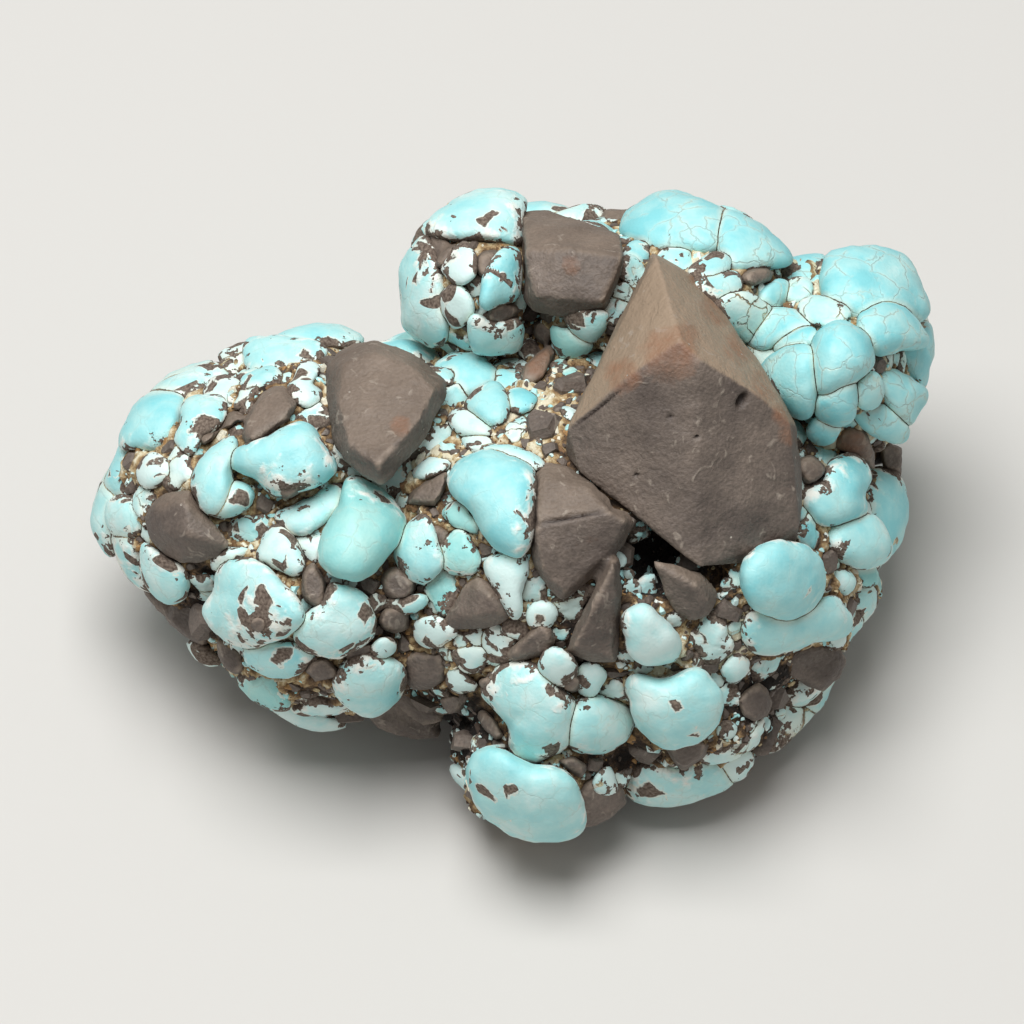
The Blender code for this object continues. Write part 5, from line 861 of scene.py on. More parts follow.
smooth_swellings = swelling_mesh(4, 0.0)
swelling_tree = BVHTree.FromBMesh(smooth_swellings)
print(len(smooth_swellings.verts), "points in the smooth swellings")
smooth_swellings.free()

# %% Spots for the pieces of the hidden sides
HIDDEN_SIDE = 0.06  # a spot is hidden where its normal's z in the face frame is under this
GOLDEN_ANGLE = math.pi * (3.0 - math.sqrt(5.0))
RAY_HUB = FACE @ Vector((4.0, 0.0, -6.0))  # the rays come from all round to this place inside the stone
RAY_LENGTH = 120.0
SINK_STEP, MOST_SINKS = 1.0, 5
SINK_TURNS, SINK_SHARE = 8, 0.3  # a piece is tried at so many places round it, this far up its height
SOFFIT, TUCK = 1.6, 7.0  # the underside is drawn up to the soffit from the tuck's height down


def hidden_spots(count):
    """Evenly spread spots on the groundmass that the show face doesn't cover."""
    for i in range(count):
        z = 1.0 - (2.0 * i + 1.0) / count
        ring = math.sqrt(1.0 - z * z)
        ray = Vector((ring * math.cos(i * GOLDEN_ANGLE), ring * math.sin(i * GOLDEN_ANGLE), z))
        spot, normal, _, _ = swelling_tree.ray_cast(RAY_HUB + ray * RAY_LENGTH, -ray)
        if spot is not None and normal.dot(FACE_OUT) < HIDDEN_SIDE and spot.z > TUCK:
            yield spot, normal


def inside_outline(point):
    """Whether a point lies within the show face's outline."""
    x, y, _ = FACE_INVERSE @ point
    inside = False
    for (ax, ay), (bx, by) in zip(SHOW_OUTLINE, SHOW_OUTLINE[1:] + SHOW_OUTLINE[:1]):
        if (ay > y) != (by > y) and x < ax + (bx - ax) * (y - ay) / (by - ay):
            inside = not inside
    return inside


def sunk_spot(spot, normal, radius, height):
    """The spot moved into the stone until a piece of this size keeps inside the outline, or None."""
    turns = [k * 2 * math.pi / SINK_TURNS for k in range(SINK_TURNS)]
    ring = [(radius * math.cos(a), radius * math.sin(a), SINK_SHARE * height) for a in turns]
    for _ in range(MOST_SINKS):
        seat = spot_seat(spot, normal)
        if all(inside_outline(seat @ Vector(place)) for place in [*ring, (0.0, 0.0, height)]):
            return spot
        spot = spot - normal * SINK_STEP
    return None


print(sum(1 for spot in hidden_spots(100)), "of 100 rays meet a hidden side")

# %% Pieces of the hidden sides
SEED = 7
SPREADS = [(76, (4.6, 7.0), 0.34), (170, (2.4, 4.0), 0.42)]  # (rays, radius range, share that are clasts)
HIDDEN_GRAIN = 0.42
HIDDEN_CROWN, HIDDEN_TABLE = 0.6, 0.42  # a nodule's and a clast's height, as shares of the radius
HIDDEN_WAVE = 0.16
HIDDEN_KINDS = ("pale", "blue", "pale", "white", "pale", "green", "pale", "white", "blue", "pale")
CLAST_CORNERS = 7
NO_OFFSET = Vector((0.0, 0.0))


def wavy_radius(radius, waves):
    """A roundish outline's radius as a function of the angle."""

    def radius_at(angle):
        wobble = sum(
            waves[k, 0] * np.cos((k + 2) * angle) + waves[k, 1] * np.sin((k + 2) * angle)
            for k in range(len(waves))
        )
        return radius * (1.0 + wobble)

    return radius_at


def broken_outline(rng, radius, turn, least, most):
    """A random clast's outline: corners round a circle of this radius, each from least to most of it out."""
    turns = turn + np.sort(rng.uniform(0.0, 2 * math.pi, CLAST_CORNERS))
    return [Vector((math.cos(a), math.sin(a))) * radius * rng.uniform(least, most) for a in turns]


def hidden_pieces():
    """(nodule shells, clast shells) of the back and the flanks."""
    rng = np.random.default_rng(SEED)
    nodules, clasts = [], []
    for count, (least, most), clast_share in SPREADS:
        for spot, normal in hidden_spots(count):
            radius = rng.uniform(least, most)
            waves = rng.uniform(-HIDDEN_WAVE, HIDDEN_WAVE, (3, 2))
            is_clast = rng.random() < clast_share
            crown = HIDDEN_CROWN * radius
            spot = sunk_spot(spot, normal, radius, crown)
            if spot is None:
                continue
            seat = spot_seat(spot, normal)
            if is_clast:
                outline = broken_outline(rng, radius, 0.0, 0.75, 1.0)
                clasts.append(hull_shell(clast_points(seat, NO_OFFSET, outline, HIDDEN_TABLE * radius)))
            else:
                radius_at = wavy_radius(radius, waves)
                shell = nodule_shell(seat, radius_at, crown, crown + NODULE_ROOT, HIDDEN_GRAIN)
                shell["kind"] = HIDDEN_KINDS[len(nodules) % len(HIDDEN_KINDS)]
                nodules.append(shell)
    return nodules, clasts


hidden_nodules, hidden_clasts = hidden_pieces()
print(len(hidden_nodules), "nodules and", len(hidden_clasts), "clasts on the hidden sides")

# %% [markdown]
# ## The resting face
#
# The stone lies on one broken clast. Its outline on the floor is a polygon, and it widens a little above
# that. Everything else is drawn up off the floor, so that the stone rests on this face alone.

# %% Base clast and tucked underside
BASE_OUTLINE = [(-20, -8), (-9, -11), (10, -12), (20, -5), (20, 9), (6, 16), (-12, 14), (-22, 4)]
BASE_HEIGHT = 12.0
BASE_RINGS = ((1.0, -2.0), (1.12, 0.35 * BASE_HEIGHT), (0.7, BASE_HEIGHT))  # (share of the outline, height)


def tucked(points):
    """The points with the underside drawn up, so that the stone rests on its base clast alone."""
    room = TUCK - SOFFIT
    low = SOFFIT + room * np.exp((np.minimum(points[:, 2], TUCK) - TUCK) / room)
    points[:, 2] = np.where(points[:, 2] < TUCK, low, points[:, 2])
    return points


for shell in [*shown_nodules, *hidden_nodules, great_clast, *shown_clasts, *hidden_clasts]:
    shell["points"] = tucked(shell["points"])
base_corners = [Vector((x * share, y * share, z)) for share, z in BASE_RINGS for x, y in BASE_OUTLINE]
hidden_clasts.append(hull_shell(base_corners))
print("base clast has", len(hidden_clasts[-1]["faces"]), "facets")

# %% [markdown]
# ## From shells to meshes and back
#
# Until now every piece has been a list of points and faces in millimetres. These helpers turn shells into
# mesh objects in metres, carry numbers per point along as attributes, and read an evaluated mesh back.

# %% Mesh helpers


def merged(shells):
    """(points, faces) of several shells as one."""
    faces, first = [], 0
    for shell in shells:
        faces += [[index + first for index in face] for face in shell["faces"]]
        first += len(shell["points"])
    return np.vstack([shell["points"] for shell in shells]), faces


def set_values(mesh, key, values):
    """Gives each point of a mesh a number under this name."""
    mesh.attributes.new(key, "FLOAT", "POINT").data.foreach_set("value", np.asarray(values, np.float32))


def joined(name, shells, finish=None, keys=()):
    """One object from several shells, with their per-point values as attributes. It is in metres."""
    points, faces = merged(shells)
    mesh = bpy.data.meshes.new(name)
    mesh.from_pydata((points * MM).tolist(), [], faces)
    mesh.polygons.foreach_set("use_smooth", [True] * len(faces))
    for key in keys:
        set_values(mesh, key, np.concatenate([shell[key] for shell in shells]))
    if finish:
        mesh.materials.append(finish)
    made = bpy.data.objects.new(name, mesh)
    bpy.context.scene.collection.objects.link(made)
    return made


def evaluated_mesh(obj):
    """The object's mesh with its modifiers applied, as a new plain mesh."""
    graph = bpy.context.evaluated_depsgraph_get()
    return bpy.data.meshes.new_from_object(obj.evaluated_get(graph))


def read_vectors(source, key, count):
    """A mesh's vectors as an array with a row for each."""
    flat = np.empty(count * 3, np.float32)
    source.foreach_get(key, flat)
    return flat.reshape(-1, 3).astype(float)


def shell_of(mesh):
    """A mesh as a dictionary of points in millimetres, faces and normals."""
    count = len(mesh.vertices)
    return {
        "points": read_vectors(mesh.vertices, "co", count) / MM,
        "normals": read_vectors(mesh.vertex_normals, "vector", count),
        "faces": [list(polygon.vertices) for polygon in mesh.polygons],
    }


def fused(name, shells, voxel, passes):
    """Shells made one even skin by a voxel remesh, softened by this many smoothing passes, as a shell."""
    rough = joined(name, shells)
    fuse = rough.modifiers.new("fuse", "REMESH")
    fuse.mode = "VOXEL"
    fuse.voxel_size = voxel * MM
    if passes:
        rough.modifiers.new("soften", "SMOOTH").iterations = passes
    skin = shell_of(evaluated_mesh(rough))
    bpy.data.objects.remove(rough)
    return skin


def triangles(mesh):
    """How many triangles a mesh has."""
    mesh.calc_loop_triangles()
    return len(mesh.loop_triangles)


def tree_of(shell):
    """A search tree for rays and nearest points."""
    return BVHTree.FromPolygons(shell["points"].tolist(), shell["faces"])


print("great clast's hull:", len(merged([great_clast])[0]), "corners")

# %% [markdown]
# ## The groundmass, and where it is open
#
# The groundmass shows only between the pieces. The swellings are fused to one skin by a voxel remesh, pits are
# sunk into it, and each of its points is told whether it is open: a ray goes out along the normal, and where it
# leaves a nodule or a clast, the point is buried. The spots say where the cement is rusty, and where it is
# darkened with painted shade in the lower half of the show face and the pit under the great clast.
# %% Spots of the groundmass
PITS = [(14.2, -4.4, 4.6, 8.0), (19.4, -6.4, 2.6, 3.0), (14.8, -14.2, 1.6, 1.0)]  # (x, y, reach, depth)
OCHRE_SPOTS = [  # (x, y, reach) on the show face
    (-8.7, 5.2, 4.0), (3.3, 9.7, 5.2), (18.6, 24.5, 2.2), (24.0, 15.7, 4.2), (33.8, 6.2, 5.0),
    (20.8, -11.8, 4.6), (15.0, -15.8, 4.4), (29.8, 22.5, 2.0), (36.5, 15.4, 2.0), (-2.0, 4.4, 4.0),
    (26.0, 7.0, 3.0),
]
# spots of painted shade, (x, y, reach) on the show face: the lower half and the pit under the great clast
SHADE_SPOTS = [
    (-31.2, -7.8, 4.2), (10.3, -24.3, 6.0), (24.3, -18.5, 6.0), (-4.7, -21.8, 6.0), (14.5, -4.5, 6.0),
    (8.0, -12.0, 5.0), (-14.0, -12.5, 5.0),
]


def face_places(points):
    """Points in the frame of the show face."""
    return moved(FACE_INVERSE, points)


def spots_at(places, spots, heart=0.35):
    """How much each place lies in one of the soft round spots: fully within heart times the reach."""
    total = np.zeros(len(places))
    for x, y, reach in spots:
        away = np.hypot(places[:, 0] - x, places[:, 1] - y)
        total = np.maximum(total, 1.0 - eased(away, heart * reach, reach))
    return total


print(len(OCHRE_SPOTS), "ochre and", len(SHADE_SPOTS), "dark spots")

# %% Groundmass skin
GROUND_VOXEL = 0.5
PIT_HEART = 0.45  # a pit is at its full depth within this share of its reach
PIT_FLOOR = 5.0  # a pit goes only into the part of the groundmass that stands out this far
PIECE_CLEARANCE = 0.2  # boxes are widened by this much before a ray is asked about them
COVER_REACH = 12.0


def cover_of(points, normals, shells):
    """1 where a point is open to the air, 0 where a piece covers it."""
    opened = np.ones(len(points))
    for shell in shells:
        tree = tree_of(shell)
        low, high = shell["points"].min(0) - PIECE_CLEARANCE, shell["points"].max(0) + PIECE_CLEARANCE
        inside = (points > low).all(1) & (points < high).all(1) & (opened > 0)
        for k in np.flatnonzero(inside):
            normal = Vector(normals[k])
            spot, out, _, _ = tree.ray_cast(Vector(points[k]), normal, COVER_REACH)
            if spot is not None and out.dot(normal) > 0.0:
                opened[k] = 0.0
    return opened


swellings = swelling_mesh(5, LUMP_HEIGHT)
rough_mesh = bpy.data.meshes.new("swellings")
swellings.to_mesh(rough_mesh)
swellings.free()
rough_mesh.transform(Matrix.Scale(MM, 4))
ground = fused("swellings", [shell_of(rough_mesh)], GROUND_VOXEL, 0)
places = face_places(ground["points"])
for x, y, reach, depth in PITS:
    drop = depth * spots_at(places, [(x, y, reach)], PIT_HEART) * (places[:, 2] > PIT_FLOOR)
    ground["points"] -= np.array(FACE_OUT) * drop[:, None]
ground["points"] = tucked(ground["points"])
rocks = [great_clast, *shown_clasts, *hidden_clasts]
nodules = shown_nodules + hidden_nodules
ground["open"] = cover_of(ground["points"], ground["normals"], nodules + rocks)
print(len(ground["points"]), "points in the groundmass,", int(ground["open"].sum()), "open")

# %% [markdown]
# ## Filling the gaps
#
# The drawn pieces leave gaps, and on the real stone these are packed with smaller ones: buds of chalky
# turquoise and broken bits of rock. The widest gap is filled first, then the next, each with a piece as wide as
# the gap allows, which packs them as tightly as they grew. Some of the smaller gaps stay open, more of them in
# the rusty spots and the spots of painted shade, and so do the pits.

# %% Gap filler
SMALLEST_FILL, LARGEST_FILL = 0.5, 2.2  # radii
SMALLEST_BACK_FILL = 1.0
FILL_SQUEEZE = 1.15  # a piece is pressed this much wider than its gap
FILL_SINK = 0.15  # and sunk by this share of its radius
FILL_GRAIN, FILL_WAVE = 0.26, 0.2
FILL_RIPPLE = 0.17  # chalky buds are crumbly
FILL_ROOT = 0.7
FILL_CROWN, FILL_TABLE = 0.55, 0.6  # a bud's and a bit of rock's height, as shares of the radius
FILL_KINDS = (None, None, None, "pale", "white", "cream")  # None takes the kind of the nodule beside it
PLAIN_GAPS, OCHRE_GAPS, SHADE_GAPS = 0.1, 0.35, 0.35  # the share of the gaps that stay open
LARGEST_GAP = 1.2  # no wider gap stays open, but for those in the pits
PIT_SHARE = 0.5  # a gap this much inside a pit's spot stays open
ROCK_SHARE = 0.42
PLUGS = [  # bits of rock behind the rim's notches: each one's corners (x, y, z)
    [
        (35.6, 4.4, -14.0), (38.9, 5.2, -13.0), (38.2, 8.4, -12.4), (36.0, 7.8, -14.0),
        (36.4, 4.8, -7.6), (38.4, 6.2, -8.6), (36.8, 8.2, -8.0), (38.7, 7.4, -10.4),
    ],
]


def free_room(points, shells):
    """How far each point is from the nearest piece."""
    corners, faces = merged(shells)
    tree = BVHTree.FromPolygons(corners.tolist(), faces)
    return np.array([tree.find_nearest(Vector(point))[3] for point in points])


def filled_gaps():
    """(nodule shells, rock shells) for the open groundmass."""
    rng = np.random.default_rng(SEED + 2)
    spots = np.flatnonzero(ground["open"] > 0)
    points, normals = ground["points"][spots], ground["normals"][spots]
    room = free_room(points, nodules + rocks)
    shown = normals @ np.array(FACE_OUT) > HIDDEN_SIDE
    least = np.where(shown, SMALLEST_FILL, SMALLEST_BACK_FILL)
    where = face_places(points)
    ochre, shade_spot = spots_at(where, OCHRE_SPOTS), spots_at(where, SHADE_SPOTS)
    open_share = np.maximum(PLAIN_GAPS, np.maximum(OCHRE_GAPS * ochre, SHADE_GAPS * shade_spot))
    in_pit = spots_at(where, [spot[:3] for spot in PITS]) > PIT_SHARE
    hubs, reaches = np.empty((0, 3)), np.empty(0)
    buds, chips = [], []
    for k in np.argsort(-room):
        radius = min(room[k] * FILL_SQUEEZE, LARGEST_FILL)
        if len(hubs):
            radius = min(radius, FILL_SQUEEZE * (np.linalg.norm(hubs - points[k], axis=1) - reaches).min())
        if radius < least[k] or points[k][2] < TUCK:
            continue
        hubs, reaches = np.vstack([hubs, points[k]]), np.append(reaches, radius)
        chance, turn, number = rng.random(), rng.uniform(0.0, 2 * math.pi), rng.integers(len(FILL_KINDS))
        waves = rng.uniform(-FILL_WAVE, FILL_WAVE, (3, 2))
        if in_pit[k] or (radius < LARGEST_GAP and chance < open_share[k]):
            continue
        seat = spot_seat(Vector(points[k] - FILL_SINK * radius * normals[k]), Vector(normals[k]))
        if chance > 1.0 - ROCK_SHARE:
            outline = broken_outline(rng, radius, turn, 0.8, 1.1)
            chips.append(hull_shell(clast_points(seat, NO_OFFSET, outline, FILL_TABLE * radius)))
        else:
            outline = wavy_radius(radius, waves)
            shell = nodule_shell(seat, outline, FILL_CROWN * radius, FILL_ROOT, FILL_GRAIN, FILL_RIPPLE)
            beside = min(shown_nodules, key=lambda nodule: np.hypot(*(nodule["at"] - where[k][:2])))
            own = FILL_KINDS[number] or beside["kind"]
            shell.update(kind=own if shown[k] else "pale", at=where[k][:2], shown=shown[k])
            buds.append(shell)
    return buds, chips


fill_nodules, fill_rocks = filled_gaps()
fill_rocks += [hull_shell([FACE @ Vector(corner) for corner in corners]) for corners in PLUGS]
ground["open"] *= cover_of(ground["points"], ground["normals"], fill_nodules + fill_rocks)
print(len(fill_nodules), "buds,", len(fill_rocks), "bits of rock,", int(ground["open"].sum()), "points open")

# %% [markdown]
# ## Where the pieces meet
#
# Turquoise weathers to a chalky white rind where it was in touch with cement or rock, and keeps its blue in
# the middle of a nodule. Where two nodules meet there is only a fine crease. So each nodule point learns two
# distances: to its edge, which is the groundmass at its foot or a rock's surface, and to the nearest other
# nodule. They are signed, so the line where two shells cross is exact.

# %% Distance to the nearest edge
RIND_REACH = 2.6  # beyond this a neighbour doesn't count, in millimetres
FOOT_REACH = 8.0
ROOT_START, ROOT_DEPTH = 2.0, 0.5  # a root starts this far below its rim, and is at least this deep
OUTER_SKIN = -0.4  # points deeper in the root than this never show, so they aren't measured


def measure_feet(nodules):
    """Where a nodule leans out over the groundmass its root is tucked in, and its edge is where they meet."""
    ground_tree = tree_of(ground)
    for shell in nodules:
        for k, place in enumerate(shell["points"]):
            point = Vector(place)
            spot, normal, _, distance = ground_tree.find_nearest(point, FOOT_REACH)
            if spot is None:
                continue
            height = math.copysign(distance, (point - spot).dot(normal))
            if shell["edge"][k] < -ROOT_START and height > -ROOT_DEPTH:
                shell["points"][k] = spot - normal * ROOT_DEPTH
                height = -ROOT_DEPTH
            shell["edge"][k] = max(shell["edge"][k], height - NODULE_SIT)


def measure_edges(nodules, others):
    """Lowers each nodule's edge distances to those of the rocks about it, and adds those to other nodules."""
    solids = nodules + others
    trees = [tree_of(shell) for shell in solids]
    lows = np.array([shell["points"].min(0) for shell in solids]) - RIND_REACH
    highs = np.array([shell["points"].max(0) for shell in solids]) + RIND_REACH
    asked = 0
    for own, shell in enumerate(nodules):
        points, edge = shell["points"], shell["edge"]
        shell["crease"] = np.full(len(points), RIND_REACH)
        outer = edge > OUTER_SKIN
        for other, tree in enumerate(trees):
            apart = (points.max(0) < lows[other]) | (points.min(0) > highs[other])
            if other == own or apart.any():
                continue
            met = shell["crease"] if other < len(nodules) else edge
            near = outer & (points > lows[other]).all(1) & (points < highs[other]).all(1)
            for k in np.flatnonzero(near):
                point = Vector(points[k])
                spot, normal, _, distance = tree.find_nearest(point, RIND_REACH)
                if spot is not None:
                    met[k] = min(met[k], math.copysign(distance, (point - spot).dot(normal)))
            asked += int(near.sum())
    return asked


measure_feet(nodules + fill_nodules)
print(measure_edges(nodules + fill_nodules, rocks + fill_rocks), "distances measured")

# %% [markdown]
# ## Turquoise
#
# Turquoise is a hydrous copper aluminium phosphate. Tumbled or handled, it takes a waxy shine, and where it
# has weathered it is white and chalky. So the colour runs from bare rock at the torn rim through a white rind
# to the blue of the middle, and the shine follows it. Thin cracks are filled with cement and have cream
# borders. To the eye it is pale, soft and a little uneven, never glassy. In the nodes below, a Map Range
# takes its value, the range that it comes from and the range that it goes to, as inputs 0, 1-2 and 3-4, and a
# Mix takes its share and two colours, as 0, 6 and 7.

# %% Names of the kinds of node that are used most
PLACE = "ShaderNodeTexCoord"
ATTRIBUTE = "ShaderNodeAttribute"
NOISE = "ShaderNodeTexNoise"
CELLS = "ShaderNodeTexVoronoi"
MATH = "ShaderNodeMath"
VECTOR_MATH = "ShaderNodeVectorMath"
RANGE = "ShaderNodeMapRange"
RAMP = "ShaderNodeValToRGB"
MIX = "ShaderNodeMix"
SPLIT = "ShaderNodeSeparateColor"
BUMP = "ShaderNodeBump"
print("node kinds named")

# %% Waxy turquoise: places and distances
NODULE_KEYS = ("edge", "crease", "rind", "blue", "green", "veins", "patches")
WANDER_MM = 1.5  # the rind's width wanders over this distance
CLOUD_MM = 4.6
GRAIN_MM = 0.28  # its real grain is finer; this is as fine as shows
PATCH_MM = 2.05
JAG_MM = 1.4
CRACK_CELL_MM = 3.1

turquoise, tree, shader = new_material("waxy_turquoise")
place = add(tree, PLACE).outputs["Object"]
edge, crease, rind, blue, green, veins, patches = (
    add(tree, ATTRIBUTE, attribute_name=key).outputs["Fac"] for key in NODULE_KEYS
)
wander = add(tree, NOISE, {"Vector": place, "Scale": 1 / (WANDER_MM * MM), "Detail": 4.0})
cloud = add(tree, NOISE, {"Vector": place, "Scale": 1 / (CLOUD_MM * MM), "Detail": 5.0, "Roughness": 0.62})
grit = add(tree, NOISE, {"Vector": place, "Scale": 1 / (GRAIN_MM * MM), "Detail": 3.0})
wander_swing = add(tree, MATH, {0: wander, 1: 0.5}, operation="SUBTRACT")
cloud_swing = add(tree, MATH, {0: cloud, 1: 0.5}, operation="SUBTRACT")
grit_swing = add(tree, MATH, {0: grit, 1: 0.5}, operation="SUBTRACT")
print(turquoise.name, "reads", *NODULE_KEYS)

# %% Waxy turquoise: from the chalky rind to the blue of the middle
swing = add(tree, MATH, {0: wander_swing, 1: 4.0}, operation="MULTIPLY")
rind_swing = add(tree, MATH, {0: swing, 1: rind, 2: edge}, operation="MULTIPLY_ADD")
rind_end = add(tree, MATH, {0: rind, 1: 0.1}, operation="ADD")
core = add(tree, RANGE, {0: rind_swing, 1: -0.3, 2: rind_end}, interpolation_type="SMOOTHSTEP")
blueness = add(tree, MATH, {0: cloud_swing, 1: 2.0, 2: blue}, operation="MULTIPLY_ADD", use_clamp=True)
fill = add(tree, MATH, {0: blueness, 1: 0.75, 2: 0.25}, operation="MULTIPLY_ADD")
strength = add(tree, MATH, {0: core, 1: fill}, operation="MULTIPLY")
SEA_STOPS = [(0.0, "#EDEFE6"), (0.22, "#DAEFEB"), (0.55, "#B2E5E4"), (1.0, "#86D3D9")]
sea = add(tree, RAMP, {0: strength}, SEA_STOPS)
leafy = add(tree, MATH, {0: green, 1: core}, operation="MULTIPLY")
leafier = add(tree, MATH, {0: leafy, 1: 0.6}, operation="MULTIPLY")
body = add(tree, MIX, {0: leafier, 6: sea, 7: linear("#A3CBAF")}, data_type="RGBA")
print("chalk to blue in", len(SEA_STOPS), "stops")

# %% Waxy turquoise: cracks with cream borders, along the borders of distorted cells
bend = add(tree, VECTOR_MATH, {0: wander.outputs["Color"], "Scale": 1.8 * MM}, operation="SCALE")
bent = add(tree, VECTOR_MATH, {0: place, 1: bend}, operation="ADD")
crack_scale = 1 / (CRACK_CELL_MM * MM)
cells = add(tree, CELLS, {"Vector": bent, "Scale": crack_scale}, feature="DISTANCE_TO_EDGE")
crack_line = add(tree, RANGE, {0: cells, 1: 0.028, 2: 0.008})
crack_halo = add(tree, RANGE, {0: cells, 1: 0.15, 2: 0.02})
broken = add(tree, RANGE, {0: cloud, 1: 0.6, 2: 0.46})
crack_share = add(tree, MATH, {0: veins, 1: broken}, operation="MULTIPLY", use_clamp=True)
crack = add(tree, MATH, {0: crack_line, 1: crack_share}, operation="MULTIPLY")
halo = add(tree, MATH, {0: crack_halo, 1: crack_share}, operation="MULTIPLY")
print("cracks run round cells of", CRACK_CELL_MM, "mm")

# %% Waxy turquoise: the crease where two nodules meet, brown in places and cream in others
crease_frayed = add(tree, MATH, {0: grit_swing, 1: 0.16, 2: crease}, operation="MULTIPLY_ADD")
crease_line = add(tree, RANGE, {0: crease_frayed, 1: 0.09, 2: 0.03})
crease_halo = add(tree, RANGE, {0: crease, 1: 0.7, 2: 0.0, 4: 0.8})
fold = add(tree, MATH, {0: crease_line, 1: crack}, operation="MAXIMUM")
fold_halo = add(tree, MATH, {0: crease_halo, 1: halo}, operation="MAXIMUM")
fold_tone = add(tree, RAMP, {0: wander}, [(0.42, "#5B4732"), (0.52, "#97805C"), (0.6, "#CDC8A8")])
bordered = add(tree, MIX, {0: fold_halo, 6: body, 7: linear("#DDEBDF")}, data_type="RGBA")
folded = add(tree, MIX, {0: fold, 6: bordered, 7: fold_tone}, data_type="RGBA")
print("creases and cracks share one tone and one border")

# %% Waxy turquoise: chips of rock set in it, each one cell of a distorted mosaic, with a chalky border
jag = add(tree, NOISE, {"Vector": place, "Scale": 1 / (JAG_MM * MM), "Detail": 3.0, "Roughness": 0.6})
jag_bend = add(tree, VECTOR_MATH, {0: jag.outputs["Color"], "Scale": 1.1 * MM}, operation="SCALE")
jagged = add(tree, VECTOR_MATH, {0: place, 1: jag_bend}, operation="ADD")
mosaic = {"Vector": jagged, "Scale": 1 / (PATCH_MM * MM)}
chips = add(tree, CELLS, mosaic)
chip_borders = add(tree, CELLS, mosaic, feature="DISTANCE_TO_EDGE")
chance = add(tree, SPLIT, {0: chips.outputs["Color"]})
chosen = add(tree, MATH, {0: chance, 1: patches}, operation="LESS_THAN")
chip_body = add(tree, RANGE, {0: chip_borders, 1: 0.05, 2: 0.09})
patch = add(tree, MATH, {0: chosen, 1: chip_body}, operation="MULTIPLY")
chalk_share = add(tree, MATH, {0: chosen, 1: 0.75}, operation="MULTIPLY")
chalked = add(tree, MIX, {0: chalk_share, 6: folded, 7: linear("#E6E8DC")}, data_type="RGBA")
print("chips of rock are about", PATCH_MM, "mm across")

# %% Waxy turquoise: its ragged rim, where the skin is torn back from the rock
raggedness = add(tree, MATH, {0: rind, 1: 0.75}, operation="MULTIPLY", use_clamp=True)
tear = add(tree, MATH, {0: jag, 1: 8.5, 2: -4.7}, operation="MULTIPLY_ADD")
torn = add(tree, MATH, {0: tear, 1: raggedness}, operation="MULTIPLY")
frayed = add(tree, MATH, {0: grit_swing, 1: 0.6, 2: torn}, operation="MULTIPLY_ADD")
near = add(tree, MATH, {0: edge, 1: frayed}, operation="ADD")
bare = add(tree, RANGE, {0: near, 1: 0.1, 2: 0.04})
uncovered = add(tree, MATH, {0: bare, 1: patch}, operation="MAXIMUM")
matrix_tone = add(tree, RAMP, {0: grit}, [(0.34, "#51443B"), (0.5, "#6C5F55"), (0.66, "#85776A")])
skin = add(tree, MIX, {0: uncovered, 6: chalked, 7: matrix_tone}, data_type="RGBA")
print("tears are about", JAG_MM, "mm wide")

# %% Waxy turquoise: shine and relief
RELIEF_MM = 0.16

shine = add(tree, RANGE, {0: core, 3: 0.75, 4: 0.52})
dull = add(tree, MATH, {0: shine, 1: uncovered}, operation="MAXIMUM")
cut = add(tree, MATH, {0: fold, 1: uncovered}, operation="MAXIMUM")
chalky = add(tree, MATH, {0: 1.0, 1: core}, operation="SUBTRACT")
crusty = add(tree, MATH, {0: jag, 1: chalky}, operation="MULTIPLY")
raised = add(tree, MATH, {0: grit, 1: 0.3, 2: crusty}, operation="MULTIPLY_ADD")
rough = add(tree, MATH, {0: raised, 1: cut}, operation="SUBTRACT")
relief = add(tree, BUMP, {"Height": rough, "Distance": RELIEF_MM * MM, "Strength": 0.9})
feed(shader, {"Base Color": skin, "Roughness": dull, "Normal": relief, "IOR": 1.5})
print(turquoise.name, len(tree.nodes), "nodes")

# %% [markdown]
# ## Host rock
#
# The clasts are fine-grained volcanic rock, weathered taupe. Broken stone is matt to the eye, with a faint
# speckle of grain, small pits where crystals fell out, paler worn edges, and rusty stains where water ran. The
# pits and the dents are painted near black as painted shade, and the faces that look up the show face are
# painted lighter as painted light. The stains, the worn edges, the dents and the painted light follow the
# shape, so they come as attributes; the rest is noise at its size.

# %% Weathered host rock: grain, painted light on the upper faces, scuffs and worn edges
ROCK_KEYS = ("wear", "rust", "dent_shade", "top_light")
SPECKLE_MM = 0.35
MOTTLE_MM = 5.0
PIT_MM = 2.1
STAIN_MM = 2.6
SCUFF_MM = 1.9

host_rock, tree, shader = new_material("weathered_host_rock")
place = add(tree, PLACE).outputs["Object"]
wear, rust, dent_shade, top_light = (add(tree, ATTRIBUTE, attribute_name=key).outputs["Fac"] for key in ROCK_KEYS)
mottle = add(tree, NOISE, {"Vector": place, "Scale": 1 / (MOTTLE_MM * MM), "Detail": 5.0})
ROCK_STOPS = [(0.3, "#534943"), (0.48, "#655A52"), (0.6, "#6E6259"), (0.75, "#7A6D63")]
rock = add(tree, RAMP, {0: mottle}, ROCK_STOPS)
speckle = add(tree, NOISE, {"Vector": place, "Scale": 1 / (SPECKLE_MM * MM), "Detail": 2.0})
grain_tone = add(tree, RANGE, {0: speckle, 1: 0.3, 2: 0.7, 3: 0.82, 4: 1.16})
grained = add(tree, VECTOR_MATH, {0: rock, "Scale": grain_tone}, operation="SCALE")
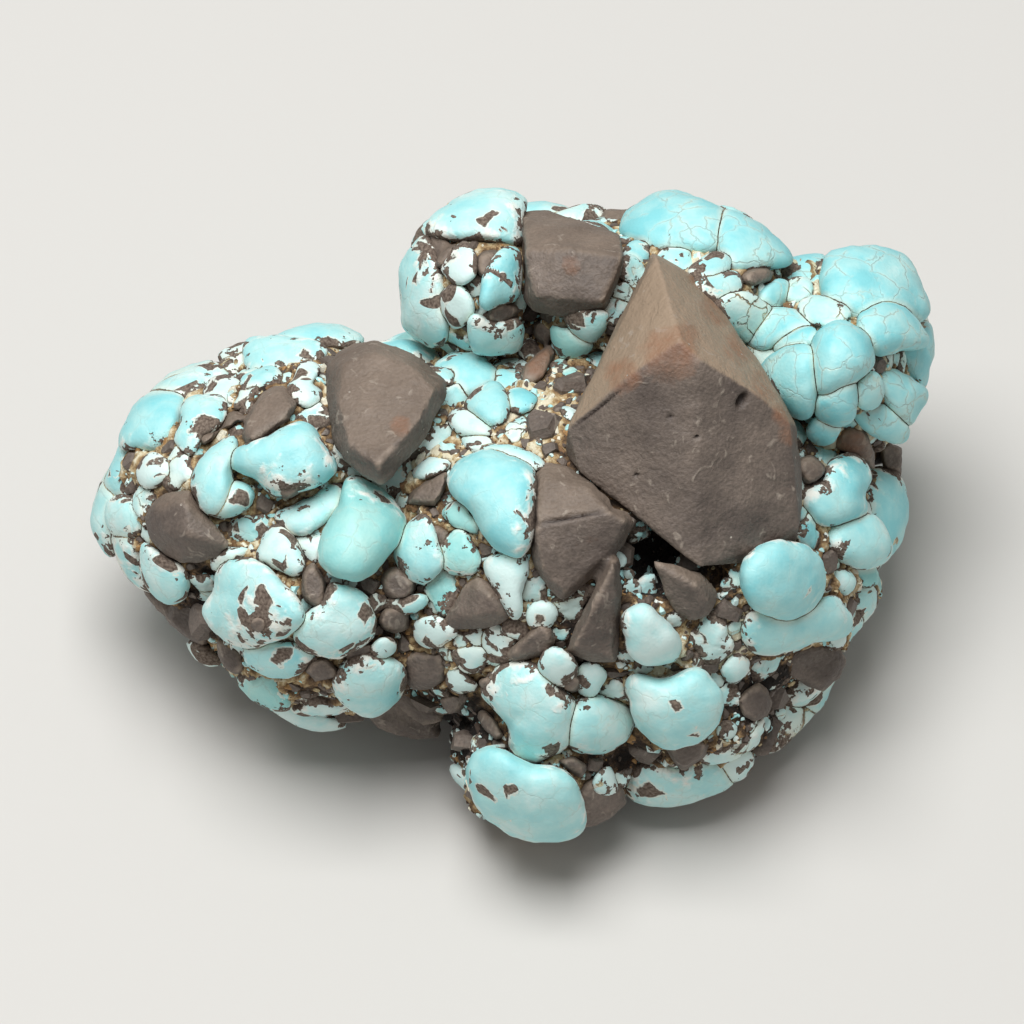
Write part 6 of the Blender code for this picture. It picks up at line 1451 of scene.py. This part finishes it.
# painted light: faces that look up the show face are mixed towards a paler tone
top_lit = add(tree, MIX, {0: top_light, 6: grained, 7: linear("#9F8A74")}, data_type="RGBA")
scuff_settings = {"Vector": place, "Scale": 1 / (SCUFF_MM * MM), "Detail": 5.0, "Distortion": 1.2}
scuff_field = add(tree, NOISE, scuff_settings)
scuff = add(tree, RANGE, {0: scuff_field, 1: 0.63, 2: 0.7, 4: 0.5})
scuffed = add(tree, MIX, {0: scuff, 6: top_lit, 7: linear("#A79B8E")}, data_type="RGBA")
worn = add(tree, MIX, {0: wear, 6: scuffed, 7: linear("#988879")}, data_type="RGBA")
print(host_rock.name, "reads", *ROCK_KEYS)

# %% Weathered host rock: rust, pits and dents darkened as painted shade, and specks of crystal
stain = add(tree, NOISE, {"Vector": place, "Scale": 1 / (STAIN_MM * MM), "Detail": 6.0, "Roughness": 0.7})
rust_swing = add(tree, MATH, {0: stain, 1: 2.4, 2: -1.55}, operation="MULTIPLY_ADD")
rust_here = add(tree, MATH, {0: rust, 1: rust_swing}, operation="ADD", use_clamp=True)
rust_share = add(tree, MATH, {0: rust_here, 1: 0.7}, operation="MULTIPLY")
rusty = add(tree, MIX, {0: rust_share, 6: worn, 7: linear("#8A5E42")}, data_type="RGBA")
pits = add(tree, CELLS, {"Vector": place, "Scale": 1 / (PIT_MM * MM)})
pit_size = add(tree, RANGE, {0: pits.outputs["Color"], 1: 0.6, 2: 1.0, 3: 0.0, 4: 0.1})
pit_depth = add(tree, MATH, {0: pit_size, 1: pits}, operation="SUBTRACT")
pit = add(tree, RANGE, {0: pit_depth, 1: 0.0, 2: 0.03})
# painted shade: pits and dents are darkened towards near black
hollow_shade = add(tree, MATH, {0: pit, 1: dent_shade}, operation="MAXIMUM", use_clamp=True)
hollow_shaded = add(tree, MIX, {0: hollow_shade, 6: rusty, 7: linear("#3A302B")}, data_type="RGBA")
crystal_chance = add(tree, SPLIT, {0: pits.outputs["Color"]}).outputs[1]
crystal_here = add(tree, MATH, {0: crystal_chance, 1: 0.72}, operation="GREATER_THAN")
crystal_spot = add(tree, RANGE, {0: pits, 1: 0.07, 2: 0.04, 4: 0.8})
crystal = add(tree, MATH, {0: crystal_here, 1: crystal_spot}, operation="MULTIPLY")
spotted = add(tree, MIX, {0: crystal, 6: hollow_shaded, 7: linear("#C6BCB0")}, data_type="RGBA")
deep = add(tree, MATH, {0: pit, 1: -1.0, 2: speckle}, operation="MULTIPLY_ADD")
hills = add(tree, MATH, {0: scuff_field, 1: 1.6, 2: deep}, operation="MULTIPLY_ADD")
relief = add(tree, BUMP, {"Height": hills, "Distance": RELIEF_MM * MM, "Strength": 0.8})
feed(shader, {"Base Color": spotted, "Roughness": 0.62, "Normal": relief})
print(host_rock.name, len(tree.nodes), "nodes")

# %% [markdown]
# ## Iron-stained cement
#
# What fills the gaps is a crumbly mix of clay, iron oxide and powdered turquoise: dark brown in places, ochre
# where the iron is, cream next to the nodules, and darker still with painted shade in the lower half of the
# show face and the pit under the great clast. To the eye it is the roughest of the finishes, with no shine at
# all. Its loose grains have one tint each, because a grain is a single crumb of one thing.

# %% Iron-stained cement
CEMENT_KEYS = ("ochre", "shade_spot", "chalk")
CEMENT_MM = 1.1
CEMENT_RELIEF_MM = 0.5

cement, tree, shader = new_material("iron_stained_cement")
place = add(tree, PLACE).outputs["Object"]
ochre, shade_spot, chalk = (add(tree, ATTRIBUTE, attribute_name=key).outputs["Fac"] for key in CEMENT_KEYS)
earthy = add(tree, NOISE, {"Vector": place, "Scale": 1 / (CEMENT_MM * MM), "Detail": 6.0, "Roughness": 0.65})
warmer = add(tree, MATH, {0: ochre, 1: 0.24, 2: earthy}, operation="MULTIPLY_ADD")
# painted shade: the cement is darker in the shade spots
shade_darkened = add(tree, MATH, {0: shade_spot, 1: -0.26, 2: warmer}, operation="MULTIPLY_ADD")
paler = add(tree, MATH, {0: chalk, 1: 0.32, 2: shade_darkened}, operation="MULTIPLY_ADD")
EARTH_STOPS = [
    (0.3, "#1D1713"), (0.46, "#3A2C21"), (0.56, "#65503A"), (0.66, "#8E7250"), (0.76, "#BDA57C"),
    (0.88, "#E3DBBF"),
]
earth = add(tree, RAMP, {0: paler}, EARTH_STOPS)
relief = add(tree, BUMP, {"Height": earthy, "Distance": CEMENT_RELIEF_MM * MM, "Strength": 1.0})
feed(shader, {"Base Color": earth, "Roughness": 0.92, "Normal": relief})
print(cement.name, len(tree.nodes), "nodes")

# %% Grains of the cement: each has one tint, shifted by where it lies
GRAIN_RELIEF_MM = 0.1

grains_finish, tree, shader = new_material("cement_grains")
place = add(tree, PLACE).outputs["Object"]
tint = add(tree, ATTRIBUTE, attribute_name="tint").outputs["Fac"]
ochre, shade_spot, chalk = (add(tree, ATTRIBUTE, attribute_name=key).outputs["Fac"] for key in CEMENT_KEYS)
warmer = add(tree, MATH, {0: ochre, 1: 0.25, 2: tint}, operation="MULTIPLY_ADD")
# painted shade: grains in the shade spots are darker too
shade_darkened = add(tree, MATH, {0: shade_spot, 1: -0.45, 2: warmer}, operation="MULTIPLY_ADD")
paler = add(tree, MATH, {0: chalk, 1: 0.4, 2: shade_darkened}, operation="MULTIPLY_ADD")
CRUMB_STOPS = [
    (0.0, "#2A211C"), (0.2, "#4A3C33"), (0.4, "#6A5E55"), (0.58, "#7F6041"), (0.72, "#A98254"),
    (0.86, "#CDBB92"), (0.98, "#E9E4CF"),
]
kinds = add(tree, RAMP, {0: paler}, CRUMB_STOPS)
kinds.color_ramp.interpolation = "CONSTANT"
dust = add(tree, NOISE, {"Vector": place, "Scale": 1 / (GRAIN_MM * MM), "Detail": 3.0})
dust_tone = add(tree, RANGE, {0: dust, 1: 0.3, 2: 0.7, 3: 0.75, 4: 1.15})
dusty = add(tree, VECTOR_MATH, {0: kinds, "Scale": dust_tone}, operation="SCALE")
relief = add(tree, BUMP, {"Height": dust, "Distance": GRAIN_RELIEF_MM * MM, "Strength": 0.8})
feed(shader, {"Base Color": dusty, "Roughness": 0.8, "Normal": relief})
print(grains_finish.name, len(tree.nodes), "nodes")

# %% [markdown]
# ## Scattering small things
#
# Grains of cement, crumbs of cement and crumbs of turquoise are the same job: many small broken shapes over a
# surface, thick where an attribute says so. Geometry Nodes do it once, as a tree with named inputs. The
# shapes are hulls of a dozen random points, so each has about twenty flat faces, as broken stone has.

# %% Broken shapes, a millimetre in radius
SHAPES = 6
SHAPE_CORNERS = 12
SHAPE_FLATNESS = (0.6, 0.9)  # how much narrower and flatter than long a shape may be

splinters = bpy.data.collections.new("splinters")
shape_rng = np.random.default_rng(SEED + 1)
for number in range(SHAPES):
    corners = shape_rng.normal(size=(SHAPE_CORNERS, 3))
    corners /= np.linalg.norm(corners, axis=1, keepdims=True)
    corners *= (1.0, shape_rng.uniform(*SHAPE_FLATNESS), shape_rng.uniform(*SHAPE_FLATNESS))
    shape = joined(f"splinter_{number}", [hull_shell([Vector(corner) for corner in corners])])
    shape.data.polygons.foreach_set("use_smooth", [False] * len(shape.data.polygons))
    bpy.context.scene.collection.objects.unlink(shape)
    splinters.objects.link(shape)
print(SHAPES, "splinters of about", len(shape.data.polygons), "faces")

# %% Scatter tree: its inputs
scatter = bpy.data.node_groups.new("scatter_on_surface", "GeometryNodeTree")
SCATTER_INPUTS = {}
for socket_name, socket_kind in (
    ("Surface", "NodeSocketGeometry"),
    ("Shapes", "NodeSocketCollection"),
    ("Share attribute", "NodeSocketString"),
    ("Pieces per square metre", "NodeSocketFloat"),
    ("Smallest radius", "NodeSocketFloat"),
    ("Largest radius", "NodeSocketFloat"),
    ("Flatness", "NodeSocketFloat"),
    ("Sink", "NodeSocketFloat"),
    ("Seed", "NodeSocketInt"),
    ("Finish", "NodeSocketMaterial"),
):
    socket = scatter.interface.new_socket(socket_name, in_out="INPUT", socket_type=socket_kind)
    SCATTER_INPUTS[socket_name] = socket.identifier
scatter.interface.new_socket("Scattered", in_out="OUTPUT", socket_type="NodeSocketGeometry")
print("scatter tree takes", len(SCATTER_INPUTS), "inputs")

# %% Scatter tree: points on the surface, each with a size, a place and a turn
TILT = 0.3  # a piece leans by up to this many radians
RANDOM = "FunctionNodeRandomValue"

enter = add(scatter, "NodeGroupInput").outputs
seed = {"Seed": enter["Seed"]}
share = add(scatter, "GeometryNodeInputNamedAttribute", {"Name": enter["Share attribute"]}, data_type="FLOAT")
density = add(scatter, MATH, {0: share, 1: enter["Pieces per square metre"]}, operation="MULTIPLY")
on_surface = {"Mesh": enter["Surface"], "Density": density, **seed}
spread = add(scatter, "GeometryNodeDistributePointsOnFaces", on_surface)
# Small pieces are the most common, so a random number is squared before it picks the radius.
draw = add(scatter, RANDOM, seed, data_type="FLOAT")
squared = add(scatter, MATH, {0: draw, 1: 2.0}, operation="POWER")
radius = add(scatter, RANGE, {0: squared, 3: enter["Smallest radius"], 4: enter["Largest radius"]})
thickness = add(scatter, MATH, {0: radius, 1: enter["Flatness"]}, operation="MULTIPLY")
scale = add(scatter, "ShaderNodeCombineXYZ", {0: radius, 1: radius, 2: thickness})
sink = add(scatter, MATH, {0: thickness, 1: enter["Sink"]}, operation="MULTIPLY")
inwards = add(scatter, MATH, {0: sink, 1: -MM}, operation="MULTIPLY")
offset = add(scatter, VECTOR_MATH, {0: spread.outputs["Normal"], "Scale": inwards}, operation="SCALE")
sunk = add(scatter, "GeometryNodeSetPosition", {"Geometry": spread, "Offset": offset})
turns = {0: (-TILT, -TILT, -math.pi), 1: (TILT, TILT, math.pi), **seed}
turn = add(scatter, RANDOM, turns, data_type="FLOAT_VECTOR")
as_rotation = add(scatter, "FunctionNodeEulerToRotation", {0: turn})
upright = {0: spread.outputs["Rotation"], 1: as_rotation}
rotation = add(scatter, "FunctionNodeRotateRotation", upright, rotation_space="LOCAL")
print("points, sizes and turns:", len(scatter.nodes), "nodes")

# %% Scatter tree: a shape on each point, with a tint of its own
TINT_SEED = 101

picking = {"Collection": enter["Shapes"], "Separate Children": True, "Reset Children": True}
shapes = add(scatter, "GeometryNodeCollectionInfo", picking)
placing = {"Points": sunk, "Instance": shapes, "Pick Instance": True, "Rotation": rotation, "Scale": scale}
copies = add(scatter, "GeometryNodeInstanceOnPoints", placing)
tint_draw = add(scatter, RANDOM, {"Seed": TINT_SEED}, data_type="FLOAT")
tinting = {"Geometry": copies, "Name": "tint", "Value": tint_draw}
tinted = add(scatter, "GeometryNodeStoreNamedAttribute", tinting, data_type="FLOAT", domain="INSTANCE")
real = add(scatter, "GeometryNodeRealizeInstances", {0: tinted})
finished = add(scatter, "GeometryNodeSetMaterial", {"Geometry": real, "Material": enter["Finish"]})
add(scatter, "NodeGroupOutput", {0: finished})
print("scatter tree has", len(scatter.nodes), "nodes")

# %% Scatter tree: how it is used
GRAIN_FLATNESS = 0.8


def scattered(name, surface, finish, per_square_mm, radii, sink, seed):
    """A new object of splinters over the open parts of a surface object."""
    carrier = bpy.data.objects.new(name, surface.data)
    bpy.context.scene.collection.objects.link(carrier)
    spreader = carrier.modifiers.new("scatter", "NODES")
    spreader.node_group = scatter
    for key, value in (
        ("Shapes", splinters),
        ("Share attribute", "open"),
        ("Pieces per square metre", per_square_mm / MM**2),
        ("Smallest radius", radii[0]),
        ("Largest radius", radii[1]),
        ("Flatness", GRAIN_FLATNESS),
        ("Sink", sink),
        ("Seed", seed),
        ("Finish", finish),
    ):
        spreader[SCATTER_INPUTS[key]] = value
    mesh = evaluated_mesh(carrier)
    mesh.name = name
    carrier.modifiers.remove(spreader)
    carrier.data = mesh
    print(name, triangles(mesh), "triangles")
    return carrier


# %% [markdown]
# ## Dressing the turquoise
#
# Every dome learns what its kind is. The rock shows through mostly near the edges, and in a few places that are
# listed.

# %% Nodule kinds
# %% Nodule kinds
KINDS = {  # (blueness, greenness, cracks, patches of rock), from 0 to 1, and the rind's width in millimetres
    "blue": (0.68, 0.0, 0.08, 0.18, 2.7),
    "lobe": (0.75, 0.0, 0.3, 0.0, 0.25),
    "pale": (0.4, 0.0, 0.12, 0.25, 2.8),
    "green": (0.8, 0.45, 0.12, 0.16, 2.6),
    "white": (0.05, 0.0, 0.0, 0.16, 2.2),
    "cream": (0.18, 0.12, 1.0, 0.05, 1.0),
}
PATCH_SPOTS = [  # (x, y, reach) on the show face
    (-3.0, 29.0, 2.6), (-27.4, 13.6, 5.5), (-20.5, 16.0, 4.5), (-24.6, -9.6, 4.6), (-13.5, -9.4, 3.6),
    (-7.8, 22.6, 3.4), (-0.2, -27.8, 1.6), (-5.2, -26.0, 2.4), (17.2, -28.0, 3.0), (17.0, -21.2, 3.0),
    (33.0, 0.6, 3.0), (-21.4, 1.2, 2.6), (-22.0, -17.5, 4.0),
]
RIND_SHARE = 0.62  # a rind is never wider than this share of its nodule's radius
OUTER_BAND = (0.4, 2.4)  # this far from an edge the rock shows through less and less
INNER_PATCHES = 0.06  # what is left of the patches inside that band
SPOT_PATCHES = 0.3  # the patches at the listed places

for shell in nodules + fill_nodules:
    where = face_places(shell["points"])
    for key, value in zip(("blue", "green", "veins", "patches", "rind"), KINDS[shell["kind"]]):
        shell[key] = np.full(len(shell["points"]), value)
    shell["rind"] = np.minimum(shell["rind"], RIND_SHARE * shell["reach"])
    near_edge = 1.0 - eased(shell["edge"], *OUTER_BAND)
    shell["patches"] = shell["patches"] * (INNER_PATCHES + (1.0 - INNER_PATCHES) * near_edge)
    shell["patches"] = np.maximum(shell["patches"], SPOT_PATCHES * spots_at(where, PATCH_SPOTS))
print(len(KINDS), "kinds on", len(nodules + fill_nodules), "domes")

# %% Turquoise pieces, split by where they lie so that each keeps its full detail
LEFT_END, MIDDLE_END = -13.0, 13.0
groups = {"turquoise_left": [], "turquoise_middle": [], "turquoise_right": []}
for shell in shown_nodules + [bud for bud in fill_nodules if bud["shown"]]:
    x = shell["at"][0]
    side = "left" if x < LEFT_END else "middle" if x < MIDDLE_END else "right"
    groups[f"turquoise_{side}"].append(shell)
groups["turquoise_back"] = hidden_nodules + [bud for bud in fill_nodules if not bud["shown"]]
turquoise_pieces = [joined(name, shells, turquoise, NODULE_KEYS) for name, shells in groups.items()]
for piece in turquoise_pieces:
    print(piece.name, triangles(piece.data), "triangles")

# %% [markdown]
# ## Wearing the clasts
#
# A hull is too sharp for stone that has rolled in a stream. A voxel remesh turns it into an even skin, a few
# smoothing passes round its edges, and noise roughens its planes. How much a point bends outwards is kept as
# an attribute, so that the finish can be paler on the worn edges.

# %% Rust and dents on the great clast
# %% Rock builder
RUST_SPOTS = [  # (x, y, reach) on the show face
    (15.5, 15.5, 4.2), (17.0, 17.5, 2.2), (11.0, 13.5, 2.6), (18.8, 23.4, 1.6), (27.6, 7.6, 1.8),
    (6.0, 24.6, 1.6), (3.0, 15.0, 2.6), (-11.0, 8.6, 1.6), (20.6, 20.4, 3.0), (23.2, 16.6, 3.0),
    (25.4, 12.8, 2.8), (27.4, 9.6, 2.4), (33.6, 6.8, 4.0),
]
DENTS = [  # (x, y, half length, half width, turn in degrees, depth); each dent is also painted dark, as painted shade
    (22.8, 11.0, 0.95, 0.5, 60.0, 0.9),
    (15.6, 9.4, 0.3, 0.25, 0.0, 0.4),
    (12.2, 3.6, 0.28, 0.22, 0.0, 0.4),
    (18.2, 7.4, 0.3, 0.22, 30.0, 0.4),
    (8.4, 10.2, 3.6, 0.16, 38.0, 0.35),
    (6.0, -0.5, 3.9, 0.26, 11.0, 0.6),
]
print(len(RUST_SPOTS), "rusty places,", len(DENTS), "dents")

# %% Rock builder
WEAR_BEND = (0.05, 0.22)  # edges that stand out by these shares of a voxel are worn a little, and fully
WEAR_SHARE = 0.8
FACING = (0.0, 0.3)  # stains and dents are on what looks out of the show face
TOP_LIGHT_LEAN = (0.05, 0.6)  # what looks up the face is painted lighter, as painted light
BULGE_MM, BULGE_FIELD, BULGE_OCTAVES = 5.0, 2.2, 2
GRIT_MM, GRIT_FIELD, GRIT_OCTAVES = 1.1, 7.7, 3
DENT_EDGE = (0.4, 1.2)  # a dent is full up to here and gone from there, in its own radii


def bend_out(shell):
    """How much each point stands out of its neighbours, in millimetres."""
    corners = np.array([pair for face in shell["faces"] for pair in zip(face, face[1:] + face[:1])])
    total, count = np.zeros_like(shell["points"]), np.zeros(len(shell["points"]))
    np.add.at(total, corners[:, 0], shell["points"][corners[:, 1]])
    np.add.at(count, corners[:, 0], 1.0)
    return ((shell["points"] - total / count[:, None]) * shell["normals"]).sum(1)


def worn_rock(name, shells, voxel, passes, bulge, grit, top_light):
    """Clast hulls fused, rounded and roughened."""
    shell = fused(name + "_hulls", shells, voxel, passes)
    points, normals = shell["points"], shell["normals"]
    shell["wear"] = eased(bend_out(shell) / voxel, *WEAR_BEND) * WEAR_SHARE
    places = face_places(points)
    facing = eased(normals @ np.array(FACE_OUT), *FACING)
    shell["rust"] = spots_at(places, RUST_SPOTS) * facing
    # painted light on the faces that look up the show face, strongest on the great clast
    shell["top_light"] = eased(normals @ np.array(FACE_UP), *TOP_LIGHT_LEAN) * top_light
    shell["dent_shade"] = np.zeros(len(points))
    height = bulge * lumps(points, BULGE_MM, BULGE_FIELD, BULGE_OCTAVES)
    height = height + grit * lumps(points, GRIT_MM, GRIT_FIELD, GRIT_OCTAVES)
    for x, y, half_length, half_width, turn_degrees, depth in DENTS:
        turned = math.radians(turn_degrees)
        dx, dy = places[:, 0] - x, places[:, 1] - y
        along = (dx * math.cos(turned) + dy * math.sin(turned)) / half_length
        across = (dy * math.cos(turned) - dx * math.sin(turned)) / half_width
        dip = (1.0 - eased(np.hypot(along, across), *DENT_EDGE)) * facing
        height -= depth * dip
        # the dent mask carries painted shade into the finish
        shell["dent_shade"] = np.maximum(shell["dent_shade"], dip)
    points += normals * height[:, None]
    points[:, 2] = np.maximum(points[:, 2], 0.0)
    made = joined(name, [shell], host_rock, ROCK_KEYS)
    print(name, triangles(made.data), "triangles")
    return made


great = worn_rock("great_clast", [great_clast], 0.27, 3, 0.22, 0.05, 0.85)
small = worn_rock("host_rock_clasts", shown_clasts, 0.38, 2, 0.28, 0.09, 0.2)
back = worn_rock("back_clasts", hidden_clasts, 0.6, 2, 0.25, 0.08, 0.2)

# %% Bits of rock between the nodules, with their edges worn off
BIT_WEAR = 0.07

bits = joined("rock_bits", fill_rocks, host_rock)
worn_edges = bits.modifiers.new("worn_edges", "BEVEL")
worn_edges.width = BIT_WEAR * MM
worn_edges.segments = 1
bits_mesh = evaluated_mesh(bits)
bits.modifiers.remove(worn_edges)
bits.data = bits_mesh
bits_mesh.polygons.foreach_set("use_smooth", [False] * len(bits_mesh.polygons))
print(bits.name, triangles(bits_mesh), "triangles")

# %% [markdown]
# ## The cement
#
# The open places of the groundmass are roughened with crumbly noise. Next to the turquoise the cement is
# chalky, so each open point learns how near the closest nodule is, and the open places get crumbs and grains.

# %% Cement between the pieces
CRUMBLE = 0.5
CRUMBLE_SPACING, CRUMBLE_FIELD, CRUMBLE_OCTAVES = 1.5, 4.4, 4
CHALK_REACH = 2.0
CRUST_RISE = 0.45  # the chalky crust beside the turquoise stands this much higher
GROUND_CLEARANCE = 0.3  # the cement stays this far over the floor

ground["ochre"] = spots_at(places, OCHRE_SPOTS)
ground["shade_spot"] = spots_at(places, SHADE_SPOTS)
chalk = np.zeros(len(places))
all_nodules = joined("all_nodules", nodules)
nodule_tree = tree_of(shell_of(all_nodules.data))
bpy.data.objects.remove(all_nodules)
for k in np.flatnonzero(ground["open"]):
    spot, _, _, distance = nodule_tree.find_nearest(Vector(ground["points"][k]), CHALK_REACH)
    if spot is not None:
        chalk[k] = 1.0 - distance / CHALK_REACH
ground["chalk"] = chalk
# the chalky crust is lower where the painted shade is
crust = CRUST_RISE * np.sqrt(chalk) * (1.0 - ground["shade_spot"])
crumbly = CRUMBLE * lumps(ground["points"], CRUMBLE_SPACING, CRUMBLE_FIELD, CRUMBLE_OCTAVES)
crumble = (crust + crumbly) * ground["open"]
ground["points"] += ground["normals"] * crumble[:, None]
ground["points"][:, 2] = np.maximum(ground["points"][:, 2], GROUND_CLEARANCE)
ground_piece = joined("iron_cement", [ground], cement, ("open", *CEMENT_KEYS))
print(ground_piece.name, triangles(ground_piece.data), "triangles,", int(ground["open"].sum()), "open points")

# %% Crumbs and grains: pieces for each square millimetre, their radii, how far they sink, and a seed
CRUMB_EDGE = (0.5, 1.2)  # crumbs of turquoise are broken from the rind, so each is a little way in
CRUMB_RIND = 1.5
CRUMB_BLUE = 0.5

grains = scattered("cement_grains", ground_piece, grains_finish, 1.35, (0.14, 0.42), 0.2, 21)
crumbs = scattered("cement_crumbs", ground_piece, grains_finish, 0.25, (0.3, 0.9), 0.1, 22)
turquoise_crumbs = scattered("turquoise_crumbs", ground_piece, turquoise, 0.45, (0.25, 0.75), 0.1, 23)
mesh = turquoise_crumbs.data
tints = np.empty(len(mesh.vertices), np.float32)
mesh.attributes["tint"].data.foreach_get("value", tints)
set_values(mesh, "edge", CRUMB_EDGE[0] + CRUMB_EDGE[1] * tints)
set_values(mesh, "crease", np.full(len(tints), RIND_REACH))
set_values(mesh, "rind", np.full(len(tints), CRUMB_RIND))
set_values(mesh, "blue", tints * CRUMB_BLUE)
print("turquoise crumbs have their own edge, rind and blue")

# %% [markdown]
# ## Handing the pieces over
#
# Every piece rides on the stone's one body and stands for the imported solid.

# %% Ride on the body, hide the imported solid, and clear away the splinter shapes
for piece, slot in (
    *((piece, "turquoise") for piece in turquoise_pieces),
    (turquoise_crumbs, "turquoise"),
    (great, "host_rock"),
    (small, "host_rock"),
    (back, "host_rock"),
    (bits, "host_rock"),
    (ground_piece, "iron_cement"),
    (grains, "iron_cement"),
    (crumbs, "iron_cement"),
):
    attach(piece, "root")
    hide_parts(SOLID)
for shape in list(splinters.objects):
    bpy.data.objects.remove(shape)
bpy.data.collections.remove(splinters)
